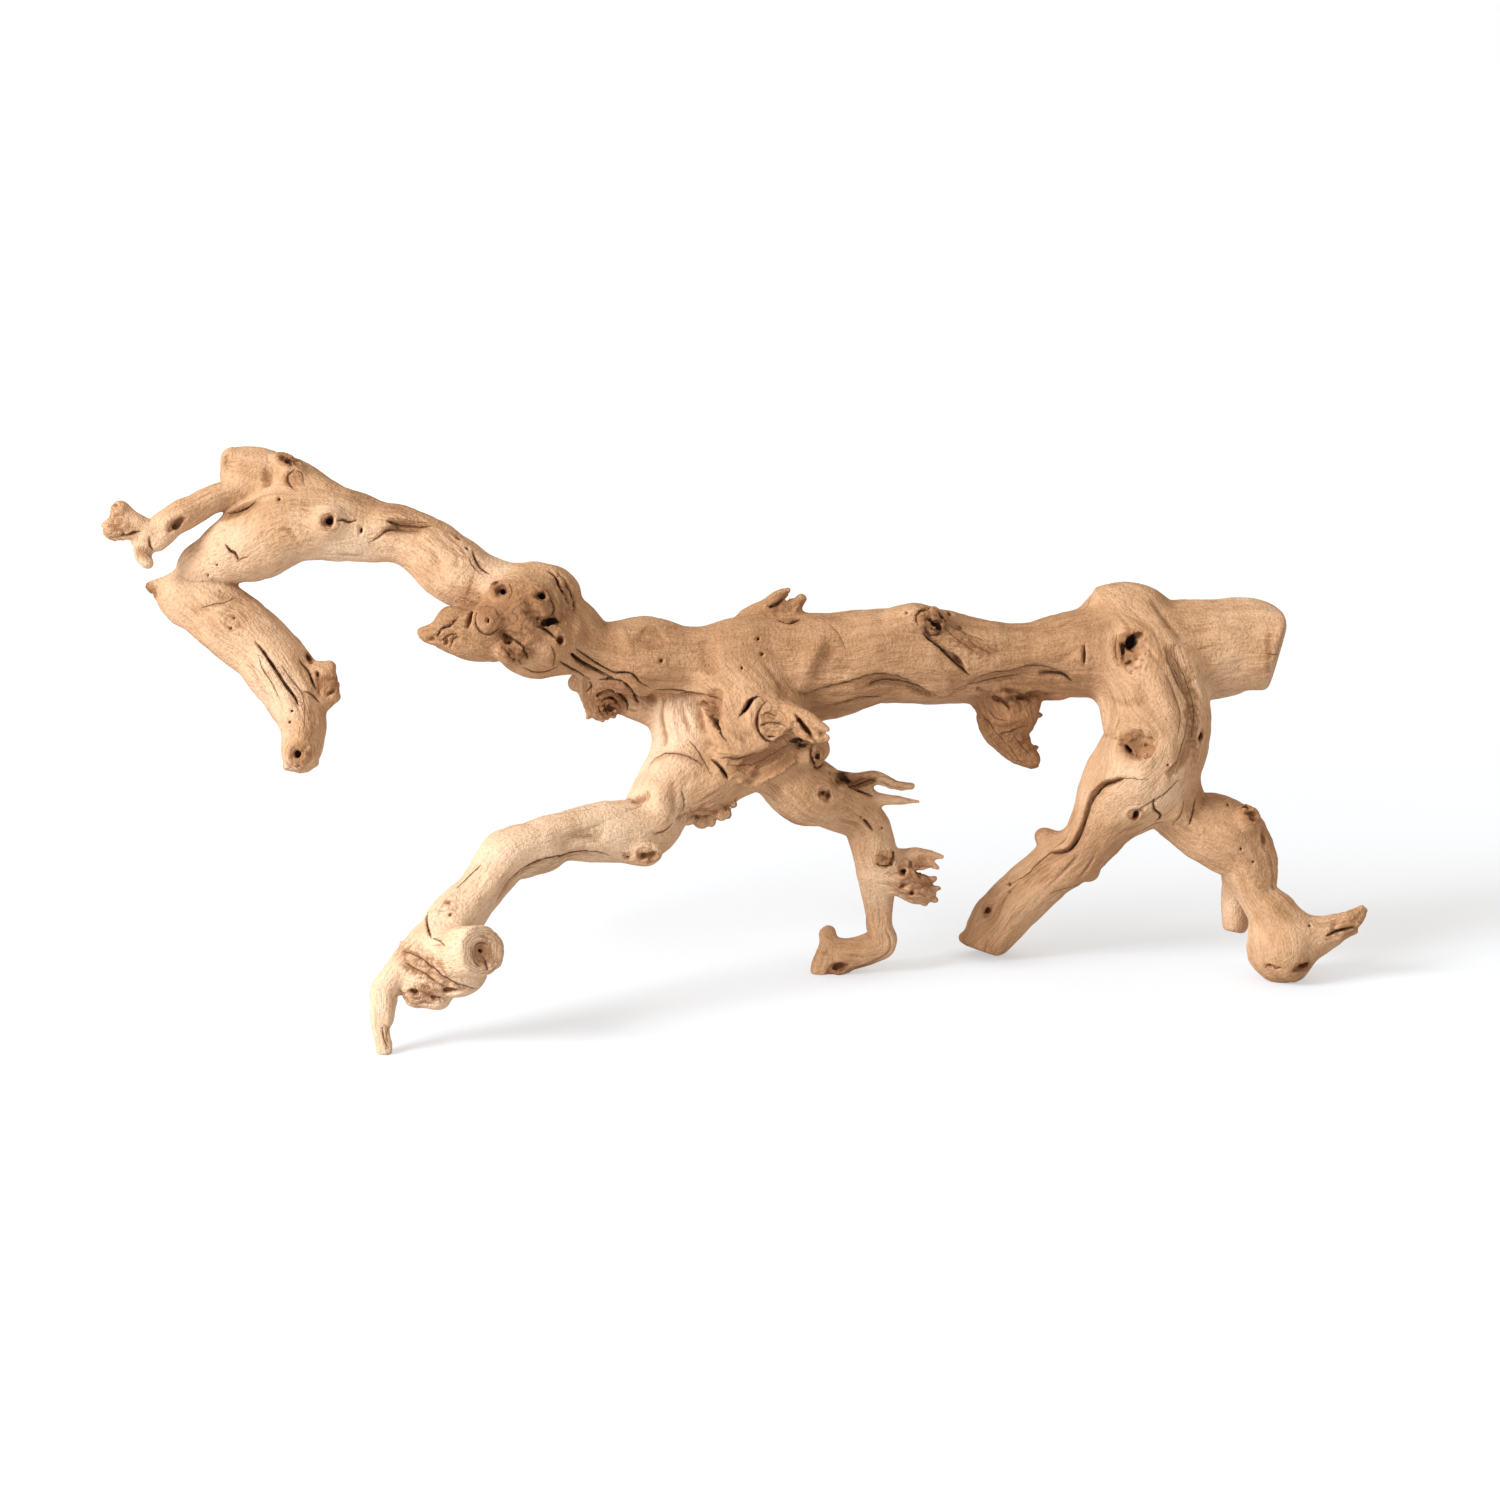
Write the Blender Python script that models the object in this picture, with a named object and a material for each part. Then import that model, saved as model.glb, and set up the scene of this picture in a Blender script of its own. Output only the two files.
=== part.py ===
"""Grapevine wood: a sandblasted, branching length of old vine that stands on four feet.

The wood is drawn as limbs. A limb is a list of stations, and a station is the centre and the
radius of the limb there, in millimetres, as seen in the main view: across to the right, up, and
near towards the viewer, from a point in the middle of the view. Each limb becomes a lofted tube.
Lumps and splinters are added, everything is grown together, the feet and the sawn ends are cut
flat, the pits are cut, and the wood is split at its main forks into one object for each bough.
"""

import math

import bmesh
import bpy
from mathutils import Matrix, Vector

MM = 0.001

# The main view: how far it looks down, how far off the viewer is, and how high its middle lies.
VIEW_PITCH = math.radians(12)
VIEW_DISTANCE = 2125.0
VIEW_HEIGHT = 136.2
# The middle of the wood's footprint, across and towards the back, from the middle of the view.
FOOTPRINT_MIDDLE = (-2.7, -73.0)

TRUNK_RADIUS = 28
TUBE_SIDES = 16
RINGS_PER_STATION = 4
CAP_RINGS = 3
# How far past the last cap ring the tip of a round cap would be, as a share of a ring.
CAP_END = 0.35
# Old vine is never round: how much its section bulges in two and in three lobes.
TWO_LOBES = 0.05
THREE_LOBES = 0.035
LOBE_TWIST = 0.9
LUMP_SUBDIVISIONS = 3

GROW_VOXEL = 2.3 * MM
SMOOTH_FACTOR = 0.5
SMOOTH_ROUNDS = 3
TRIANGLES = 7600
FORK_GAP = 0.3 * MM
FLOOR_BOX = (1.2, 0.8, 0.1)
SAW_BLOCK = 72 * MM
CUTTER_SIDES = 10
PIT_TAPER = 0.45
PIT_MOUTH = 6
PIT_START = 250
PLATE_SIDES = 24

LIMBS = {
    "trunk": [
        (326, 66, 0, 27),
        (294, 65, -2, 28),
        (276, 62, -2, 30),
        (240, 60, 4, 29),
        (198, 59, 12, 26),
        (168, 56, 18, 21.5),
        (138, 54, 23, 22),
        (105, 57, 28, 29),
        (78, 58, 34, 29),
        (51, 54, 38, 30),
        (18, 54, 44, 27),
        (-6, 55, 50, 24),
        (-36, 54, 55, 20),
        (-66, 55, 61, 22.5),
        (-90, 60, 66, 18),
        (-108, 68, 70, 21),
        (-132, 85, 73, 24),
    ],
    "underside_ledge": [
        (196, 38, 4, 6),
        (168, 36, 8, 7),
        (136, 37, 12, 9),
        (104, 38, 16, 10),
        (74, 38, 20, 11),
        (46, 31, 28, 13),
        (22, 24, 36, 12),
    ],
    "neck": [
        (-130, 86, 73, 23),
        (-156, 98, 71, 18),
        (-177, 108, 69, 19.5),
        (-203, 128, 67, 17),
        (-228, 133, 65, 19.5),
        (-252, 137, 64, 24),
        (-276, 138, 62, 27),
        (-300, 124, 60, 23),
        (-320, 116, 58, 16),
        (-332, 110, 56, 12),
    ],
    "head_lobe": [
        (-262, 146, 60, 20),
        (-281, 161, 57, 16.5),
        (-302, 166, 56, 15),
    ],
    "head_twig": [
        (-296, 163, 58, 13),
        (-310, 155, 63, 10),
        (-321, 151, 67, 8.5),
        (-332, 145, 71, 9),
        (-344, 138, 75, 10),
        (-357, 131, 78, 8),
        (-366, 133, 80, 6),
        (-382, 133, 83, 7),
    ],
    "twig_upper_lobe": [
        (-370, 135, 81, 6),
        (-378, 143, 83, 6),
    ],
    "twig_lower_prong": [
        (-362, 127, 79, 7),
        (-364, 118, 81, 5),
        (-362, 113, 82, 3.5),
    ],
    "twig_hook": [
        (-350, 130, 78, 6),
        (-354, 124, 80, 4),
    ],
    "drooping_bough": [
        (-328, 112, 56, 13),
        (-332, 98, 52, 16),
        (-332, 94, 52, 18),
        (-316, 78, 53, 22),
        (-296, 63, 56, 21),
        (-281, 48, 60, 20),
        (-272, 32, 64, 17),
        (-268, 14, 67, 14),
        (-270, -1, 70, 12),
        (-270, -4, 71, 10),
    ],
    "drooping_flare": [
        (-266, 36, 64, 10),
        (-258, 45, 65, 8),
        (-253, 40, 66, 6),
        (-255, 31, 66, 6),
    ],
    "drooping_splinter": [
        (-344, 95, 54, 10),
        (-354, 98, 55, 6),
        (-361, 99, 56, 3),
    ],
    "shoulder_column": [
        (-36, 46, 45, 23),
        (-37, 22, 40, 23),
        (-36, 4, 44, 22),
        (-42, -14, 52, 21),
    ],
    "shoulder": [
        (-14, 44, 52, 26),
        (2, 24, 55, 30),
        (6, 6, 53, 25),
        (-10, -12, 52, 20),
        (-30, -22, 53, 19),
    ],
    "front_leg": [
        (-40, -14, 55, 20),
        (-52, -28, 59, 20),
        (-63, -46, 66, 19),
        (-90, -49, 78, 18.5),
        (-113, -52, 89, 15.5),
        (-130, -58, 97, 17),
        (-146, -63, 105, 17),
        (-163, -85, 115, 13.5),
        (-178, -104, 124, 17),
        (-186, -123, 130, 18.5),
        (-194, -136, 135, 15),
    ],
    "front_toe": [
        (-196, -120, 133, 14),
        (-208, -131, 137, 10),
        (-217, -143, 140, 8.5),
        (-220, -153, 141, 7),
        (-220, -164, 142, 5.5),
        (-219, -184, 144, 5.5),
    ],
    "front_sawn_stub": [
        (-184, -121, 134, 15.5),
        (-172, -121, 148, 15.5),
        (-157, -121, 172, 15),
    ],
    "middle_leg": [
        (2, 4, 50, 22),
        (14, -8, 46, 20),
        (31, -23, 37, 20.5),
        (51, -30, 28, 15),
        (68, -42, 18, 13.5),
        (74, -57, 10, 13.5),
        (76, -72, 2, 11.5),
        (77, -90, -6, 9.5),
        (78, -105, -12, 8.5),
        (79, -115, -16, 9.5),
        (67, -121, -19, 9.5),
        (54, -123, -20, 9.5),
        (47, -123, -20, 7.5),
    ],
    "middle_foot_upper": [
        (48, -119, -20, 6),
        (44, -109, -19, 5),
    ],
    "middle_foot_lower": [
        (44, -126, -20, 6),
        (40, -138, -20, 4.5),
    ],
    "middle_foot_heel": [
        (54, -126, -20, 6),
        (54, -134, -20, 4),
    ],
    "double_spike_upper": [
        (54, -24, 26, 10),
        (66, -20, 26, 7),
        (76, -17, 26, 4.8),
        (87, -21, 26, 3.6),
        (97, -22, 26, 2.6),
    ],
    "double_spike_lower": [
        (58, -28, 25, 9),
        (72, -29, 24, 5.4),
        (87, -30, 25, 3),
        (101, -31, 25, 2),
    ],
    "side_cluster": [
        (80, -73, 4, 10),
        (93, -76, 5, 13.5),
        (102, -83, 4, 11),
        (107, -87, 3, 8),
    ],
    "cluster_upper_prong": [
        (96, -67, 6, 7),
        (107, -65, 7, 4.5),
        (114, -65, 7, 3.5),
    ],
    "cluster_lower_prong": [
        (98, -74, 6, 7),
        (107, -73, 6, 4),
        (112, -74, 6, 2.5),
    ],
    "hind_bough": [
        (220, 80, 4, 20),
        (234, 54, 12, 30),
        (242, 27, 14, 33),
        (245, 8, 12, 31),
        (234, -14, 7, 31),
        (222, -27, 1, 25),
    ],
    "hind_left_leg": [
        (226, -20, 4, 25),
        (215, -37, -4, 20),
        (203, -58, -15, 18),
        (182, -72, -27, 17),
        (162, -91, -42, 17.5),
        (148, -106, -52, 17),
        (142, -119, -59, 14.5),
        (139, -130, -64, 12),
    ],
    "hind_right_leg": [
        (246, -20, 4, 22),
        (263, -40, -1, 18.5),
        (285, -50, -3, 24),
        (299, -62, -3, 20),
        (304, -86, -2, 11.5),
        (315, -101, -1, 15),
        (320, -119, 0, 21.5),
    ],
    "hind_toe": [
        (322, -113, 0, 17),
        (337, -113, 2, 14),
        (351, -108, 4, 10),
        (361, -102, 6, 7),
        (367, -96, 6, 3),
    ],
    "hind_peg": [
        (294, -66, -12, 10),
        (292, -84, -30, 9.5),
        (291, -104, -36, 8),
    ],
    "hanging_stub": [
        (150, 42, 12, 19),
        (157, 28, 6, 21),
        (155, 14, 2, 15),
        (162, 1, -1, 9.5),
        (168, -5, -1, 6),
    ],
    "rear_stub": [
        (-92, 52, 56, 14),
        (-91, 36, 52, 12.5),
        (-89, 27, 50, 10),
    ],
    "rear_sliver": [
        (-84, 33, 48, 8),
        (-72, 27, 45, 8),
        (-62, 19, 43, 6),
    ],
    "burl_splinter": [
        (-160, 68, 92, 16),
        (-172, 68, 98, 12.5),
        (-184, 69, 100, 8.5),
        (-194, 70, 101, 4.5),
        (-198, 71, 101, 2),
    ],
    "burl_stub": [
        (-142, 70, 92, 10),
        (-145, 58, 100, 7),
    ],
    "top_splinter_tall": [
        (-2, 79, 44, 6),
        (10, 84, 44, 6),
        (17, 92, 44, 3.5),
        (23, 96, 44, 1.8),
    ],
    "top_splinter_short": [
        (6, 80, 42, 6),
        (22, 84, 42, 5),
        (31, 91, 42, 3.2),
    ],
    "shoulder_splinter_upper": [
        (14, 22, 70, 12),
        (28, 19, 82, 7),
        (40, 15, 88, 4),
        (47, 12, 91, 2),
    ],
    "shoulder_splinter_lower": [
        (12, 12, 70, 11),
        (28, 10, 80, 7),
        (46, 7, 86, 3),
    ],
}

# Lumps: centre across, up and near, then the half-widths across, up and near.
LUMPS = {
    "burl_main": [(-136, 84, 90), (25, 23, 20)],
    "burl_crown": [(-127, 94, 74), (23, 19, 20)],
    "burl_lower": [(-123, 67, 84), (20, 18, 20)],
    "burl_chin": [(-124, 58, 76), (27, 15, 18)],
    "burl_knot": [(-157, 77, 104), (8, 8, 8)],
    "burl_leaf": [(-180, 77, 96), (9, 9, 7)],
    "eye_knot": [(-254, 138, 84), (10, 8, 5)],
    "head_knot": [(-275, 164, 68), (8, 8, 7)],
    "crater_rim": [(100, 79, 46), (19, 9, 15)],
    "hind_crown": [(228, 82, 6), (24, 18, 20)],
    "hind_right_knot": [(302, -42, 10), (9, 8, 8)],
    "shoulder_ring_burl": [(14, 16, 78), (14, 13, 8)],
    "shoulder_corner": [(37, 0, 60), (10, 10, 12)],
    "flange": [(-30, -28, 54), (21, 15, 13)],
    "frill_1": [(-39, -40, 56), (6, 5, 6)],
    "frill_2": [(-30, -43, 56), (6, 5, 6)],
    "frill_3": [(-20, -42, 56), (6, 5, 6)],
    "frill_4": [(-12, -36, 56), (5, 5, 6)],
    "front_knot": [(-64, -62, 80), (11, 8, 8)],
    "foot_heel": [(-174, -136, 142), (19, 14, 14)],
    "foot_rough_1": [(-200, -148, 138), (7, 7, 7)],
    "foot_rough_2": [(-188, -150, 138), (8, 7, 8)],
    "middle_knot": [(82, -65, 14), (7, 7, 7)],
    "left_leg_knob": [(177, -52, -22), (6, 5, 6)],
    "drooping_crook": [(-335, 92, 50), (19, 17, 17)],
}

# Pits: where the opening is seen (across, up), the way in, the half-widths and the depth.
PITS = {
    "hind_hole": [(226, 61), (0.1, 0, -1), (4, 8), 14],
    "hind_pit": [(232, 3), (0, 0.2, -1), (8, 8), 9],
    "hind_side_pit": [(272, 8), (-0.5, 0, -1), (3.5, 4), 9],
    "trunk_crater": [(111, 78), (0, -0.3, -1), (9, 6), 10],
    "eye_hole": [(-254, 137), (0, 0, -1), (3.2, 3.2), 9],
    "head_hole": [(-277, 175), (0, -0.6, -1), (3.2, 3.2), 9],
    "twig_hole": [(-345, 135), (0, 0, -1), (5, 3.5), 6],
    "burl_cavity": [(-120, 78), (0, 0, -1), (7, 5), 12],
    "burl_hole": [(-150, 95), (0, 0, -1), (4, 4), 9],
    "shoulder_recess": [(-20, 27), (0.2, 0, -1), (5, 9), 12],
    "front_knot_hole": [(-63, -64), (0, 0.2, -1), (3.5, 3), 8],
    "middle_star_hole": [(46, -27), (0, 0, -1), (3, 3), 8],
    "cluster_hole": [(95, -74), (0, 0, -1), (3, 3), 7],
    "right_leg_hole": [(302, -39), (-0.3, -0.2, -1), (3.5, 4.5), 7],
    "foot_hole": [(315, -130), (0, 0.5, -1), (3.5, 3), 7],
    "left_leg_hole": [(142, -99), (0.2, 0, -1), (3.5, 3.5), 7],
    "drooping_hole": [(-270, -4), (0, 0, -1), (3.5, 3.5), 8],
    "stub_pith": [(-161, -122), (-0.53, 0, -0.85), (1.6, 1.6), 8],
}

# Sawn and broken ends: a point on the face, then the way it looks (across, up, near).
SAWN_ENDS = {
    "trunk_end": [(317, 60, 0), (0.90, -0.26, 0.34)],
    "stub_end": [(-161, -121, 165), (0.53, 0.0, 0.85)],
    "hind_left_end": [(141, -121, -58), (-0.31, -0.95, 0.0)],
}

# Forks: the middle of the cut, the way the bough leaves, and the half-width of the cut.
FORKS = {
    "neck_bough": [(-186, 115, 69), (-0.8, 0.58, -0.1), 25],
    "head_twig": [(-322, 151, 67), (-0.85, -0.4, 0.35), 13],
    "drooping_bough": [(-322, 104, 54), (-0.37, -0.93, 0.0), 24],
    "front_leg": [(-74, -47, 71), (-0.9, -0.25, 0.35), 27],
    "middle_leg": [(36, -25, 36), (0.75, -0.5, -0.35), 27],
    "hind_bough": [(243, 27, 13), (0.1, -1.0, 0.0), 40],
    "hind_left_leg": [(219, -30, 0), (-0.5, -0.8, -0.3), 33],
    "hind_right_leg": [(258, -33, 1), (0.65, -0.7, -0.2), 27],
    "hanging_stub": [(153, 21, 4), (0.1, -1.0, -0.2), 28],
}

# A point well inside each bough, by which the parts are told from each other.
NODE_POINTS = {
    "trunk": (78, 58, 34),
    "neck_bough": (-228, 132, 65),
    "head_twig": (-344, 138, 75),
    "drooping_bough": (-298, 63, 56),
    "front_leg": (-114, -53, 88),
    "middle_leg": (74, -57, 10),
    "hind_bough": (247, 8, 12),
    "hind_left_leg": (182, -71, -27),
    "hind_right_leg": (300, -62, -3),
    "hanging_stub": (154, 14, 2),
}

# Colour, as linear red, green and blue, and roughness of each bough's wood.
WOOD_ROUGHNESS = 0.82
WOOD_COLOURS = {
    "trunk": (0.62, 0.40, 0.22),
    "neck_bough": (0.70, 0.47, 0.27),
    "head_twig": (0.66, 0.43, 0.24),
    "drooping_bough": (0.70, 0.47, 0.27),
    "front_leg": (0.70, 0.46, 0.27),
    "middle_leg": (0.52, 0.32, 0.17),
    "hind_bough": (0.62, 0.40, 0.22),
    "hind_left_leg": (0.60, 0.38, 0.21),
    "hind_right_leg": (0.60, 0.38, 0.21),
    "hanging_stub": (0.42, 0.24, 0.12),
}


def clear_scene():
    for thing in list(bpy.data.objects):
        bpy.data.objects.remove(thing, do_unlink=True)


def reach_of(near):
    """How much smaller a thing is than it looks in the middle plane, because it is nearer."""
    return 1 - near / VIEW_DISTANCE


def spot(across, up, near):
    """The place in metres of a point of the main view."""
    reach = reach_of(near)
    back = up * reach * math.sin(VIEW_PITCH) - near * math.cos(VIEW_PITCH)
    rise = up * reach * math.cos(VIEW_PITCH) + near * math.sin(VIEW_PITCH)
    middle_x, middle_y = FOOTPRINT_MIDDLE
    return Vector((across * reach - middle_x, back - middle_y, VIEW_HEIGHT + rise)) * MM


def way(across, up, near):
    """A direction of the main view as a unit vector."""
    back = up * math.sin(VIEW_PITCH) - near * math.cos(VIEW_PITCH)
    rise = up * math.cos(VIEW_PITCH) + near * math.sin(VIEW_PITCH)
    return Vector((across, back, rise)).normalized()


def between(values, t):
    """A smooth curve through the values, read at t, where whole numbers are the values."""
    last = len(values) - 1
    i = min(int(t), last - 1)
    s = t - i
    a, b, c, d = (values[min(max(k, 0), last)] for k in (i - 1, i, i + 1, i + 2))
    bend = 2 * a - 5 * b + 4 * c - d
    turn = 3 * b - a - 3 * c + d
    return b + (s * (c - a) + s * s * bend + s**3 * turn) * 0.5


def centre_line(stations):
    """Centres and radii in metres, closely spaced along a limb."""
    spots = [spot(*station[:3]) for station in stations]
    radii = [station[3] * reach_of(station[2]) * MM for station in stations]
    steps = RINGS_PER_STATION * (len(stations) - 1)
    times = [k / RINGS_PER_STATION for k in range(steps + 1)]
    return [(between(spots, t), between(radii, t)) for t in times]


def capped(line):
    """The same line with a round cap of smaller rings at both ends."""
    ends = []
    for (tip, radius), (inner, _) in ((line[0], line[1]), (line[-1], line[-2])):
        outward = (tip - inner).normalized()
        turns = [math.pi / 2 * k / (CAP_RINGS + CAP_END) for k in range(1, CAP_RINGS + 1)]
        ends.append([(tip + outward * radius * math.sin(a), radius * math.cos(a)) for a in turns])
    return ends[0][::-1] + line + ends[1]


def limb_mesh(bm, stations, phase):
    """Lofts one limb into the bmesh."""
    line = capped(centre_line(stations))
    side = None
    rings = []
    for k, (centre, radius) in enumerate(line):
        ahead = line[min(k + 1, len(line) - 1)][0] - line[max(k - 1, 0)][0]
        ahead.normalize()
        side = ahead.orthogonal() if side is None else side - ahead * side.dot(ahead)
        side.normalize()
        other = ahead.cross(side)
        ring = []
        for j in range(TUBE_SIDES):
            angle = 2 * math.pi * j / TUBE_SIDES
            drift = phase + LOBE_TWIST * k / RINGS_PER_STATION
            two = TWO_LOBES * math.cos(2 * angle - drift)
            three = THREE_LOBES * math.cos(3 * angle + drift)
            arm = side * math.cos(angle) + other * math.sin(angle)
            ring.append(bm.verts.new(centre + arm * radius * (1 + two + three)))
        rings.append(ring)
    for low, high in zip(rings, rings[1:]):
        for j in range(TUBE_SIDES):
            n = (j + 1) % TUBE_SIDES
            bm.faces.new((low[j], low[n], high[n], high[j]))
    bm.faces.new(rings[0][::-1])
    bm.faces.new(rings[-1])


def lump_mesh(bm, centre, half_widths):
    """Adds an ellipsoid whose axes lie along the main view's."""
    reach = reach_of(centre[2])
    axes = [way(1, 0, 0), way(0, 1, 0), way(0, 0, 1)]
    columns = [axis * width * reach * MM for axis, width in zip(axes, half_widths)]
    turned = Matrix(columns).transposed().to_4x4()
    place = Matrix.Translation(spot(*centre)) @ turned
    bmesh.ops.create_icosphere(bm, subdivisions=LUMP_SUBDIVISIONS, radius=1, matrix=place)


def object_from(bm, name):
    bmesh.ops.recalc_face_normals(bm, faces=bm.faces)
    mesh = bpy.data.meshes.new(name)
    bm.to_mesh(mesh)
    bm.free()
    thing = bpy.data.objects.new(name, mesh)
    bpy.context.scene.collection.objects.link(thing)
    return thing


def applied(thing):
    """Turns the object's modifiers into its mesh."""
    bpy.context.view_layer.update()
    graph = bpy.context.evaluated_depsgraph_get()
    mesh = bpy.data.meshes.new_from_object(thing.evaluated_get(graph))
    thing.modifiers.clear()
    thing.data = mesh
    return thing


def triangle_count(mesh):
    mesh.calc_loop_triangles()
    return len(mesh.loop_triangles)


def grown_wood():
    """All limbs and lumps as one body."""
    bm = bmesh.new()
    for number, stations in enumerate(LIMBS.values()):
        limb_mesh(bm, stations, number)
    for centre, half_widths in LUMPS.values():
        lump_mesh(bm, centre, half_widths)
    wood = object_from(bm, "wood")
    grow = wood.modifiers.new("grow_together", "REMESH")
    grow.mode = "VOXEL"
    grow.voxel_size = GROW_VOXEL
    smooth = wood.modifiers.new("soften", "SMOOTH")
    smooth.factor = SMOOTH_FACTOR
    smooth.iterations = SMOOTH_ROUNDS
    applied(wood)
    thin = wood.modifiers.new("thin_out", "DECIMATE")
    thin.ratio = TRIANGLES / triangle_count(wood.data)
    thin.use_collapse_triangulate = True
    return applied(wood)


def turned_to(direction):
    """A rotation that turns Z to the direction."""
    return direction.to_track_quat("Z", "Y").to_matrix().to_4x4()


def cut_away(wood, cutter):
    """Takes the cutter's shape out of the wood."""
    cut = wood.modifiers.new("cut", "BOOLEAN")
    cut.operation = "DIFFERENCE"
    cut.object = cutter
    applied(wood)
    bpy.data.objects.remove(cutter, do_unlink=True)


def floor_cutter():
    """The space under the floor, which leaves a worn flat under each foot."""
    bm = bmesh.new()
    width, depth, height = FLOOR_BOX
    place = Matrix.Translation((0, 0, -height / 2)) @ Matrix.Diagonal((width, depth, height, 1))
    bmesh.ops.create_cube(bm, size=1, matrix=place)
    return object_from(bm, "under_the_floor")


def saw_cutter(point, facing):
    """A block past a sawn or broken end."""
    bm = bmesh.new()
    direction = way(*facing)
    middle = spot(*point) + direction * SAW_BLOCK / 2
    place = Matrix.Translation(middle) @ turned_to(direction)
    bmesh.ops.create_cube(bm, size=SAW_BLOCK, matrix=place)
    return object_from(bm, "saw")


def cone_cutter(name, sides, top, place):
    """A cone or a disc of unit size, put in its place by the matrix."""
    bm = bmesh.new()
    bmesh.ops.create_cone(
        bm, cap_ends=True, segments=sides, radius1=1, radius2=top, depth=1, matrix=place
    )
    return object_from(bm, name)


def pit_cutter(wood, seen_at, inward, half_widths, depth):
    """A tapered plug, wide at its mouth, set on the surface that is seen at a point of the view."""
    direction = way(*inward)
    start = spot(*seen_at, PIT_START)
    middle_view = spot(0, 0, VIEW_DISTANCE)
    hit, surface, _, _ = wood.ray_cast(start, (start - middle_view).normalized())
    if not hit:
        raise ValueError(f"no wood is seen at {seen_at}")
    length = (depth + PIT_MOUTH) * MM
    middle = surface + direction * (depth - PIT_MOUTH) * MM / 2
    wide, high = half_widths
    stretch = Matrix.Diagonal((wide * MM, high * MM, length, 1))
    place = Matrix.Translation(middle) @ turned_to(direction) @ stretch
    return cone_cutter("pit", CUTTER_SIDES, PIT_TAPER, place)


def fork_cutter(point, leaving, half_width):
    """A thin plate across a limb where it leaves its fork."""
    stretch = Matrix.Diagonal((half_width * MM, half_width * MM, FORK_GAP, 1))
    place = Matrix.Translation(spot(*point)) @ turned_to(way(*leaving)) @ stretch
    return cone_cutter("fork_plate", PLATE_SIDES, 1, place)


def wood_material(name):
    material = bpy.data.materials.new("wood_" + name)
    material.use_nodes = True
    shader = material.node_tree.nodes["Principled BSDF"]
    shader.inputs["Base Color"].default_value = (*WOOD_COLOURS[name], 1)
    shader.inputs["Roughness"].default_value = WOOD_ROUGHNESS
    shader.inputs["Metallic"].default_value = 0
    return material


def loose_parts(bm):
    """The vertices of each separate body."""
    parts = []
    seen = set()
    for start in bm.verts:
        if start in seen:
            continue
        seen.add(start)
        part = [start]
        for vert in part:
            for edge in vert.link_edges:
                other = edge.other_vert(vert)
                if other not in seen:
                    seen.add(other)
                    part.append(other)
        parts.append(part)
    return parts


def split_into_nodes(wood):
    """Makes one object of each part that the fork plates left."""
    bm = bmesh.new()
    bm.from_mesh(wood.data)
    bmesh.ops.triangulate(bm, faces=bm.faces)
    bm.verts.index_update()
    parts = loose_parts(bm)
    for name, inside in NODE_POINTS.items():
        middle = spot(*inside)
        part = min(parts, key=lambda verts: min((vert.co - middle).length for vert in verts))
        keep = {vert.index for vert in part}
        own = bm.copy()
        spare = [vert for vert in own.verts if vert.index not in keep]
        bmesh.ops.delete(own, geom=spare, context="VERTS")
        node = object_from(own, name)
        node.data.materials.append(wood_material(name))
    bm.free()
    bpy.data.objects.remove(wood, do_unlink=True)


def main():
    clear_scene()
    wood = grown_wood()
    cut_away(wood, floor_cutter())
    for point, facing in SAWN_ENDS.values():
        cut_away(wood, saw_cutter(point, facing))
    for pit in PITS.values():
        cut_away(wood, pit_cutter(wood, *pit))
    for point, leaving, half_width in FORKS.values():
        cut_away(wood, fork_cutter(point, leaving, half_width))
    split_into_nodes(wood)


main()
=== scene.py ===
"""Grapevine wood, dressed: its fine surface, its finish, and a plain studio around it.

The wood is drawn with the same limbs as its solids: a limb is a list of stations, and a station is
the centre and the radius of the limb there, in millimetres, as seen in the main view (across to the
right, up, and near towards the viewer). Here the limbs are joined as a field, the distance from each
point of space to the wood, so that strands, holes, cracks and ledges can be worked into it. The
surface of that field is meshed, split at the main forks, and each part replaces its solid.
"""

import math

import bpy
import numpy as np
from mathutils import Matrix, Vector
from mathutils.geometry import tessellate_polygon


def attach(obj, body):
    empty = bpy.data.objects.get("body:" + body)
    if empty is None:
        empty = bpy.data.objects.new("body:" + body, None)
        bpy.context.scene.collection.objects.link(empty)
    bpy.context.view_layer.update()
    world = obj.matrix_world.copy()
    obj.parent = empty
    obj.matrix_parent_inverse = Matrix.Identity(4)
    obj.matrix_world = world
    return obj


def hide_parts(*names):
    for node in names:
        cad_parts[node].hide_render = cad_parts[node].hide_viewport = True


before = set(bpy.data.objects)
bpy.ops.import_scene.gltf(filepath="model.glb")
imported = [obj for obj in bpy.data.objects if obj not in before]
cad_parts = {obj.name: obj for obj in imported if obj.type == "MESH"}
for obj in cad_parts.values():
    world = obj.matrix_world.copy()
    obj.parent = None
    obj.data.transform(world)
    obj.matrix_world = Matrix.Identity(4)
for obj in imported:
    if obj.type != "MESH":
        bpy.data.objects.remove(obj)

MM = 0.001

# The main view: how far it looks down, how far off the viewer is, and how high its middle lies.
VIEW_PITCH = math.radians(12)
VIEW_DISTANCE = 2125.0
VIEW_HEIGHT = 136.2
# The middle of the wood's footprint, across and towards the back, from the middle of the view.
FOOTPRINT_MIDDLE = (-2.7, -73.0)
# The camera's lens and sensor in mm, and how far it sees in metres.
LENS = 85
SENSOR = 36
VIEW_END = 50

GRID = 1.0
# Cells along the side of a block of the lattice, and how many blocks are worked out at a time.
BLOCK = 8
CHUNK = 1500
# How far around a limb its distance is worked out, for the field and for the grain.
REACH = 12.0
GRAIN_REACH = 34.0
# How far the finished surface may lie from the plain one, and how far around a lump blocks are kept.
GRID_MARGIN = 8.0
LUMP_MARGIN = 2
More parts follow.
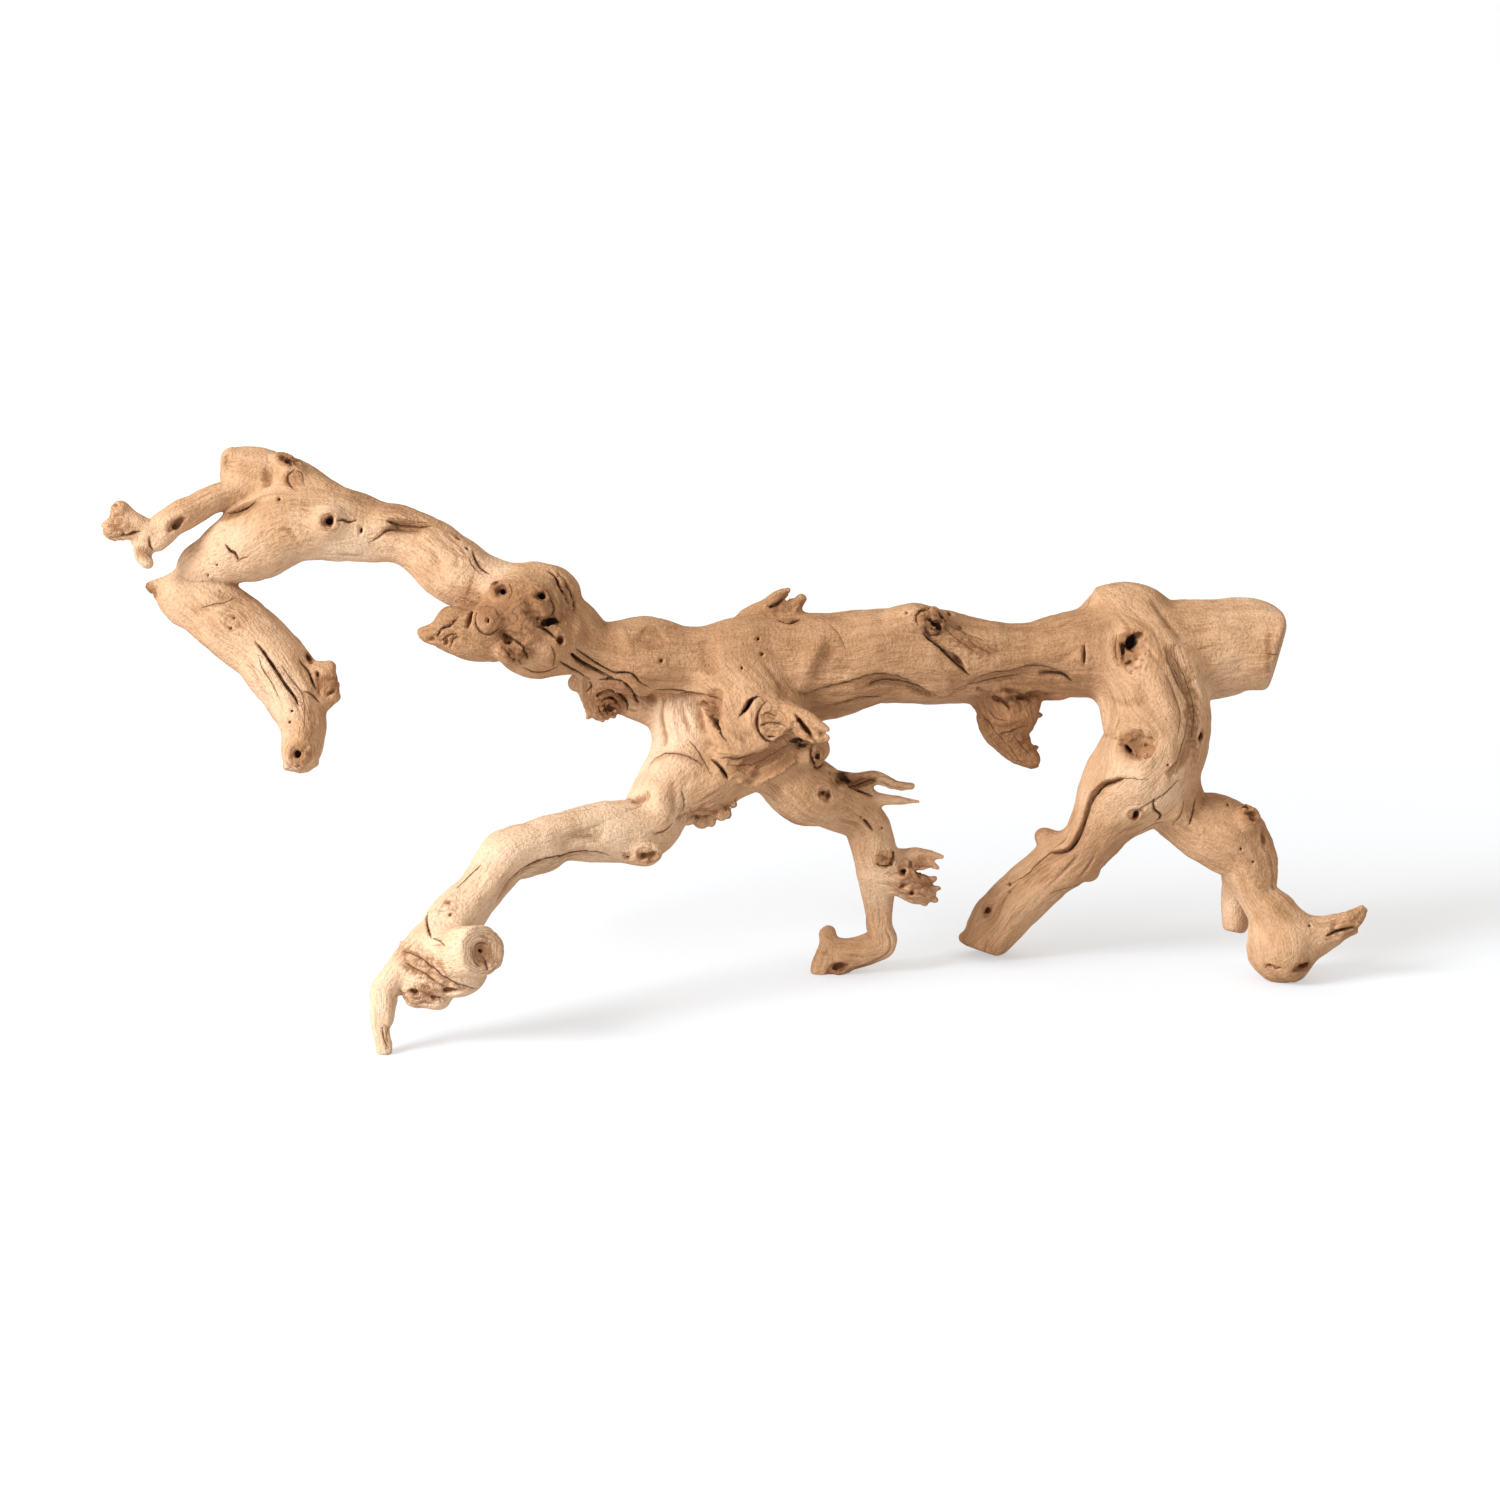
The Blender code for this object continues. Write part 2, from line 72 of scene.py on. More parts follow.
# A distance that is far from everything, and a length that is next to nothing.
FAR = 1000.0
TINY = 1e-6
# Directions that no limb starts along and no cut faces, from which their frames are turned.
LIMB_FRAME = (0.3, 0.2, 0.9)
CAP_FRAME = (0.31, 0.52, 0.8)

# Steps of a limb's centre line between two stations, and of a drawn line between two of its points.
STEPS = 6
LINE_STEPS = 4
# How softly limbs and lumps grow into each other, in mm.
BLEND = 5.0
BLENDS = {
    "neck": 3.0,
    "drooping_bough": 4.0,
    "shoulder_column": 7.0,
    "shoulder": 8.0,
    "hind_bough": 9.0,
    "front_leg": 5.0,
    "middle_leg": 6.0,
    "hanging_stub": 7.0,
    "head_twig": 3.0,
}
LUMP_BLEND = 6.0
# How deep the fillet between two shapes is, as a share of that.
FILLET = 0.25

# The noise that shapes the wood.
NOISE_SEED = 11
NOISE_SIZE = 1024
NOISE_GAIN = 1.5
# Lobes of a limb's section: how many cells go round half of it, their length and their height.
LOBES = 1.0
LOBE_LENGTH = 46.0
LOBE_HEIGHT = 0.05
# Strands along a limb, in mm: how wide, long and high, and how fast they wind around it.
STRAND_WIDTH = 13.0
STRAND_LENGTH = 75.0
STRAND_HEIGHT = 0.9
STRAND_TWIST = 0.006
# Finer strands between them.
FINE_STRANDS = 2.4
FINE_LENGTH = 34.0
FINE_HEIGHT = 0.35
# The least strands around a limb, and the radius in mm from which its strands have their full height.
FEWEST_STRANDS = 0.8
STOUT_RADIUS = 20
# Furrows where two strands meet: how wide, as a share of a strand, and how deep in mm, how they come
# and go with the finer strands, and how strong they get on a rough limb.
FURROW_WIDTH = 0.09
FURROW_DEPTH = 1.5
FURROW_GAPS = (1.5, 0.1)
FURROW_MOST = 1.5
# Unevenness that follows no grain: its size and height in mm, and its seed.
ROUGH_WAVES = ((26.0, 1.6, 31), (9.5, 0.6, 57))
# How rough each limb is, as a factor.
ROUGHNESS = {
    "trunk": 0.7,
    "neck": 0.7,
    "head_twig": 0.8,
    "middle_leg": 1.5,
    "side_cluster": 1.8,
    "shoulder": 1.5,
    "shoulder_column": 1.2,
    "hanging_stub": 2.0,
    "hind_bough": 1.2,
    "hind_left_leg": 1.2,
    "front_leg": 0.8,
    "drooping_bough": 1.2,
    "burl_splinter": 1.5,
    "rear_stub": 1.5,
    "rear_sliver": 1.5,
    "underside_ledge": 1.5,
}

# How a line of sight is followed to the wood.
SIGHT_START = 260.0
SIGHT_STEPS = 70
SIGHT_CARE = 0.85
SIGHT_MISS = 1
SLOPE_STEP = 0.8

# Holes, cracks and ledges, in mm unless said otherwise.
HOLE_WAVE = 3.6
HOLE_UNEVEN = 0.34
HOLE_TAPER = 0.55
# How far a hole reaches past its depth, in half-widths, and how far its upward side leans to the viewer.
HOLE_REACH = 2.5
HOLE_LEAN = 0.02
# How stained a hole's rim is, and how deep its painted shade turns full.
HOLE_RIM_STAIN = 0.25
HOLE_SHADE_DEPTH = 12.0
# A hole's finer unevenness, as a share of the wave's height and of its size.
HOLE_FINER = (0.6, 0.45)
# How far out a hole's stain and painted shade and its lip lie, as shares of its half-width, and the lip's
# size.
HOLE_EDGE = 1.15
LIP_PLACE = 1.4
LIP_WIDTH = 1.6
LIP_HEIGHT = 0.7
LIP_SHARE = 0.25
LIP_DEPTH = 6
CRACK_WAVE = 4.5
CRACK_UNEVEN = 0.5
CRACK_OPENING = 0.25
# How strong the painted shade around a crack is for a half-width of 1 mm, and what is added to a narrower
# one's width.
CRACK_SHADE = 0.5
THIN_CRACK = 0.3
CRACK_EDGE = 0.6
CRACK_BELOW = 3
# How much wider a crack's mouth may get above the surface.
CRACK_FLARE = 1.5
FINE_CRACK = 0.5
STEP_WIDTH = 0.7
LEDGE_WAVE = 0.8
# Where the dark line of painted shadow at a ledge's foot lies and how wide it is, and how strong the painted
# shadow under the ledge is.
LEDGE_FOOT = 0.3
LEDGE_LINE = 0.5
LEDGE_SHADOW_STRENGTH = 0.33
LEDGE_BELOW = 8
# How wide the painted shadow under a ledge is, as a share of its fade and in mm, and how far below it
# reaches.
LEDGE_SHADOW = (0.7, 0.6)
LEDGE_SHADOW_BELOW = 4
# How softly a ledge ends past the ends of its line, in mm.
LEDGE_END = 2
RIDGE_BELOW = 10
# How strong the painted shade in a groove is, for each mm of its depth.
GROOVE_SHADE = 0.25
BAND_WAVE = 0.6
BAND_EDGE = 0.3
BAND_BELOW = 6
# How strong the painted shade in a recess is.
BAND_SHADE = 0.26
CUT_ABOVE = 7.0
LINE_NEAR = 1.3
LINE_DEPTH = 4.0
# How sharp the edge of a browner patch is. Its wrinkles: their length, width and height, and folds, which
# are darkened with painted shade.
SHADE_EDGE = 1.5
WRINKLE_WAVES = ((8.5, 4.2, 2.6), (4.0, 2.2, 1.3))
WRINKLE_MEAN = 1.15
WRINKLE_FOLD = 0.12
WRINKLE_FOLD_SHADE = 0.3
# A knot's collar: its height in mm, its width as a share of the radius, and how it comes and goes.
KNOT_COLLAR = 0.7
COLLAR_WIDTH = 0.28
COLLAR_GAPS = (0.6, 1.4)
COLLAR_DEPTH = 8
KNOT_UNEVEN = 0.2
KNOT_BELOW = 3
KNOT_RING = 0.12
KNOT_WAVE = 2.6
# The stain inside a knot's collar: its strength, and its place and width as shares of the radius.
KNOT_STAIN = (0.4, 0.72, 0.2)
EDGE_WEAR = 1.0
# Where the noise starts for each kind of feature.
CRACK_SEED = 3
LEDGE_SEED = 5
FIBRE_SEED = 5
BAND_SEED = 6
HOLE_SEEDS = (7, 8)
KNOT_SEED = 9
WRINKLE_SEED = 17

# Where a disc splits the mesh: how far from it triangles are looked at, and how near is on it.
DISC_DEPTH = 6.0
SNAP = 0.08

# The finish, at the scale of the mesh: how the grain bends around knots, and how far limbs mix.
KNOT_PULL = 0.75
KNOT_BEND = 1.7
KNOT_REACH = 4
GRAIN_BLEND = 7.0
# How far a limb's grain is shifted for each step of its seed, and how many grains can mix at a place.
GRAIN_SHIFT = 0.37
SLOTS = 4
GRAIN_COLUMNS = (("grain", 3), ("share", 1))
# The finest strands, in mm, and how often the surface is smoothed to tell its pits and its hollows.
FIBRE_LENGTH = 16.0
FIBRE_WIDTH = 1.5
FIBRE_HEIGHT = 0.13
HOLLOW_ROUNDS = (3, 22)
# How deep growth rings show in a knot, and how far behind a sawn face, in mm.
RING_DEPTH = 6
SAWN_DEPTH = 1.6
# How dark and red a limb's wood is, from 0 to 1.
TINTS = {
    "hanging_stub": 0.75,
    "side_cluster": 0.25,
    "burl_splinter": 0.2,
    "rear_stub": 0.3,
    "rear_sliver": 0.4,
    "top_splinter_tall": 0.3,
    "top_splinter_short": 0.3,
}

# How much browner (or with a minus paler) a limb is than the rest, from -0.3 to 0.3: partly the wood's own
# tone, partly painted light, with limbs that catch more light, such as the front leg, made paler.
TONES = {
    "neck": -0.06,
    "head_lobe": 0.04,
    "head_twig": -0.04,
    "drooping_bough": -0.04,
    "front_leg": -0.2,
    "front_toe": -0.12,
    "front_sawn_stub": -0.1,
    "trunk": 0.22,
    "underside_ledge": 0.15,
    "hind_bough": -0.1,
    "hind_left_leg": 0.13,
    "hind_right_leg": 0.05,
    "middle_leg": 0.05,
    "shoulder": 0.14,
    "shoulder_column": -0.16,
    "burl_splinter": 0.2,
    "hind_peg": 0.1,
}
# The trunk is paler towards its sawn end: where that begins and is full, in mm, and by how much.
PALE_END = (245, 285, 0.28)

# Colours of the wood, as linear red, green and blue. RECESS, BROWN, UMBER and DARK also serve as painted
# shade in hollows, pits, furrows, cracks, holes and recesses.
PALE = (0.67, 0.432, 0.268, 1)
TAN = (0.51, 0.30, 0.163, 1)
ROSY = (0.50, 0.288, 0.165, 1)
OCHRE = (0.38, 0.208, 0.1, 1)
BROWN = (0.26, 0.128, 0.056, 1)
RUSSET = (0.38, 0.175, 0.07, 1)
UMBER = (0.14, 0.064, 0.028, 1)
DARK = (0.035, 0.016, 0.008, 1)
CREAM = (0.81, 0.605, 0.44, 1)
RECESS = (0.33, 0.165, 0.08, 1)
# Dark lines of painted shade in cracks and at the foot of ledges: how far the fibres push them aside in mm,
# and how much of their width is quite dark.
SHADE_LINE_WANDER = 1.6
SHADE_LINE_CORE = 0.35
TINY_WIDTH = 0.02
# Patches of colour to the metre and their detail, and how rough patches and specks are.
PATCHES = (16.0, 3.0)
SPECKLE_ROUGHNESS = 0.6
# The width of a growth ring in mm and the height of the grain in metres.
RING_WIDTH = 1.8
BUMP_HEIGHT = 0.0012
# The grain's finest cells and its wider bands: their length and width in mm, their detail and how
# rough they are. Then the specks to the metre and their detail.
FIBRE_CELL = (11.0, 1.0, 3.0, 0.6)
BAND_CELL = (60.0, 6.0, 1.0, 0.5)
SPECKS = (520.0, 2.0)
# What is mixed in, as the two levels between which it comes in, and its least and greatest share.
# Fibres and bands that are paler, and fibres that are torn.
LIGHT_SHARES = (0.6, 0.4)
LIGHT_RANGE = (0.36, 0.62)
# Redder and paler patches, and ochre fibres and specks.
WARM_RANGE = (0.4, 0.85)
COOL_RANGE = (0.45, 0.8, 0, 0.9)
OCHRE_FIBRES = (0.44, 0.3, 0, 0.4)
OCHRE_SPECKS = (0.46, 0.34, 0, 0.25)
# Painted shade in hollows, pits and furrows, partly the brown that lodges there, and brown in growth rings,
# which waver with the bands.
HOLLOW_RANGE = (0.1, 1.7, 0, 0.92)
PIT_RANGE = (0.05, 0.45, 0, 0.6)
FURROW_RANGE = (0.25, 1.0, 0, 0.6)
RING_RANGE = (-0.2, 1.0, 0, 0.4)
RING_WAVER = 5.0
# Stains and painted shade, from weak to strong, which the fibres break up; the strongest, deep in holes, is
# painted shade.
STAIN_AND_SHADE_UNEVEN = -0.6
STAIN_AND_SHADE_RANGES = ((0.04, 0.42, 0, 0.92), (0.4, 0.85), (0.72, 1.0))
# Dark lines of painted shade: the widths between which they go from brown to quite dark, and their greatest
# share.
SHADE_LINE_RANGE = (0.2, 1.0)
SHADE_LINE_SHARE = 0.85
# The height of the grain: the share of the specks, of the whole and of the dark lines.
BUMP_SPECKS = 1.2
BUMP_GRAIN = 0.75
BUMP_SHADE_LINE = -1.5
WOOD_ROUGHNESS = 0.82
WOOD_GLOSS = 0.25

# The studio, in metres: the floor and its colour, for light and as the camera sees it.
FLOOR_SIZE = 60.0
FLOOR_ROUGHNESS = 0.9
FLOOR_COLOUR = (0.70, 0.70, 0.71, 1)
FLOOR_SEEN = (0.48, 0.53, 0.605, 1)
# How much the floor is lifted to white, near the wood and far from it, and those distances in metres.
FLOOR_LIFT = (0.47, 0.7)
LIFT_REACH = (0.5, 2.5)
# Soft boxes: the place, the size in metres, the power in watts and the colour.
SOFT_BOXES = {
    "key": [(-4.4, -2.7, 2.9), 2.6, 375, (1.0, 0.99, 0.97)],
    "low": [(-0.95, -1.3, 0.28), 0.6, 3.5, (1.0, 0.99, 0.97)],
}
FILL_COLOUR = (1.0, 0.885, 0.75, 1)
FILL_STRENGTH = 0.7
WHITE = (1, 1, 1, 1)

LIMBS = {
    "trunk": [
        (326, 64, 0, 27), (294, 63.5, -2, 28), (276, 61, -2, 29.5), (240, 60, 4, 29),
        (198, 59, 12, 26), (168, 56, 18, 21.5), (138, 55, 23, 23.5), (105, 57, 28, 29),
        (78, 57, 34, 28.5), (51, 53, 38, 29), (18, 54, 44, 27), (-6, 55, 50, 25),
        (-36, 54.5, 55, 21), (-66, 56, 61, 23.5), (-90, 60, 66, 18), (-108, 68, 70, 21),
        (-132, 85, 73, 24),
    ],
    "underside_ledge": [
        (196, 38, 4, 6), (168, 36, 8, 7), (136, 37, 12, 9), (104, 38, 16, 10), (74, 38, 20, 11),
        (46, 31, 28, 13), (22, 24, 36, 12),
    ],
    "neck": [
        (-130, 86, 73, 23), (-156, 98, 71, 18), (-177, 108, 69, 19.5), (-203, 127, 67, 17),
        (-228, 132, 65, 18.5), (-252, 136, 64, 23), (-276, 137.5, 62, 26.5), (-300, 124, 60, 23),
        (-320, 116, 58, 16), (-332, 110, 56, 12),
    ],
    "head_lobe": [(-262, 146, 60, 20), (-281, 161, 57, 16.5), (-302, 166, 56, 15)],
    "head_twig": [
        (-296, 163, 58, 13), (-310, 154.5, 63, 9), (-321, 150.5, 67, 8), (-332, 145, 71, 9),
        (-344, 138, 75, 10), (-357, 131, 78, 8), (-366, 133, 80, 6), (-382, 133, 83, 7),
    ],
    "twig_upper_lobe": [(-370, 135, 81, 6), (-378, 143, 83, 6)],
    "twig_lower_prong": [(-362, 127, 79, 7), (-364, 118, 81, 5), (-362, 113, 82, 3.5)],
    "twig_hook": [(-350, 130, 78, 6), (-354, 124, 80, 4)],
    "drooping_bough": [
        (-328, 112, 56, 13), (-332, 98, 52, 16), (-332, 94, 52, 17.2), (-315, 78.5, 53, 21),
        (-296, 63, 56, 20.3), (-282, 47, 60, 20.3), (-273, 31, 64, 17.3), (-268, 14, 67, 14),
        (-270, -1, 70, 12), (-270, -4, 71, 10),
    ],
    "drooping_flare": [(-266, 36, 64, 10), (-258, 45, 65, 8), (-253, 40, 66, 6), (-255, 31, 66, 6)],
    "drooping_splinter": [(-344, 95, 54, 10), (-354, 98, 55, 6), (-361, 99, 56, 3)],
    "shoulder_column": [(-36, 46, 45, 23), (-37, 22, 40, 23), (-36, 4, 44, 22), (-42, -14, 52, 21)],
    "shoulder": [
        (-14, 44, 52, 26), (2, 24, 55, 30), (6, 6, 53, 25), (-10, -10, 52, 19),
        (-30, -21, 53, 18.5),
    ],
    "front_leg": [
        (-40, -14, 55, 20), (-52, -28, 59, 20), (-63, -46, 66, 19), (-90, -49, 78, 18.5),
        (-113, -52, 89, 15.5), (-130, -59.5, 97, 17.3), (-146, -65, 105, 16.3),
        (-163, -85, 115, 13.5), (-178, -104, 124, 17), (-186, -123, 130, 18.5),
        (-194, -136, 135, 15),
    ],
    "front_toe": [
        (-196, -120, 133, 14), (-209, -130, 137, 10), (-219, -143, 140, 8.6),
        (-220, -152, 141, 7.6), (-220.3, -161, 142, 6.7), (-221.3, -167, 142.5, 5),
        (-219.5, -177, 143.5, 5.2), (-218.5, -185, 144, 4.6),
    ],
    "front_sawn_stub": [(-184, -121, 134, 15.5), (-172, -121, 148, 15.5), (-155.5, -121, 172, 15.3)],
    "middle_leg": [
        (2, 4, 50, 22), (15, -7, 46, 18.5), (32, -23, 37, 21), (49, -31, 28, 16.5),
        (68, -42, 18, 13.5), (74, -57, 10, 13.5), (76, -72, 2, 11.5), (77, -90, -6, 9.5),
        (78, -105, -12, 8.5), (79, -115, -16, 9.5), (67, -121, -19, 9.5), (54, -123, -20, 9.5),
        (47, -123, -20, 7.5),
    ],
    "middle_foot_upper": [(50, -120, -20, 8), (45, -111, -19, 5)],
    "middle_foot_lower": [(44, -126, -20, 6), (40, -138, -20, 4.5)],
    "middle_foot_heel": [(54, -126, -20, 6), (54, -134, -20, 4)],
    "double_spike_upper": [
        (54, -24, 26, 10), (66, -20, 26, 7), (76, -17, 26, 4.8), (87, -21, 26, 3.6),
        (97, -22, 26, 2.6),
    ],
    "double_spike_lower": [(58, -28, 25, 9), (72, -29, 24, 5.4), (87, -30, 25, 3), (101, -31, 25, 2)],
    "side_cluster": [(80, -73, 4, 10), (91, -76, 5, 12.5), (101, -83.5, 4, 9.5), (106, -85, 3, 7)],
    "cluster_upper_prong": [
        (90, -66, 6, 7), (100, -63, 7, 4.2), (108, -63, 7, 3.2), (115, -64, 7, 1.8),
    ],
    "cluster_lower_prong": [(99, -65, 7, 4), (107, -67.5, 7, 2.4), (113, -71, 7, 1.4)],
    "hind_bough": [
        (220, 80, 4, 20), (234, 54, 12, 30), (242, 27, 14, 33), (245, 8, 12, 31),
        (234, -14, 7, 31), (222, -27, 1, 25),
    ],
    "hind_left_leg": [
        (226, -20, 4, 25), (215, -37, -4, 20), (202, -57, -15, 16.3), (182, -71.5, -27, 17),
        (161.5, -90, -42, 17.3), (148, -106, -52, 17), (142, -119, -59, 14.5),
        (139, -130, -64, 12),
    ],
    "hind_right_leg": [
        (246, -20, 4, 22), (262, -40.5, -1, 17), (283.5, -50.5, -3, 21.8), (297.5, -63, -3, 18),
        (304, -86, -2, 11.5), (315, -101, -1, 15), (320.5, -119, 0, 20.8),
    ],
    "hind_toe": [
        (322, -113, 0, 17), (337, -112.5, 2, 13.4), (351, -107, 4, 9.4), (361, -101.5, 6, 6.4),
        (367, -96, 6, 3),
    ],
    "hind_peg": [(294, -66, -12, 10), (292, -84, -30, 9.5), (291, -104, -36, 8)],
    "hanging_stub": [
        (150, 42, 12, 19), (154.5, 28, 6, 20.5), (152, 15, 2, 15.5), (160, 1, -1, 9.5),
        (168, -5, -1, 6),
    ],
    "rear_stub": [(-92, 52, 56, 14), (-91, 36, 52, 12.5), (-89, 27, 50, 10)],
    "rear_sliver": [(-84, 33, 48, 8), (-72, 29, 45, 10), (-60, 24, 43, 9)],
    "burl_splinter": [
        (-157, 70, 90, 18), (-172, 68, 98, 12.5), (-184, 69, 100, 8.5), (-194, 70, 101, 4.5),
        (-198, 71, 101, 2),
    ],
    "burl_stub": [(-142, 70, 92, 10), (-145, 58, 100, 7)],
    "top_splinter_tall": [(-2, 79, 44, 6), (10, 84, 44, 6), (17, 92, 44, 3.5), (23, 96, 44, 1.8)],
    "top_splinter_short": [(6, 80, 42, 6), (22, 84, 42, 5), (31, 91, 42, 3.2)],
    "shoulder_splinter_upper": [(14, 22, 70, 12), (28, 19, 82, 7), (40, 15, 88, 4), (47, 12, 91, 2)],
    "shoulder_splinter_lower": [(12, 12, 70, 11), (28, 10, 80, 7), (46, 7, 86, 3)],
}

# Lumps: centre across, up and near, the half-widths across, up and near, and where it isn't
# LUMP_BLEND, how softly they grow out of the rest.
LUMPS = {
    "burl_main": [(-136, 84, 90), (25, 23, 20)],
    "burl_crown": [(-129, 95.5, 74), (27, 18, 20), 3],
    "burl_lower": [(-123, 67, 84), (20, 18, 20)],
    "burl_chin": [(-124, 58, 76), (27, 15, 18)],
    "burl_knot": [(-157, 77, 104), (8, 8, 8)],
    "burl_leaf": [(-180, 77, 96), (9, 9, 7)],
    "eye_knot": [(-254, 138, 84), (10, 8, 5)],
    "head_knot": [(-275, 164, 68), (8, 8, 7)],
    "head_corner": [(-311, 173, 60), (6.5, 8, 8), 2],
    "head_crest": [(-281, 172, 64), (9, 6.5, 7), 2.5],
    "cluster_tip_1": [(109, -77.5, 4), (3.6, 3, 4), 1.5],
    "cluster_tip_2": [(112.5, -83, 3), (3, 2.2, 4), 1],
    "cluster_tip_3": [(111, -90, 4), (3, 2.6, 4), 1],
    "cluster_tip_4": [(105, -92, 5), (2.6, 2.4, 3), 1],
    "burl_leaf_root": [(-171, 82, 86), (9, 5.5, 8), 3],
    "rear_stub_left": [(-104, 40, 56), (5, 5, 6), 2],
    "rear_stub_spike_1": [(-97, 22, 52), (2, 4, 3), 1],
    "rear_stub_spike_2": [(-90, 19.5, 51), (2.4, 3, 3), 1],
    "rear_stub_spike_3": [(-82, 20.5, 50), (2.2, 2.6, 3), 1],
    "rear_stub_spike_4": [(-74, 24, 48), (3, 2.4, 3), 1],
    "stub_barb_2": [(170.5, 1.5, -1), (3, 1.3, 2.4), 1],
    "stub_barb_3": [(172, 21, 2), (4, 2, 3), 1.5],
    "hind_knob": [(226.6, 56, 46), (3.8, 3.6, 6), 1.5],
    "toe_under": [(357, -109, 5), (6, 3, 4), 1.5],
    "drooping_tip_1": [(-263, -8, 72), (4, 3, 5), 2],
    "drooping_tip_2": [(-277, -10, 72), (4, 3, 5), 2],
    "flare_tip_1": [(-252, 50, 66), (3.5, 3.5, 4), 1.5],
    "flare_tip_2": [(-250, 32, 66), (3.5, 3.5, 4), 1.5],
    "crater_rim": [(100, 79, 46), (19, 9, 15)],
    "hind_crown": [(228, 82, 6), (24, 18, 20)],
    "hind_right_knot": [(298, -42, 12), (8, 8, 8), 3],
    "shoulder_ring_burl": [(14, 16, 78), (14, 13, 8)],
    "shoulder_corner": [(37, 0, 60), (10, 10, 12)],
    "flange": [(-29, -24, 54), (21, 13.5, 12)],
    "frill_1": [(-42, -38.5, 58), (3.6, 3, 5), 1.5],
    "frill_2": [(-37, -42, 58), (3.8, 3.4, 4), 1.5],
    "frill_3": [(-29.5, -43.5, 57), (4.2, 3.4, 5), 1.5],
    "frill_4": [(-23, -41.5, 56), (2.4, 4, 4), 1],
    "frill_5": [(-17, -38.5, 58), (3.6, 4, 4), 1.5],
    "frill_6": [(-13, -38, 57), (2.2, 3.6, 4), 1],
    "frill_7": [(-10, -32.5, 57), (3.2, 3, 4), 1],
    "front_knot": [(-64, -62, 80), (11, 8, 8)],
    "foot_heel": [(-176, -134.5, 142), (18, 13.5, 14)],
    "foot_rough_1": [(-200, -148, 138), (7, 7, 7)],
    "foot_collar_tip": [(-209.5, -116, 134), (1.8, 3, 2.6), 1],
    "foot_rough_2": [(-188, -150, 138), (8, 7, 8)],
    "middle_knot": [(82, -65, 14), (7, 7, 7)],
    "left_leg_knob": [(177, -52, -22), (6, 5, 6)],
    "drooping_crook": [(-335, 92, 50), (19, 17, 17)],
    "toe_corner": [(360.5, -108, 5), (4.4, 3, 4), 1],
    "left_leg_heel": [(130, -112.5, -57), (5, 4, 9), 4],
    "left_leg_knee": [(203, -72, -26), (6.5, 7, 9), 5],
    "middle_prong": [(47, -110, -20), (5.6, 5.4, 5), 2.5],
    "stub_flap": [(181, 32.4, 6), (10.5, 4, 8), 2],
}

# Sawn ends: a point on the face, the way it looks (across, up, near), how far its edge is worn, and
# how far from the point the saw reaches.
SAWN_ENDS = {
    "trunk_end": [(317.8, 60, 0), (0.95, -0.27, 0.16), 4, 42],
    "trunk_corner": [(316, 85.8, 0), (0.62, 0.78, 0.1), 8, 42],
    "stub_end": [(-161, -121, 165), (0.53, 0, 0.85), 2, 42],
    "hind_left_end": [(141, -121, -58), (-0.31, -0.95, 0), 2, 42],
    "hind_left_corner": [(152.4, -121.6, -58), (0.66, -0.75, 0), 5, 30],
    "peg_end": [(290.5, -109.2, -36), (-0.2, -0.98, 0), 2, 14],
}

# Forks: the middle of the cut, the way the bough leaves, and the half-width of the cut.
FORKS = {
    "neck_bough": [(-186, 115, 69), (-0.8, 0.58, -0.1), 25],
    "head_twig": [(-333, 144.5, 71.3), (-0.85, -0.45, 0.3), 14],
    "drooping_bough": [(-322, 104, 54), (-0.37, -0.93, 0.0), 27],
    "front_leg": [(-74, -47, 71), (-0.9, -0.25, 0.35), 32],
    "middle_leg": [(36, -25, 36), (0.75, -0.5, -0.35), 27],
    "hind_bough": [(243, 27, 13), (0.1, -1.0, 0.0), 43],
    "hind_left_leg": [(209, -47, -9), (-0.45, -0.79, -0.41), 28],
    "hind_right_leg": [(258, -33, 1), (0.65, -0.7, -0.2), 27],
    "hanging_stub": [(153, 21, 4), (0.1, -1.0, -0.2), 28],
    "trunk_burl": [(-98, 60, 66), (-1, 0, 0), 52],
    "trunk_right": [(62, 52, 34), (1, 0, 0), 46],
    "trunk_end": [(190, 58, 14), (1, 0, 0), 40],
}
# The trunk's solid is replaced by more than one piece, each small enough for a mesh to be saved.
TRUNK_PIECES = ("trunk_burl", "trunk_right", "trunk_end")

# A point well inside each bough, by which the parts are told from each other.
NODE_POINTS = {
    "trunk": (0, 54, 48),
    "trunk_burl": (-125, 80, 73),
    "trunk_right": (110, 57, 28),
    "trunk_end": (250, 60, 3),
    "neck_bough": (-228, 132, 65),
    "head_twig": (-344, 138, 75),
    "drooping_bough": (-298, 63, 56),
    "front_leg": (-114, -53, 88),
    "middle_leg": (74, -57, 10),
    "hind_bough": (247, 8, 12),
    "hind_left_leg": (182, -71, -27),
    "hind_right_leg": (300, -62, -3),
    "hanging_stub": (154, 14, 2),
}

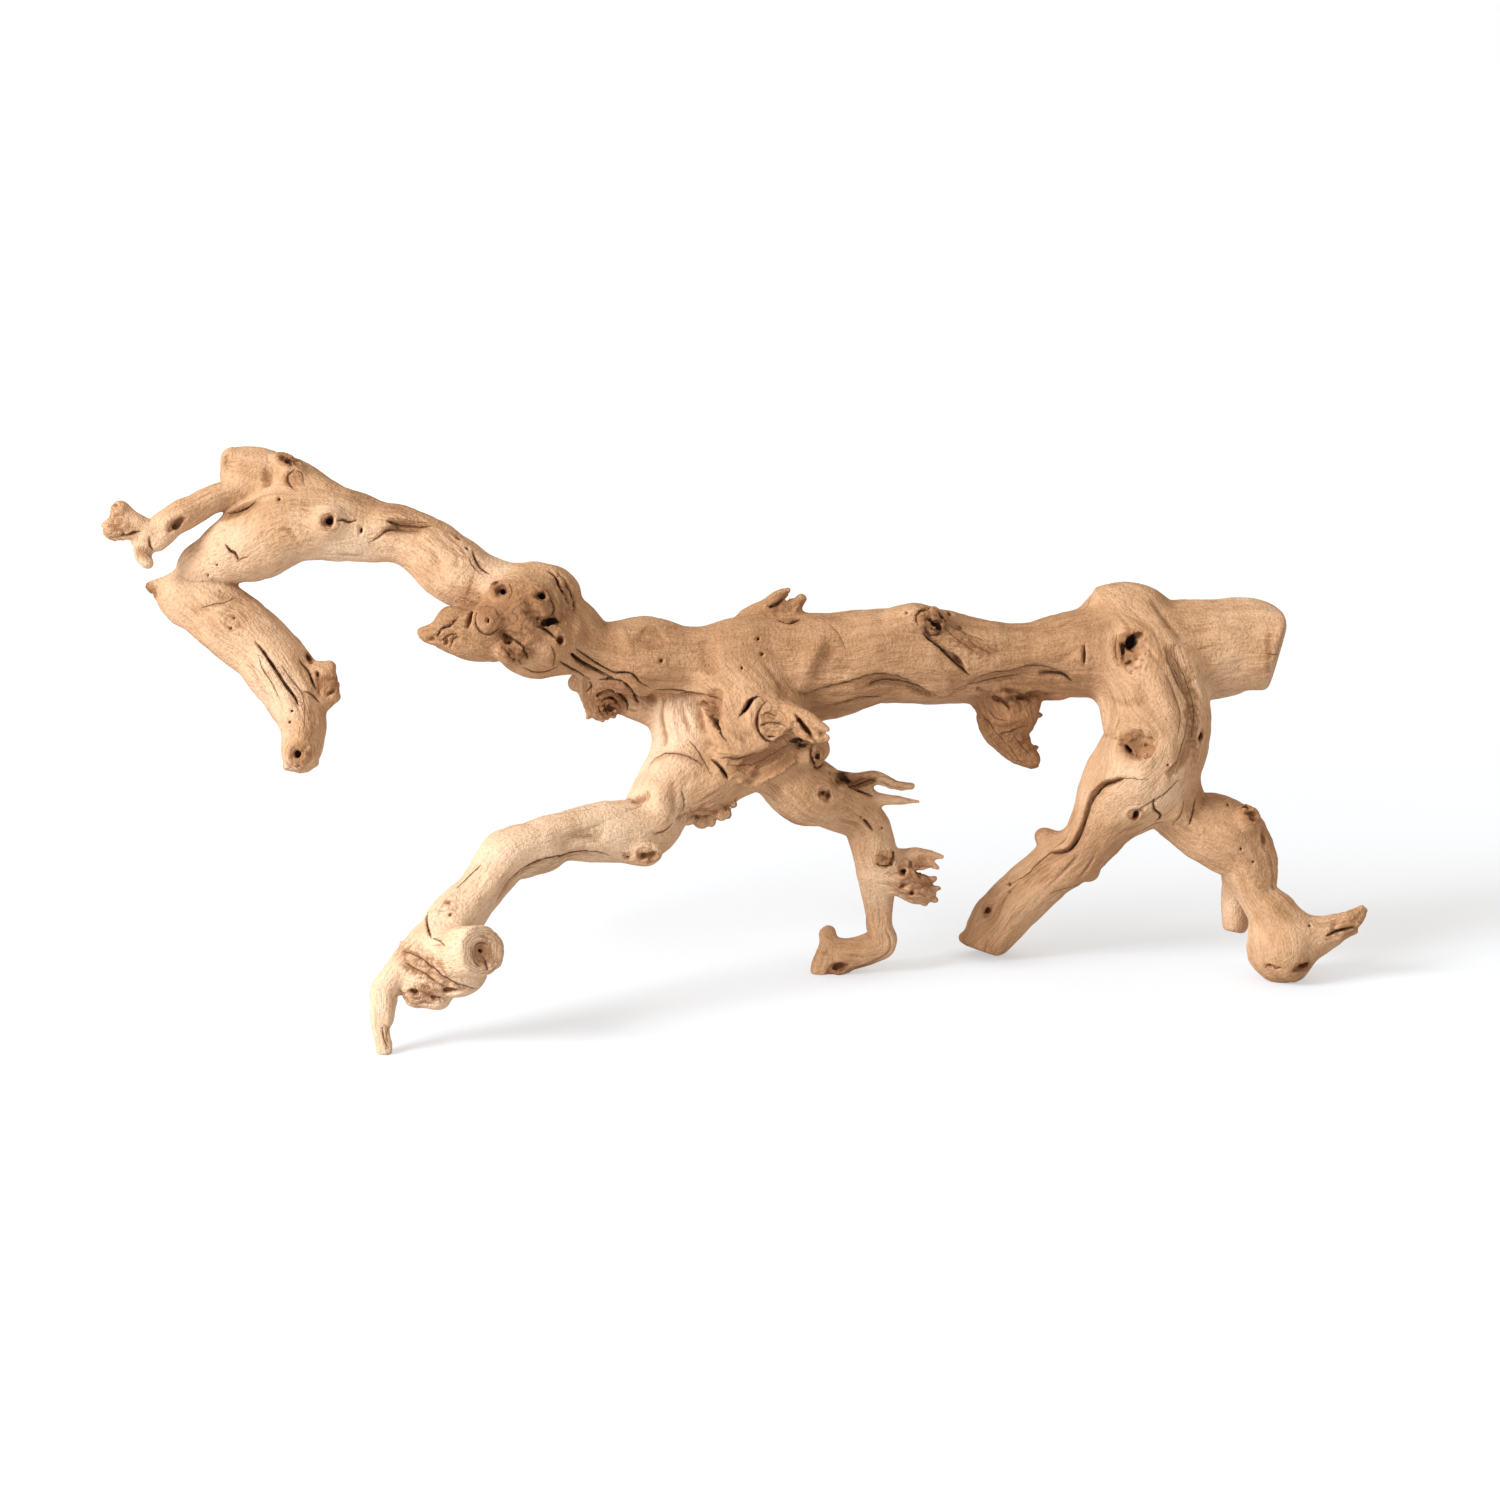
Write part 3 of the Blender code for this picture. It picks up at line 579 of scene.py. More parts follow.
# Holes and pits: where the opening is seen (across, up), the half-widths, the depth, how far it is
# turned, in degrees, and the way in, where that isn't straight away from the viewer.
HOLES = {
    "twig_hole": [(-344.4, 135.6), (6, 2.7), 6, 43],
    "twig_dent": [(-380.4, 147), (1.8, 1.2), 2, 0, (0, -0.2, -1)],
    "eye_hole": [(-252.6, 137.4), (3.6, 3.6), 9],
    "head_hole": [(-277.8, 174.6), (5, 2.6), 6, -30, (0.2, -0.5, -1)],
    "head_pin_1": [(-282.6, 150.6), (1.2, 1.3), 4],
    "head_pin_2": [(-319.8, 111), (1, 0.8), 3],
    "head_pin_3": [(-325.2, 105), (1, 0.8), 3],
    "neck_pin": [(-233.4, 132), (1.3, 2.2), 5, -10],
    "neck_notch_1": [(-175.2, 127.2), (2.1, 1), 3, -35, (-0.2, -0.4, -1)],
    "neck_notch_2": [(-169.8, 121.2), (1.8, 0.9), 3, -45, (-0.2, -0.4, -1)],
    "burl_cup": [(-150, 96), (4.5, 4.1), 6, 0, (-0.15, 0.1, -1)],
    "burl_cup_core": [(-148.2, 95.4), (2.4, 2.7), 11],
    "burl_top_hole": [(-125.4, 92.4), (3.3, 2.5), 9, -20],
    "burl_cavity": [(-121.2, 76.8), (6.4, 3), 10, 14, (0.1, 0, -1)],
    "burl_cavity_left": [(-126, 75), (2.2, 1.4), 7, 0, (0.2, 0.1, -1)],
    "burl_pit": [(-113.4, 66), (2.5, 2.8), 6, 0, (-0.2, 0, -1)],
    "burl_slit": [(-168, 80.4), (1.4, 6), 7, -5, (0.15, 0, -1)],
    "burl_knot_pin": [(-157.2, 77.4), (0.9, 2.3), 4],
    "burl_ear_pit": [(-141.6, 58.8), (2.5, 2), 6, 20, (0, 0.2, -1)],
    "splinter_end_1": [(-191.4, 66), (2.7, 1.2), 3, 25, (0.3, 0.3, -1)],
    "splinter_end_2": [(-182.4, 64.2), (1.2, 2.7), 3, -30, (0.2, 0.3, -1)],
    "trunk_pin_1": [(-53.4, 53.4), (1.4, 1.3), 4],
    "trunk_pin_2": [(-4.8, 49.2), (1, 1.4), 4],
    "trunk_pin_3": [(4.8, 66.6), (1.1, 1.1), 4],
    "trunk_pin_4": [(7.2, 57.6), (1.4, 1.3), 4],
    "trunk_pin_5": [(76.8, 64.8), (1, 1.4), 4],
    "trunk_pin_6": [(94.2, 82.8), (1.4, 1.2), 3, 0, (0, -0.3, -1)],
    "trunk_pin_7": [(126, 73.2), (1.4, 1.3), 3],
    "crater_core": [(112.2, 75.6), (3.6, 2.4), 7, -20, (0, -0.2, -1)],
    "crater_side": [(120, 82.2), (1.6, 2.2), 4, -10, (-0.2, -0.4, -1)],
    "flake_gap": [(124.8, 53.4), (5.4, 1.7), 6, -48, (0.1, 0.1, -1)],
    "stub_hollow_1": [(150, 29.4), (9.4, 1.9), 4, -30, (0, 0.3, -1)],
    "stub_hollow_2": [(171.6, 33), (11.4, 2.6), 3.4, 2, (-0.1, 0.3, -1)],
    "shoulder_slot": [(-0.6, 26.4), (1.8, 6), 9, -40],
    "shoulder_pit": [(-19.2, 14.4), (1.9, 7.2), 9, 38, (0.2, 0, -1)],
    "ring_burl_slit": [(12, 7.8), (3.6, 1), 4, 3, (0, 0.2, -1)],
    "splinter_slot": [(33, 13.2), (1.8, 9), 7, 36, (0, 0.1, -1)],
    "under_splinter": [(28.2, 3.6), (6, 2.4), 8, -4, (0, 0.2, -1)],
    "corner_knot_pin": [(40.8, -3.6), (1.8, 2), 5, 0, (-0.2, 0, -1)],
    "spike_root": [(52.8, -16.8), (2.4, 4.8), 7, 35, (0.4, 0, -1)],
    "front_hole": [(-64.2, -64.2), (2.6, 2.8), 5, 0, (0, 0.2, -1)],
    "front_hollow": [(-58.2, -63), (4.2, 2.4), 4, 8, (-0.1, 0.2, -1)],
    "front_pin": [(-73.2, -64.2), (1, 0.8), 3, 0, (0, 0.2, -1)],
    "middle_hole": [(43.8, -25.8), (3.6, 2.2), 6, 15],
    "middle_pin_1": [(66.6, -40.2), (1, 1), 3],
    "middle_pin_2": [(79.2, -46.8), (1.1, 1.3), 3],
    "middle_knot_gap": [(85.8, -64.2), (1.2, 4.2), 6, -10, (-0.3, 0, -1)],
    "cluster_hole": [(92.4, -72.6), (2.4, 2.4), 7],
    "cluster_pit_1": [(91.8, -81.6), (2.7, 1.8), 4, 30],
    "cluster_pit_2": [(97.2, -85.8), (1.4, 1.4), 4],
    "cluster_pit_3": [(96.6, -69.6), (1, 2.7), 4, 10],
    "middle_foot_pit": [(52.8, -130.8), (6, 3.2), 5, 22, (0, 0.4, -1)],
    "hind_hole": [(228.6, 64.8), (4.6, 6.6), 12, -18, (0.05, 0, -1)],
    "hind_knob_low": [(227.4, 51.6), (4.6, 1.2), 5, 8, (0, 0.2, -1)],
    "hind_knob_pin": [(228.6, 55.2), (1.1, 1.3), 4],
    "hind_pit": [(232.2, 2.4), (8.6, 7.4), 3.4, -20, (0, 0.1, -1)],
    "hind_pit_edge": [(227.4, 0), (1.6, 6), 7, 38, (0.2, 0.1, -1)],
    "hind_slit": [(200.4, 57), (1.1, 7.2), 5, 0, (0.2, 0, -1)],
    "hind_side_pit": [(271.8, 8.4), (2.3, 3.9), 8, -10, (-0.5, 0, -1)],
    "hind_low_hole": [(231.6, -39), (2.2, 3.9), 8, -28],
    "hind_pin_1": [(250.8, -9), (1.1, 1.1), 3],
    "hind_pin_2": [(255, 63), (1, 1), 3],
    "right_leg_hole": [(301.8, -39), (5.2, 3), 3.5, -35, (-0.3, -0.2, -1)],
    "right_leg_hole_2": [(298.2, -34.2), (2.4, 1.4), 3, -10, (-0.2, -0.3, -1)],
    "right_leg_slit": [(308.4, -52.2), (2, 5.4), 3, 4, (-0.5, 0, -1)],
    "right_leg_pin_1": [(294.6, -59.4), (1, 1.1), 4],
    "right_leg_pin_2": [(301.8, -67.2), (1.3, 0.9), 4],
    "right_leg_pin_3": [(286.8, -33), (0.9, 1.1), 4],
    "right_leg_pin_4": [(336, -105.6), (1.3, 1.1), 4],
    "foot_hole": [(332.4, -130.2), (5.4, 2.6), 6, 12, (0, 0.4, -1)],
    "foot_hole_2": [(312, -130.2), (3, 1.2), 4, 10, (0, 0.4, -1)],
    "left_leg_hole": [(142.2, -96.6), (2.4, 3.2), 6, -25, (0.2, 0, -1)],
    "left_leg_pin_1": [(156, -80.4), (1.2, 1), 4],
    "left_leg_pin_2": [(156, -85.2), (0.9, 0.9), 3],
    "drooping_hole": [(-271.8, -3), (3.2, 2.8), 7, 0, (0, 0.1, -1)],
    "drooping_pin_1": [(-309.6, 79.2), (1.1, 1), 4],
    "drooping_pin_2": [(-311.4, 73.2), (1, 1.1), 4],
    "drooping_pin_3": [(-274.8, 23.4), (1.3, 0.9), 3, 20],
    "drooping_pin_4": [(-276, 16.8), (0.8, 1), 3],
    "drooping_pin_5": [(-261.6, 16.2), (0.9, 0.9), 3],
    "drooping_notch": [(-264.6, 55.8), (1.8, 3.3), 5, 20, (-0.3, 0, -1)],
    "flare_hole": [(-259.2, 45), (1.3, 3.2), 5, 12, (-0.2, 0, -1)],
    "flare_notch": [(-251.4, 34.2), (2.4, 1.2), 3, 35, (-0.2, 0.2, -1)],
    "foot_hollow_1": [(-180, -144.6), (4.8, 1.4), 4, 8, (0, 0.3, -1)],
    "foot_hollow_2": [(-201, -145.8), (3.3, 1.6), 4, -20, (0, 0.4, -1)],
    "foot_hollow_3": [(-187.8, -148.8), (2.7, 1.2), 4, -10, (0, 0.4, -1)],
    "foot_knot_1": [(-181.2, -91.8), (1.8, 1), 3],
    "foot_knot_2": [(-180, -99), (1.2, 1.4), 3],
    "stub_pith": [(-160.8, -121.2), (1.7, 1.7), 10, 0, (-0.53, 0, -0.85)],
    "hind_frame": [(227.4, 60.6), (7.4, 10.4), 2.6, -6],
    "head_hole_2": [(-272.4, 172.8), (2.6, 1.4), 4, -45, (0.2, -0.5, -1)],
    "crater_core_2": [(107.4, 79.2), (2, 3.6), 5, 10, (0.2, -0.2, -1)],
    "crater_core_3": [(114.6, 81), (3, 1.6), 4, -40, (0, -0.4, -1)],
    "hind_hole_top": [(233.4, 69), (3.6, 2.2), 5, 10],
    "hind_hole_low": [(223.8, 60), (1.6, 5), 6],
    "hind_knob_right": [(232.2, 56.4), (1.1, 3.2), 4, 20],
    "cluster_notch": [(106, -74), (7, 1.5), 18, -14],
    "middle_hole_2": [(46.8, -27.6), (2, 3.2), 5, -10],
    "stub_ring_pit": [(-160.2, -121.8), (6.6, 6.8), 1.5, 0, (-0.53, 0, -0.85)],
    "rear_stub_pit": [(-84.6, 24), (3.4, 2.4), 5, 20, (0, 0.1, -1)],
    "burl_ear_hollow": [(-141.6, 63), (6.4, 2.2), 7, -48, (0, 0.1, -1)],
    "stub_hollow_3": [(158.4, 34.8), (4.6, 1.2), 3, -12, (0, 0.3, -1)],
}

# Holes on the far side, placed by where they would be seen through the wood.
FAR_HOLES = {
    "far_pit_1": [(150, 61.8), (4.2, 3), 7, 20],
    "far_pit_2": [(19.8, 60), (3, 3.6), 8],
    "far_pit_3": [(262.2, 58.2), (4.8, 3.6), 8, -20],
    "far_pit_4": [(244.2, 10.2), (3, 6.6), 8, 10],
    "far_pit_5": [(-253.8, 132), (3, 3), 7],
    "far_pit_6": [(-60, 54), (2.2, 2.2), 5],
    "far_pit_7": [(-127.8, 79.8), (3.6, 3), 7, 30],
    "far_pit_8": [(-300, 66), (3, 2.4), 6, 40],
    "far_pit_9": [(-118.2, -54), (2.4, 2.4), 5],
    "far_pit_10": [(175.8, -76.2), (2.8, 3.4), 6],
    "far_slit_1": [(90, 57), (1.3, 7.2), 6, 75],
    "far_slit_2": [(216, 30), (1.3, 7.2), 6, 15],
    "far_pin_1": [(210, 66), (1.3, 1.3), 4],
    "far_pin_2": [(91.8, 49.8), (1.3, 1.3), 4],
    "far_pin_3": [(-211.8, 127.8), (1.3, 1.3), 4],
    "far_pin_4": [(301.8, -52.2), (1.5, 1.5), 4],
    "far_pin_5": [(72, 66), (1.1, 1.1), 4],
    "far_pin_6": [(-30, 57), (1.1, 1.1), 4],
}

# Round knots: where their middle is seen, and their radius.
KNOTS = {
    "eye": [(-252.6, 137.4), 7],
    "head": [(-273.6, 163.2), 6.6],
    "burl_flat": [(-157.2, 78), 6.6],
    "burl_cup": [(-150, 96), 5.4],
    "burl_top": [(-125.4, 91.8), 6],
    "hind_knob": [(227.4, 55.8), 3.6],
    "ring_burl": [(15, 16.8), 9.6],
    "middle_hole": [(45, -26.4), 6],
    "middle_knot": [(80.4, -64.8), 4.8],
    "cluster": [(92.4, -72.6), 4.8],
    "front_hole": [(-63, -63.6), 6.6],
    "front_pin": [(-73.2, -63.6), 3.6],
    "hind_pit": [(232.2, 3), 10.8],
    "hind_low_hole": [(231.6, -39), 6],
    "drooping_end": [(-271.8, -2.4), 6.6],
    "drooping_pins": [(-310.8, 76.8), 6],
    "rear_stub": [(-83.4, 29.4), 9.6],
    "left_leg": [(142.2, -96.6), 5.4],
    "twig_end": [(-380.4, 147), 4.2],
}
FAR_KNOTS = {
    "far_1": [(150, 61.8), 8.4],
    "far_2": [(262.2, 58.2), 9.6],
    "far_3": [(-253.8, 132), 6.6],
    "far_4": [(-127.8, 79.8), 8.4],
    "far_5": [(19.8, 60), 7.8],
    "far_6": [(244.2, 10.2), 9.6],
    "far_7": [(-300, 66), 6],
    "far_8": [(-118.2, -54), 5.4],
}

# Cracks: the places they run through as seen, half their width and their depth.
CRACKS = {
    "eye": [[(-248.4, 137.4), (-244.2, 138), (-240.6, 136.8), (-235.8, 138)], 0.6, 2],
    "head_zig": [[(-315, 123.6), (-312, 119.4), (-309, 117.6), (-307.2, 113.4)], 0.8, 3],
    "head_zig_branch": [[(-307.8, 112.8), (-304.8, 114.6), (-300.6, 115.8)], 0.4, 1.5],
    "twig_root": [[(-312.6, 142.2), (-307.2, 143.4), (-301.8, 145.8), (-297, 149.4)], 1, 4],
    "neck_upper": [[(-218.4, 137.4), (-210, 136.8), (-200.4, 136.8), (-190.8, 135.6)], 0.9, 3],
    "neck_lower": [
        [(-228.6, 124.2), (-222.6, 127.8), (-217.2, 132), (-208.8, 132.6), (-198, 132.6)],
        0.5, 2,
    ],
    "neck_crack": [[(-166.2, 120), (-164.4, 114.6), (-161.4, 109.8), (-156.6, 106.2)], 0.7, 3],
    "neck_crack_2": [[(-169.2, 116.4), (-165.6, 109.8), (-160.2, 105)], 0.35, 1.5],
    "burl_side_1": [[(-120.6, 108), (-115.8, 103.2), (-112.8, 96), (-108.6, 88.2)], 0.9, 4],
    "burl_side_2": [[(-115.2, 106.8), (-109.8, 99.6), (-106.2, 90.6), (-105.6, 82.2)], 0.5, 3],
    "burl_ring": [
        [(-163.8, 82.8), (-165, 76.2), (-161.4, 70.2), (-155.4, 69), (-150, 73.2)],
        0.6, 2,
    ],
    "burl_ring_top": [[(-163.2, 84), (-159.6, 87), (-154.2, 85.8)], 0.5, 2],
    "burl_cup_lip": [[(-144.6, 100.2), (-142.8, 94.8), (-145.2, 90)], 0.45, 2],
    "burl_cavity_rise": [[(-119.4, 78.6), (-116.4, 84), (-118.2, 90), (-121.2, 96)], 0.6, 3],
    "burl_cavity_fall": [[(-128.4, 74.4), (-122.4, 72), (-116.4, 67.2)], 0.7, 3],
    "burl_ear": [[(-146.4, 67.8), (-140.4, 65.4), (-136.2, 60.6), (-133.8, 54)], 0.9, 4],
    "burl_ear_2": [[(-147, 61.2), (-143.4, 55.8), (-137.4, 51)], 0.6, 2],
    "burl_foot": [[(-136.8, 49.2), (-130.2, 46.2), (-121.8, 46.2), (-115.2, 49.2)], 0.7, 3],
    "burl_crease": [[(-119.4, 63), (-117, 56.4), (-118.2, 49.2)], 0.45, 2],
    "burl_leaf": [[(-188.4, 67.2), (-185.4, 72.6), (-180, 75.6), (-174.6, 80.4)], 0.8, 3],
    "burl_leaf_2": [[(-185.4, 65.4), (-180.6, 69), (-175.8, 70.2)], 0.5, 2],
    "burl_leaf_3": [[(-180, 61.2), (-178.2, 66), (-174.6, 68.4)], 0.5, 2],
    "low_trunk_1": [[(-107.4, 58.2), (-100.2, 51.6), (-92.4, 46.8), (-81.6, 41.4)], 1.6, 7],
    "low_trunk_2": [[(-114, 52.8), (-105, 46.8), (-96, 41.4)], 0.8, 3],
    "low_trunk_3": [
        [
            (-105, 61.2), (-94.8, 54), (-82.8, 46.2), (-78, 46.2), (-70.8, 45.6), (-66.6, 40.8),
            (-60, 37.2),
        ],
        0.8, 3,
    ],
    "low_trunk_4": [[(-91.2, 41.4), (-78.6, 40.8), (-72, 36), (-66.6, 28.2)], 1.1, 4],
    "low_trunk_5": [[(-57, 36), (-42, 35.4), (-28.8, 31.8)], 0.5, 2],
    "rear_stub": [[(-97.2, 40.8), (-95.4, 38.4), (-98.4, 34.8)], 0.6, 2],
    "splinter_gap": [[(11, 86), (16, 87), (20.5, 91)], 0.8, 4],
    "splinter_crease": [[(17.4, 78), (24, 76.2), (30, 78.6)], 1, 3],
    "shoulder_slit_1": [[(-31.8, 27.6), (-26.4, 21), (-19.8, 13.8), (-12.6, 6.6)], 1.5, 7],
    "shoulder_slit_2": [[(-7.2, 19.8), (-2.4, 24.6), (0, 29.4), (5.4, 32.4)], 1.2, 7],
    "shoulder_fold": [[(-37.2, 6.6), (-30.6, 0), (-26.4, -7.2), (-23.4, -15)], 0.4, 2.5],
    "shoulder_fold_2": [[(-23.4, -4.8), (-17.4, -10.8), (-13.2, -17.4)], 0.9, 5],
    "ring_burl_outer": [
        [(10.8, 30), (5.4, 22.8), (4.2, 14.4), (7.8, 7.2), (13.8, 4.2), (21, 6)],
        0.7, 3,
    ],
    "ring_burl_inner": [[(5.4, 13.8), (10.2, 16.2), (15.6, 16.2), (21.6, 14.4)], 0.5, 2],
    "ring_burl_top": [[(6, 20.4), (10.8, 22.2), (15, 20.4)], 0.45, 2],
    "band_strand_1": [[(-6, -12.6), (6, -10.2), (18, -4.2), (25.8, 3)], 0.5, 2],
    "band_strand_2": [[(-13.2, -8.4), (-1.2, -10.8), (10.8, -6.6), (21.6, 0)], 0.4, 1.5],
    "splinter_edge": [[(22.8, 5.4), (30, 3), (37.2, 4.2)], 0.8, 3],
    "corner_fold": [[(37.2, 3.6), (36.6, -4.2), (40.2, -10.8), (44.4, -7.8)], 0.6, 3],
    "front_arc": [[(-58.2, -50.4), (-52.2, -48.6), (-46.8, -43.8)], 0.4, 1.5],
    "front_crack": [[(-161.4, -68.4), (-167.4, -74.4), (-175.8, -83.4)], 0.4, 2],
    "foot_crack": [[(-193.2, -96.6), (-194.4, -101.4), (-193.2, -107.4), (-191.4, -112.8)], 0.5, 3],
    "foot_line": [[(-190.8, -112.8), (-186, -114.6), (-182.4, -118.2)], 0.35, 1.5],
    "toe_line": [[(-220.8, -166.8), (-219.6, -172.8), (-217.2, -178.8)], 0.45, 2],
    "middle_crack": [[(67.8, -41.4), (70.8, -44.4), (73.8, -48.6)], 0.6, 3],
    "middle_knot_under": [[(75.6, -68.4), (81, -70.2), (85.8, -67.8)], 0.7, 3],
    "spike_line_2": [[(57.6, -21.6), (66, -24.6), (73.8, -27.6)], 0.7, 3],
    "crater_arc_1": [[(100.8, 73.8), (99.6, 79.8), (102.6, 84.6), (109.2, 86.4)], 0.7, 3],
    "crater_arc_2": [[(105, 73.8), (108, 69.6), (113.4, 69.6), (117, 75)], 0.6, 2],
    "crater_ledge": [
        [(103.8, 70.2), (109.2, 66), (114.6, 61.8), (120.6, 55.8), (126.6, 49.8), (132, 44.4)],
        1.3, 5,
    ],
    "low_band_1": [[(72, 37.8), (81, 39.6), (90, 38.4), (99.6, 35.4), (111, 31.8)], 0.9, 3],
    "low_band_2": [[(45.6, 25.8), (57, 28.8), (67.2, 31.2), (79.2, 31.2)], 0.6, 2],
    "low_band_3": [[(130.8, 36.6), (141, 39), (151.2, 41.4), (163.2, 43.8)], 0.5, 2],
    "low_band_4": [[(174, 45), (183, 44.4), (189, 43.8), (193.8, 40.2)], 0.9, 3],
    "trunk_line_1": [[(47.4, 75.6), (52.2, 70.8), (55.8, 64.8), (57.6, 60)], 0.25, 1],
    "end_check": [[(310.8, 57.6), (313.8, 57), (316.8, 57.6)], 0.35, 1],
    "hind_big": [
        [
            (223.8, -17.4), (216.6, -19.8), (210.6, -21.6), (205.2, -28.2), (202.2, -36.6),
            (199.2, -45.6), (196.2, -52.8), (192, -58.8), (186.6, -61.2), (180.6, -61.2),
        ],
        1.1, 5,
    ],
    "hind_notch": [[(243, -29.4), (242.4, -35.4), (246.6, -39.6), (243, -43.8)], 0.6, 3],
    "hind_low_line": [[(232.8, -36), (241.8, -31.2), (250.2, -25.2), (258, -18)], 0.4, 2],
    "hind_frame": [[(220.2, 69.6), (219, 61.2), (220.2, 53.4)], 0.4, 2],
    "left_leg_low": [[(180, -86.4), (189.6, -82.8), (198, -79.8)], 0.35, 2],
    "right_leg_line": [[(268.2, -28.8), (266.4, -36.6), (263.4, -45)], 0.6, 2],
    "right_leg_line_2": [[(260.4, -28.8), (258, -37.2), (253.2, -45.6)], 0.35, 1.5],
    "toe_split": [[(345.6, -111.6), (351.6, -109.2), (357, -108), (363, -107.4)], 0.9, 4],
    "foot_w": [[(308.4, -131.4), (312, -129), (315, -131.4), (319.2, -130.2)], 0.5, 2],
    "drooping_long": [
        [
            (-297.6, 66), (-292.8, 60), (-288.6, 54), (-283.8, 46.8), (-278.4, 38.4), (-273, 31.8),
            (-270.6, 26.4),
        ],
        1, 5,
    ],
    "drooping_left": [[(-295.2, 57), (-292.8, 49.2), (-286.8, 39.6), (-282, 30)], 0.3, 1.5],
    "drooping_right": [
        [(-281.4, 51.6), (-275.4, 43.2), (-268.8, 34.8), (-267, 22.8), (-268.2, 7.2)],
        0.4, 2,
    ],
    "drooping_side": [[(-270, 55.2), (-265.2, 49.2), (-262.2, 42.6), (-259.8, 36.6)], 0.8, 4],
    "drooping_low": [[(-269.4, 36), (-262.2, 33), (-258, 28.2)], 0.5, 2],
    "drooping_bend": [[(-329.4, 85.2), (-322.8, 87.6), (-315.6, 88.8), (-308.4, 91.8)], 0.35, 1.5],
    "twig_low_line": [[(-377.4, 128.4), (-371.4, 129.6), (-365.4, 131.4)], 0.6, 2],
    "twig_prong_line": [[(-360.6, 127.8), (-360, 123), (-358.2, 120)], 0.6, 2],
    "hind_strand_1": [
        [(252, 57), (258.6, 44.4), (264, 31.2), (262.8, 15.6), (260.4, 3), (253.8, -9.6)],
        0.45, 2,
    ],
    "hind_strand_2": [
        [(253.2, 58.8), (262.2, 45.6), (268.2, 30), (268.8, 16.8), (266.4, 3.6)],
        0.4, 2,
    ],
    "hind_strand_3": [[(248.4, 46.8), (254.4, 34.8), (258, 20.4), (256.2, 6)], 0.3, 2],
    "head_lens": [[(-273, 168.6), (-277.2, 165.6), (-277.2, 161.4), (-273.6, 157.2)], 0.7, 3],
    "head_lens_2": [[(-271.8, 168), (-268.2, 165), (-268.2, 160.2)], 0.35, 2],
    "crater_bark_1": [[(117.6, 73.2), (123, 67.8), (129, 63), (135, 59.4)], 0.4, 2],
    "crater_bark_2": [[(119.4, 77.4), (126, 72), (133.2, 68.4), (140.4, 65.4)], 0.3, 1.5],
    "crater_bark_3": [[(130.8, 65.4), (138, 61.2), (146.4, 57.6)], 0.3, 1.5],
    "rear_arc_1": [
        [(-92.4, 31.8), (-86.4, 35.4), (-79.2, 34.2), (-73.8, 28.8), (-73.8, 22.8)],
        0.7, 3,
    ],
    "rear_arc_2": [[(-89.4, 28.2), (-84.6, 31.2), (-79.8, 29.4), (-77.4, 24.6)], 0.6, 3],
    "rear_arc_3": [[(-91.2, 26.4), (-90, 22.2), (-86.4, 19.2)], 0.5, 2],
    "rear_slit_1": [[(-87.6, 28.2), (-86.4, 24), (-84.6, 19.8)], 0.7, 3],
    "rear_slit_2": [[(-83.4, 28.8), (-82.8, 24.6), (-81.6, 20.4)], 0.5, 3],
    "flange_line_1": [[(-41.4, -24), (-39.6, -30), (-40.2, -36.6)], 0.35, 2],
    "spike_recess": [[(52.8, -15.6), (60, -19.2), (68.4, -19.8), (76.2, -19.8)], 1.1, 4],
    "stub_tip_1": [[(153.6, 4.2), (157.2, -0.6), (161.4, -6)], 0.35, 2],
    "stub_tip_2": [[(159.6, 6.6), (163.8, 1.8), (168.6, -3.6)], 0.4, 2],
    "stub_edge": [
        [(135.6, 26.4), (139.2, 19.2), (144.6, 12), (151.2, 5.4), (156.6, -0.6)],
        0.45, 2,
    ],
    "stub_swirl": [[(142.2, 24.6), (146.4, 19.8), (153.6, 18)], 0.4, 2],
    "stub_check": [[(-159.6, -123.6), (-157.8, -127.8), (-157.2, -132)], 0.5, 2],
    "stub_check_2": [[(-165.6, -118.2), (-162, -115.8), (-157.2, -116.4)], 0.4, 1.5],
    "stub_check_3": [[(-166.2, -123.6), (-165, -127.2), (-162, -130.2)], 0.4, 1.5],
}
FAR_CRACKS = {
    "far_trunk_1": [[(250.2, 49.8), (220.2, 46.8), (190.2, 49.8), (165, 46.2)], 0.9, 5],
    "far_trunk_2": [[(130.2, 66), (100.2, 60), (70.2, 61.8)], 0.8, 4],
    "far_trunk_3": [[(10.2, 46.2), (-19.8, 49.8), (-49.8, 48)], 0.9, 4],
    "far_trunk_4": [[(240, 72), (216, 66), (198, 70.8)], 0.5, 2],
    "far_trunk_5": [[(60, 75), (39, 70.8), (18, 73.2)], 0.5, 2],
    "far_neck": [[(-169.8, 102), (-199.8, 121.8), (-225, 127.8)], 0.8, 4],
    "far_neck_2": [[(-186, 129), (-207, 138), (-228, 142.8)], 0.5, 2],
    "far_head": [[(-270, 150), (-288, 142.8), (-306, 141)], 0.6, 3],
    "far_drooping": [[(-318, 79.8), (-295.8, 61.8), (-280.2, 40.2)], 1, 5],
    "far_hind": [[(235.8, 40.2), (240, 12), (232.2, -12), (222, -25.8)], 1, 6],
    "far_hind_2": [[(258, 36), (261.6, 15), (255, -3)], 0.6, 3],
    "far_front": [[(-79.8, -46.2), (-112.2, -52.2), (-139.8, -60)], 0.8, 4],
    "far_left_leg": [[(205.2, -52.2), (184.2, -72), (166.2, -88.2)], 0.8, 4],
    "far_right_leg": [[(279, -45), (294, -57), (303, -72)], 0.6, 3],
}

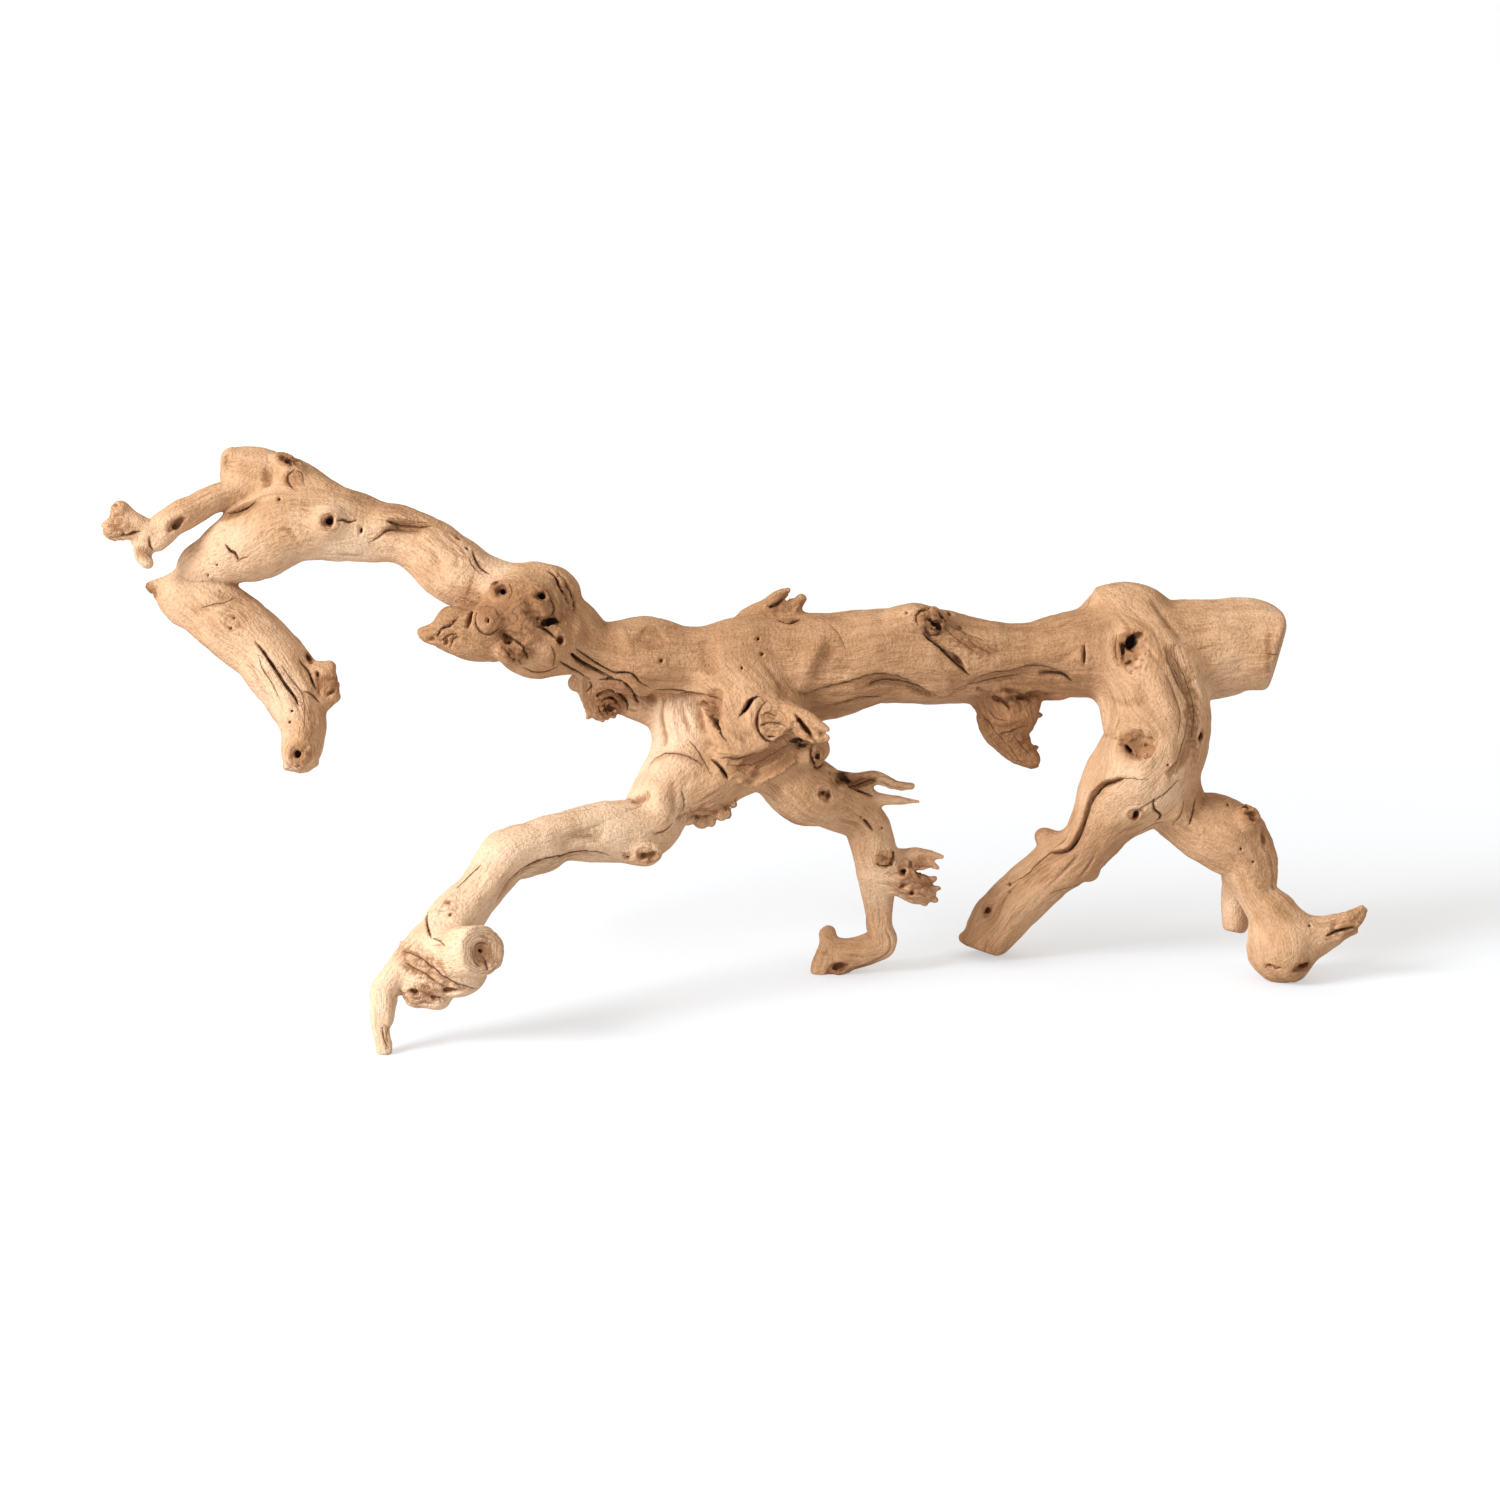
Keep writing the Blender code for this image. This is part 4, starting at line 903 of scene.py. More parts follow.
# Ledges: the places they run through, how far the step fades (positive: the lower wood lies to the
# left of the way the line runs, seen from outside), and how high the step is.
LEDGES = {
    "column_top": [[(-16.8, 28.8), (-27, 31.8), (-39, 33), (-51, 33.6), (-58.8, 34.2)], 14, 4],
    "trunk_low": [
        [
            (193.2, 44.4), (180, 49.2), (171, 51), (157.2, 47.4), (144, 45), (133.2, 39.6),
            (124.8, 35.4), (115.8, 31.8), (108, 34.8), (97.2, 39.6), (88.2, 43.2), (78, 45),
            (67.2, 43.2), (55.2, 39.6), (42, 36), (31.8, 33),
        ],
        9, 3.4,
    ],
    "front_low": [
        [
            (-83.4, -63), (-91.8, -61.2), (-105, -61.2), (-115.2, -63.6), (-125.4, -66.6),
            (-133.8, -70.8), (-141, -76.2), (-147.6, -83.4), (-151.8, -90.6),
        ],
        6, 2.2,
    ],
    "foot_low": [
        [(-208.8, -118.8), (-198, -124.8), (-187.2, -132.6), (-176.4, -139.8), (-163.2, -143.4)],
        -6, 1.8,
    ],
    "foot_low_2": [[(-207, -127.2), (-195.6, -133.8), (-186, -140.4), (-176.4, -145.2)], -5, 1.2],
    "recess_band": [[(-16.2, -4.2), (-4.8, -4.8), (7.2, -1.2), (18, 6), (25.8, 13.8)], -7, 4],
    "hind_big": [
        [
            (240, -17.4), (223.8, -16.8), (212.4, -19.8), (204.6, -27.6), (201, -37.2),
            (198, -46.8), (194.4, -54.6), (189.6, -60), (180.6, -61.2), (175.2, -66),
            (168.6, -72.6), (161.4, -77.4), (153.6, -80.4),
        ],
        10, 1.6,
    ],
    "front_top": [
        [(-61.8, -10.8), (-56.4, -5.4), (-46.8, -1.8), (-36, -4.2), (-28.2, -9)],
        -5, -1.6,
    ],
    "hind_strap": [
        [
            (249.6, 64.2), (251.4, 54), (256.8, 42), (264, 30), (263.4, 16.8), (260.4, 3),
            (256.8, -7.2), (249, -14.4),
        ],
        6, 2.2,
    ],
    "neck_fold": [[(-217.2, 138), (-207.6, 137.4), (-198, 137.4), (-189.6, 135.6)], -4, 1.4],
    "crater_flake": [[(104.4, 71.4), (112.8, 64.8), (120, 57.6), (129.6, 48)], 5, 1.4],
    "stub_step": [[(146.4, 7.8), (152.4, 9), (159.6, 11.4), (166.8, 14.4)], -5, 1.8],
}
FAR_LEDGES = {
    "far_trunk": [[(198, 42), (168, 46.8), (135, 42), (102, 36), (72, 39.6), (42, 34.8)], -9, 2.2],
    "far_hind": [[(270, 54), (264, 30), (258, 6), (246, -15)], 8, 1.8],
    "far_neck": [[(-162, 108), (-186, 120), (-210, 126), (-234, 124.2)], 6, 1.4],
}

# Ridges and, with a negative height, grooves: the places, the half-width and the height.
RIDGES = {
    "shoulder_strap_1": [[(-11.4, 36), (-15, 22.8), (-11.4, 9.6), (0, 1.2), (12, 1.8)], 6.5, 2.4],
    "shoulder_strap_2": [[(-41.4, 31.8), (-33.6, 16.8), (-22.8, 3), (-9, -9), (-1.8, -18)], 5, 2.2],
    "shoulder_strap_3": [[(6.6, 31.2), (1.2, 21), (-1.8, 9)], 4, 1.8],
    "thin_ridge": [[(-7.2, -17.4), (0, -21.6), (10.8, -16.2), (20.4, -9.6), (27, -3.6)], 1.4, 3.4],
    "thin_ridge_2": [[(-1.2, -12.6), (9.6, -9.6), (19.2, -5.4)], 1.2, 1.8],
    "column_flute": [[(-53.4, 30), (-53.4, 18), (-51.6, 3.6)], 2, -1.5],
    "column_flute_2": [[(-41.4, 30), (-39.6, 20.4), (-34.2, 7.8)], 2, -1.4],
    "column_rib": [[(-47.4, 30), (-46.8, 18), (-43.8, 4.8)], 2.2, 1.8],
    "burl_ear_rib": [[(-143.4, 65.4), (-139.8, 61.2), (-136.8, 54)], 1.6, 1.6],
    "burl_fold": [[(-141, 90), (-135, 81), (-132, 69), (-138, 60)], 5, 2.5],
    "burl_fold_2": [[(-105, 84), (-103.2, 72), (-108, 61.2)], 3, 1.5],
    "burl_groove": [[(-133.2, 91.8), (-130.2, 82.8), (-126, 76.8)], 3, -2.6],
    "burl_groove_2": [[(-150, 72), (-146.4, 66), (-148.2, 60)], 2.5, -2.2],
    "trunk_scoop": [[(-66, 70.8), (-58.8, 67.2), (-51.6, 69.6)], 6, -2.8],
    "trunk_fold": [[(-79.8, 75.6), (-73.8, 66), (-70.2, 57)], 2.5, 1.2],
    "trunk_scoop_2": [[(-27, 66), (-24.6, 54), (-22.8, 44.4)], 5, -2.3],
    "trunk_rib": [[(-99, 66), (-84, 57), (-66, 49.2), (-48, 44.4)], 4, 1.2],
    "trunk_rib_2": [[(72, 60), (84, 66), (93, 75)], 6, 1.2],
    "trunk_scoop_3": [[(48, 60), (54, 51), (60, 46.8)], 6, -1.2],
    "trunk_hollow": [[(150, 75), (168, 73.2), (183, 75)], 6, -1.2],
    "flake_rib": [[(123, 66), (135, 61.2), (148.8, 60)], 4, 1],
    "hind_rib": [[(237, 90), (246, 75), (255, 60)], 4, 1.4],
    "hind_groove": [[(240, 91.2), (249, 78), (259.2, 66)], 2.5, -1.2],
    "hind_rib_2": [[(240, 48), (249, 30), (253.2, 9), (249, -6)], 5, 1.2],
    "hind_wrinkle": [[(216, 30), (228, 27.6), (241.2, 30)], 3, -0.9],
    "front_wrinkle": [[(-70.8, -30), (-65.4, -29.4), (-60, -25.8)], 3, -2],
    "front_rib": [[(-60, -15), (-54, -30), (-51.6, -45)], 4, 1],
    "front_side_rib": [[(-46.8, -15), (-45.6, -30), (-46.2, -42)], 2.5, -1],
    "front_scoop": [[(-114, -54), (-99, -51), (-87, -52.8)], 5, -1],
    "neck_scoop": [[(-213, 133.8), (-204, 133.8), (-195.6, 133.8)], 3.5, -1.8],
    "neck_wrinkle_1": [[(-190.8, 128.4), (-181.2, 123.6), (-175.2, 116.4), (-177, 108)], 1.8, -1],
    "neck_wrinkle_2": [[(-183.6, 129.6), (-174, 122.4), (-169.8, 114)], 1.6, -0.9],
    "neck_wrinkle_3": [[(-198, 123), (-190.8, 118.8), (-186, 110.4)], 1.8, -0.7],
    "neck_bulge": [[(-186, 108), (-177, 102), (-168, 98.4)], 7, 1.8],
    "head_scoop": [[(-276, 150), (-264, 147), (-252, 150)], 5, -0.8],
    "head_wrinkle": [[(-282, 133.2), (-276, 131.4), (-271.2, 125.4)], 2, -1.2],
    "twig_rib": [[(-354, 138), (-339, 145.2), (-321, 153), (-303, 159)], 2.2, 0.9],
    "twig_groove": [[(-348, 142.8), (-333, 150), (-315, 157.8)], 1.8, -0.9],
    "head_dent": [[(-291.6, 169.2), (-289.2, 164.4), (-289.8, 158.4)], 2.5, -1.8],
    "drooping_wrinkle_1": [[(-333, 82.8), (-324, 86.4), (-313.2, 88.8)], 2.2, -1],
    "drooping_wrinkle_2": [[(-318, 79.8), (-313.2, 83.4), (-308.4, 86.4)], 2, -1],
    "drooping_rib": [[(-272.4, 49.2), (-266.4, 37.2), (-264.6, 21), (-265.2, 6)], 2.4, 1],
    "drooping_scoop": [[(-306, 60), (-297, 45), (-288, 30)], 4, -0.8],
    "left_leg_rib": [[(207, -30), (204, -45), (198, -60), (180, -75)], 5, 1.2],
    "left_leg_scoop": [[(168, -81), (180, -75), (189, -69)], 5, -1],
    "right_leg_band": [[(258, -25.2), (256.8, -34.8), (250.8, -44.4)], 3, 1],
    "foot_rib": [[(-207, -121.8), (-192, -133.8), (-174, -144)], 2.5, 1],
    "foot_rib_2": [[(-211.2, -126), (-199.2, -141), (-186, -146.4)], 2.2, 0.9],
    "middle_rib": [[(30, -15), (39, -30), (52.8, -40.8)], 5, 0.9],
    "column_flute_3": [[(-33, 27.6), (-30.6, 19.2), (-25.8, 9)], 2, -1],
    "trunk_step": [[(42.6, 68.4), (38.4, 58.8), (34.2, 48), (30, 34.8)], 4.5, 2],
    "trunk_step_low": [[(49.8, 63.6), (44.4, 52.8), (39.6, 40.8)], 5, -1.8],
    "stub_strand": [[(151.2, 33.6), (156.6, 29.4), (162.6, 24)], 1.6, 2],
    "left_leg_fold": [
        [(187.2, -58.2), (179.4, -62.4), (171.6, -69.6), (163.2, -76.8), (156, -81)],
        3, 1.5,
    ],
    "burl_ear_lobe": [[(-150.6, 65.4), (-148.2, 59.4), (-143.4, 54)], 2.6, 2],
    "stub_roll": [[(140.4, 20.4), (149.4, 16.8), (159.6, 18), (170.4, 22.8)], 3, 2.2],
    "stub_roll_low": [[(144, 13.8), (152.4, 13.2), (162, 15.6)], 1.8, -1.8],
    "stub_strip": [[(133.2, 27.6), (137.4, 18.6), (144, 9.6), (150.6, 2.4)], 1.8, 1.6],
}
FAR_RIDGES = {
    "far_strap_1": [[(-30, 36), (-18, 21), (-6, 3), (6, -12)], 6, 2],
    "far_strap_2": [[(6, 36), (12, 18), (9, 0)], 6, 1.8],
    "far_groove_1": [[(-12, 36), (-3, 21), (3, 3)], 3, -1.6],
    "far_scoop_1": [[(48, 66), (60, 57), (78, 54)], 7, -1.8],
    "far_scoop_2": [[(156, 72), (174, 66), (192, 69)], 7, -1.6],
    "far_rib_1": [[(108, 66), (126, 57), (150, 54)], 5, 1.4],
    "far_rib_2": [[(222, 78), (234, 54), (240, 30), (234, 6)], 6, 1.6],
    "far_rib_3": [[(-210, 135), (-186, 123), (-162, 105)], 5, 1.4],
    "far_burl": [[(-144, 90), (-132, 72), (-114, 66)], 6, 1.8],
}

# Flat-bottomed recesses: the places, the half-width and the depth.
BANDS = {
    "shoulder_recess": [[(-17.4, 36), (-21.6, 28.8), (-22.2, 20.4), (-19.8, 14.4)], 4.2, 3],
    "recess_band": [[(-13.2, -7.8), (-1.2, -8.4), (10.8, -4.2), (21.6, 2.4), (28.2, 7.2)], 4.6, 4],
    "hind_channel": [
        [
            (251.4, 62.4), (256.8, 52.8), (264, 40.8), (267.6, 28.8), (267.6, 16.8), (265.8, 4.8),
            (260.4, -7.2), (250.8, -16.2),
        ],
        3.6, 1.7,
    ],
    "trunk_patch": [[(18, 42), (21, 36), (19.8, 30)], 3.6, 0.8],
    "neck_recess": [[(-219.6, 129.6), (-210, 133.8), (-200.4, 134.4), (-192, 133.8)], 2.6, 1],
    "trunk_low": [[(63, 36), (75, 40.8), (87, 39.6), (99, 34.8), (111, 30.6)], 3.4, 0.8],
    "trunk_low_2": [
        [(136.8, 38.4), (150, 42.6), (162, 45.6), (177, 46.8), (187.2, 43.8)],
        3.4, 0.8,
    ],
    "recess_band_2": [[(1.2, -17.4), (8.4, -13.2), (18, -7.2), (24.6, -0.6)], 2.6, 3.4],
    "spike_recess": [[(52.8, -17.4), (61.2, -18.6), (69.6, -18.6), (76.8, -19.2)], 3, 2.2],
}

# Browner patches: the middle, the half-widths, the strength, how far it is turned, in degrees, and how high
# its wrinkles are, where it has any. Some are the wood's own brown, as on the burl and the hanging stub;
# those in clefts, gaps and recesses and under flaps and splinters are painted shade.
SHADES = {
    "burl": [(-138, 80.4), (24, 20), 0.48, 30, 0.4],
    "burl_low": [(-141, 58.8), (14.4, 7.2), 0.42, 10, 0.8],
    "burl_ear": [(-142.8, 61.2), (8.4, 6.6), 0.5, -30, 0.6],
    "burl_cavity": [(-121.2, 78), (7.8, 6.6), 0.38, 30],
    "burl_cup": [(-151.2, 96), (6.4, 6), 0.5],
    "neck_recess": [(-208.8, 133.2), (18, 5.4), 0.3, 5],
    "neck_top": [(-219, 147), (36, 8.4), 0.22, -20],
    "trunk_scoop": [(-60, 69.6), (12, 5.4), 0.28, -5],
    "trunk_left": [(-78, 54), (24, 10.8), 0.1, -15],
    "trunk_patch": [(19.8, 36), (6, 8.4), 0.3],
    "trunk_low_left": [(72, 34.8), (36, 5.4), 0.22, 3],
    "trunk_low_right": [(165, 42), (27.6, 5.4), 0.26, 5],
    "trunk_dots": [(57, 49.2), (15.6, 4.8), 0.12, 3],
    "crater": [(111, 78), (11.4, 8.6), 0.42, -30, 1.4],
    "flake": [(136.8, 61.8), (17, 6), 0.26, -22, 0.5],
    "hanging_top": [(159, 30.6), (20.4, 5.4), 0.5, 0, 0.8],
    "shoulder_recess": [(-21.6, 24), (4.8, 12), 0.46, 10, 0.5],
    "under_splinter": [(30, 3), (9.6, 4.8), 0.55],
    "recess_band": [(6, -6), (24, 5.4), 0.46, 22],
    "ring_burl": [(13.2, 16.8), (10.8, 10.2), 0.14, 0, 0.6],
    "corner_knot": [(40.2, -3), (4.8, 6.6), 0.4, 0, 1],
    "front_crook": [(-65.4, -30), (5.4, 2.4), 0.42, 15],
    "front_hollow": [(-61.2, -63), (7.8, 4.2), 0.3, 5],
    "front_under": [(-126, -73.2), (36, 4.2), 0.2, 30],
    "front_side": [(-42, -24), (12, 13.2), 0.1],
    "middle_root": [(60, -18), (13.2, 4.2), 0.38, 5],
    "middle_knot": [(81, -65.4), (6.6, 5.4), 0.52, 0, 0.8],
    "cluster": [(99, -78), (15.6, 13), 0.26, 10, 1],
    "cluster_gap": [(102.6, -66.6), (4.8, 3.6), 0.4, 30],
    "middle_foot": [(52.8, -131.4), (8, 5), 0.5, 30, 0.8],
    "middle_leg_root": [(15, -24), (8.4, 4.8), 0.3, -45],
    "hind_hole": [(228, 61.8), (8.4, 11.4), 0.34, -5, 0.4],
    "hind_pit": [(232.2, 1.8), (10.2, 9), 0.36],
    "hind_channel": [(265.2, 22.8), (5.4, 36), 0.24, 5, 0.8],
    "hind_low": [(240, -36), (12, 7.2), 0.14, 10],
    "right_leg_hole": [(300.6, -38.4), (8.4, 5.4), 0.46, -35, 1.3],
    "foot_hole": [(331.8, -130.2), (7.8, 4.2), 0.4, 10],
    "foot_hole_2": [(312.6, -130.2), (5.4, 2.4), 0.28],
    "toe": [(358.2, -105), (14, 9), 0.24, 22, 0.9],
    "left_leg_end": [(141, -112.8), (14.4, 6), 0.14, -10],
    "flare": [(-254.4, 40.2), (6.6, 9), 0.38, 70, 1.1],
    "drooping_strip": [(-265.2, 18), (3, 18), 0.28, 3],
    "drooping_bend": [(-309, 91.2), (15.6, 4.8), 0.2],
    "drooping_end": [(-270, -4.2), (9.6, 7.2), 0.24, 60, 1.2],
    "drooping_splinter": [(-360, 94.8), (5.4, 6), 0.46, 20, 1.6],
    "head_top": [(-276.6, 174), (11.4, 4.8), 0.36, -30, 1],
    "head_knot": [(-274.8, 162.6), (7.2, 6.6), 0.26],
    "head_dent": [(-290.4, 163.8), (3.6, 7.2), 0.3, 0, 0.6],
    "head_corner": [(-336, 123), (8.4, 6), 0.2, 40],
    "head_left_end": [(-314.4, 172.8), (3, 5.4), 0.26, 0, 0.6],
    "twig_root": [(-306.6, 143.4), (13, 3.4), 0.7, 22],
    "twig_ends": [(-382.8, 132), (12, 16), 0.12, 40, 1],
    "twig_prong": [(-364.8, 118.2), (6, 4.8), 0.36, -30],
    "rear_stub": [(-85.8, 29.4), (18, 11), 0.36, 20, 1.2],
    "splinter_gap": [(21, 87), (9.6, 3.6), 0.34, 20],
    "splinter_crease": [(24, 77.4), (8.4, 2.4), 0.5],
    "foot_rough": [(-195, -146.4), (15.6, 7.2), 0.32, 10, 1.2],
    "foot_band": [(-195, -129.6), (21.6, 9), 0.28, -32, 0.4],
    "stub_ring": [(-160.2, -121.8), (6.6, 6.8), 0.3, 0, 0.6],
    "end_strip": [(310.8, 60), (2.4, 15), 0.36],
    "stub_body": [(154.8, 14.4), (24, 15), 0.2, -52, 0.8],
    "burl_right": [(-112.2, 88.8), (17, 8), 0.2, 100, 0.7],
    "burl_leaf": [(-181.8, 69.6), (14, 9), 0.16, 25, 0.6],
    "crater_bark": [(124.8, 68.4), (11, 6), 0.26, -40, 1],
    "right_leg_slit": [(308.4, -52.8), (3, 7), 0.3, 4],
    "stub_rim": [(-156.6, -121.8), (13, 14), 0.05, 0, 0.4],
    "toe_tip": [(-217.2, -174), (12, 4.8), 0.1, 100, 0.6],
    "middle_foot_end": [(43.2, -124.8), (10, 12), 0.06, 60, 0.5],
    "frills": [(-28.2, -37.2), (19, 6), 0.18, 8, 0.6],
    "flange": [(-30, -27), (20, 11), 0.08, -20],
    "spike_recess": [(64.8, -18), (14, 3.6), 0.36, -3, 0.6],
    "spikes": [(78, -20.4), (20, 8), 0.05, -5, 0.5],
    "top_splinters": [(19.2, 87.6), (15, 8), 0.3, 25, 0.8],
    "splinter": [(33, 11.4), (17, 8), 0.08, -35, 0.7],
    "burl_dark_1": [(-125.4, 91.8), (9, 6.6), 0.5, -30, 0.5],
    "burl_dark_2": [(-120.6, 78), (11, 5.4), 0.56, 15, 0.6],
    "burl_dark_3": [(-135, 90), (3.6, 9), 0.4, 12],
    "stub_tip": [(163.2, 1.2), (14, 7), 0.3, -60, 0.7],
    "recess_band_2": [(15.6, -10.8), (15, 3.4), 0.42, 30],
    "trunk_valley": [(-26.4, 53.4), (4.2, 13), 0.16, -4],
    "foot_knot": [(-180.6, -94.8), (8, 5.4), 0.1, 0, 0.8],
    "stub_under_flap": [(168, 31.8), (17, 4), 0.5, -2],
    "burl_dark_4": [(-158.4, 82.8), (5, 9), 0.44, -10],
}
FAR_SHADES = {
    "far_burl": [(-132, 81), (24, 18), 0.22],
    "far_shoulder": [(-3, 9), (24, 24), 0.18, 20],
    "far_trunk": [(120, 42), (54, 6), 0.22],
    "far_hind": [(252, 18), (9.6, 30), 0.2, 5],
    "far_head": [(-294, 144), (18, 7.2), 0.24, 20],
    "far_foot": [(327, -120), (14.4, 8.4), 0.24],
}


def reach_of(near):
    """How much smaller a thing is than it looks in the middle plane, because it is nearer."""
    return 1 - near / VIEW_DISTANCE


def spot(across, up, near):
    """The place in millimetres of a point of the main view."""
    reach = reach_of(near)
    back = up * reach * math.sin(VIEW_PITCH) - near * math.cos(VIEW_PITCH)
    rise = up * reach * math.cos(VIEW_PITCH) + near * math.sin(VIEW_PITCH)
    middle_x, middle_y = FOOTPRINT_MIDDLE
    return np.array((across * reach - middle_x, back - middle_y, VIEW_HEIGHT + rise), np.float32)


def unit(vectors):
    """The vectors at unit length."""
    size = np.sqrt((vectors * vectors).sum(-1, keepdims=True))
    return vectors / np.maximum(size, TINY)


def dot(a, b):
    """The product of two arrays of vectors, vector by vector."""
    return np.einsum("...i,...i", a, b)


def way(across, up, near):
    """A direction of the main view as a unit vector."""
    back = up * math.sin(VIEW_PITCH) - near * math.cos(VIEW_PITCH)
    rise = up * math.cos(VIEW_PITCH) + near * math.sin(VIEW_PITCH)
    return unit(np.array((across, back, rise), np.float32))


def noise_tables():
    """A shuffled list of numbers, and as many directions, for the noise."""
    draw = np.random.RandomState(NOISE_SEED)
    order = draw.permutation(NOISE_SIZE).astype(np.int32)
    arrows = unit(draw.normal(size=(NOISE_SIZE, 3))).astype(np.float32)
    return np.concatenate([order, order]), np.ascontiguousarray(arrows.T)


NOISE_ORDER, NOISE_ARROWS = noise_tables()


def eased(t):
    """A share from 0 to 1 that starts and ends softly."""
    return t * t * t * (t * (t * 6 - 15) + 10)


def noise(x, y, z, seed=0):
    """Smooth noise, about -1 to 1, that changes over a distance of about 1."""
    mask = NOISE_SIZE - 1
    floors = [np.floor(v) for v in (x, y, z)]
    parts = [v - low for v, low in zip((x, y, z), floors)]
    cells = [low.astype(np.int32) & mask for low in floors]
    curves = [eased(part) for part in parts]
    total = np.zeros(np.shape(x), np.float32)
    for i in (0, 1):
        first = NOISE_ORDER[((cells[0] + i + seed) & mask)]
        share_x = curves[0] if i else 1 - curves[0]
        for j in (0, 1):
            second = NOISE_ORDER[((first + cells[1] + j) & mask)]
            share_xy = share_x * (curves[1] if j else 1 - curves[1])
            for k in (0, 1):
                third = NOISE_ORDER[((second + cells[2] + k) & mask)]
                slope = NOISE_ARROWS[0][third] * (parts[0] - i)
                slope += NOISE_ARROWS[1][third] * (parts[1] - j)
                slope += NOISE_ARROWS[2][third] * (parts[2] - k)
                total += share_xy * (curves[2] if k else 1 - curves[2]) * slope
    return total * NOISE_GAIN


def noise_at(points, size, seed):
    """Noise of cells of a size in mm, at points."""
    return noise(*np.moveaxis(points / size, -1, 0), seed)


def curve_through(values, times):
    """A smooth curve through the values, read at times where whole numbers are the values."""
    last = len(values) - 1
    i = np.minimum(times.astype(int), last - 1)
    t = times - i
    a, b, c, d = (values[np.clip(i + k, 0, last)] for k in (-1, 0, 1, 2))
    if values.ndim > 1:
        t = t[:, None]
    bend = 2 * a - 5 * b + 4 * c - d
    turn = 3 * b - a - 3 * c + d
    return (b + (t * (c - a) + t * t * bend + t**3 * turn) * 0.5).astype(np.float32)


class Limb:
    """A limb's centre line, closely spaced, with its radii, its lengths and an untwisted frame."""

    def __init__(self, name, stations):
        self.name = name
        spots = np.array([spot(*station[:3]) for station in stations])
        radii = np.array([station[3] * reach_of(station[2]) for station in stations])
        times = np.arange(STEPS * (len(stations) - 1) + 1) / STEPS
        self.centre = curve_through(spots, times)
        self.radius = curve_through(radii, times)
        steps = np.diff(self.centre, axis=0)
        self.length = np.concatenate([[0], np.cumsum(np.linalg.norm(steps, axis=1))]).astype(np.float32)
        self.ahead = unit(np.gradient(self.centre, axis=0))
        self.side = self.untwisted()
        self.other = np.cross(self.ahead, self.side)
        self.blend = BLENDS.get(name, BLEND)
        self.rough = ROUGHNESS.get(name, 1.0)
        self.seed = sum(ord(letter) for letter in name)
        self.low = (self.centre - self.radius[:, None]).min(0)
        self.high = (self.centre + self.radius[:, None]).max(0)

    def untwisted(self):
        """A sideways direction at each place, carried along without turning around the limb."""
        sides = []
        side = np.cross(self.ahead[0], LIMB_FRAME)
        for ahead in self.ahead:
            side = side - ahead * (side @ ahead)
            side = side / np.linalg.norm(side)
            sides.append(side)
        return np.array(sides, np.float32)


WOOD = [Limb(name, stations) for name, stations in LIMBS.items()]


def near_groups(centres, middle, limit):
    """The groups whose centre is within a distance of a point."""
    gap = centres - middle
    return np.nonzero((gap * gap).sum(1) < limit * limit)[0]


def nearest_segments(limb, points, centres, margin):
    """Which groups of points are near the limb, how far they are from it, and where they meet it.

    The result is the groups, the distance to the limb's plain surface, the number of the nearest
    segment of its centre line, and the share of that segment that lies behind the point.
    """
    inside = ((centres > limb.low - margin) & (centres < limb.high + margin)).all(1)
    chosen = np.nonzero(inside)[0]
    if not len(chosen):
        return chosen, None, None, None
    middles = centres[chosen]
    distance = np.full((len(chosen), points.shape[1]), FAR, np.float32)
    segment = np.zeros(distance.shape, np.int16)
    share = np.zeros(distance.shape, np.float32)
    for i in range(len(limb.centre) - 1):
        start = limb.centre[i]
        step = limb.centre[i + 1] - start
        long = float(step @ step)
        thick = limb.radius[i]
        growth = limb.radius[i + 1] - thick
        limit = math.sqrt(long) / 2 + max(thick, thick + growth) + margin
        near = near_groups(middles, start + step / 2, limit)
        if not len(near):
            continue
        gap = points[chosen[near]] - start
        t = np.clip(gap @ step / long, 0, 1)
        gap -= t[..., None] * step
        away = np.sqrt(dot(gap, gap)) - (thick + t * growth)
        old = distance[near]
        closer = away < old
        distance[near] = np.where(closer, away, old)
        segment[near] = np.where(closer, i, segment[near])
        share[near] = np.where(closer, t, share[near])
    found = np.nonzero((distance < FAR).any(1))[0]
    return chosen[found], distance[found], segment[found], share[found]


def limb_coordinates(limb, points, centres, size, reach=REACH):
    """Which groups of points are near the limb, how far they are from it, and where along it.

    points has the shape groups, points, 3. The result is the groups, the distance to the limb's
    plain surface, the length along it, and the two offsets from its centre line.
    """
    chosen, distance, segment, share = nearest_segments(limb, points, centres, size + reach)
    if not len(chosen):
        return chosen, None, None, None, None
    t = share[..., None]
    gap = points[chosen] - (limb.centre[segment] * (1 - t) + limb.centre[segment + 1] * t)
    along = limb.length[segment] * (1 - share) + limb.length[segment + 1] * share
    along += dot(gap, limb.ahead[segment])
    x = dot(gap, limb.side[segment] * (1 - t) + limb.side[segment + 1] * t)
    y = dot(gap, limb.other[segment] * (1 - t) + limb.other[segment + 1] * t)
    return chosen, distance, along, x, y


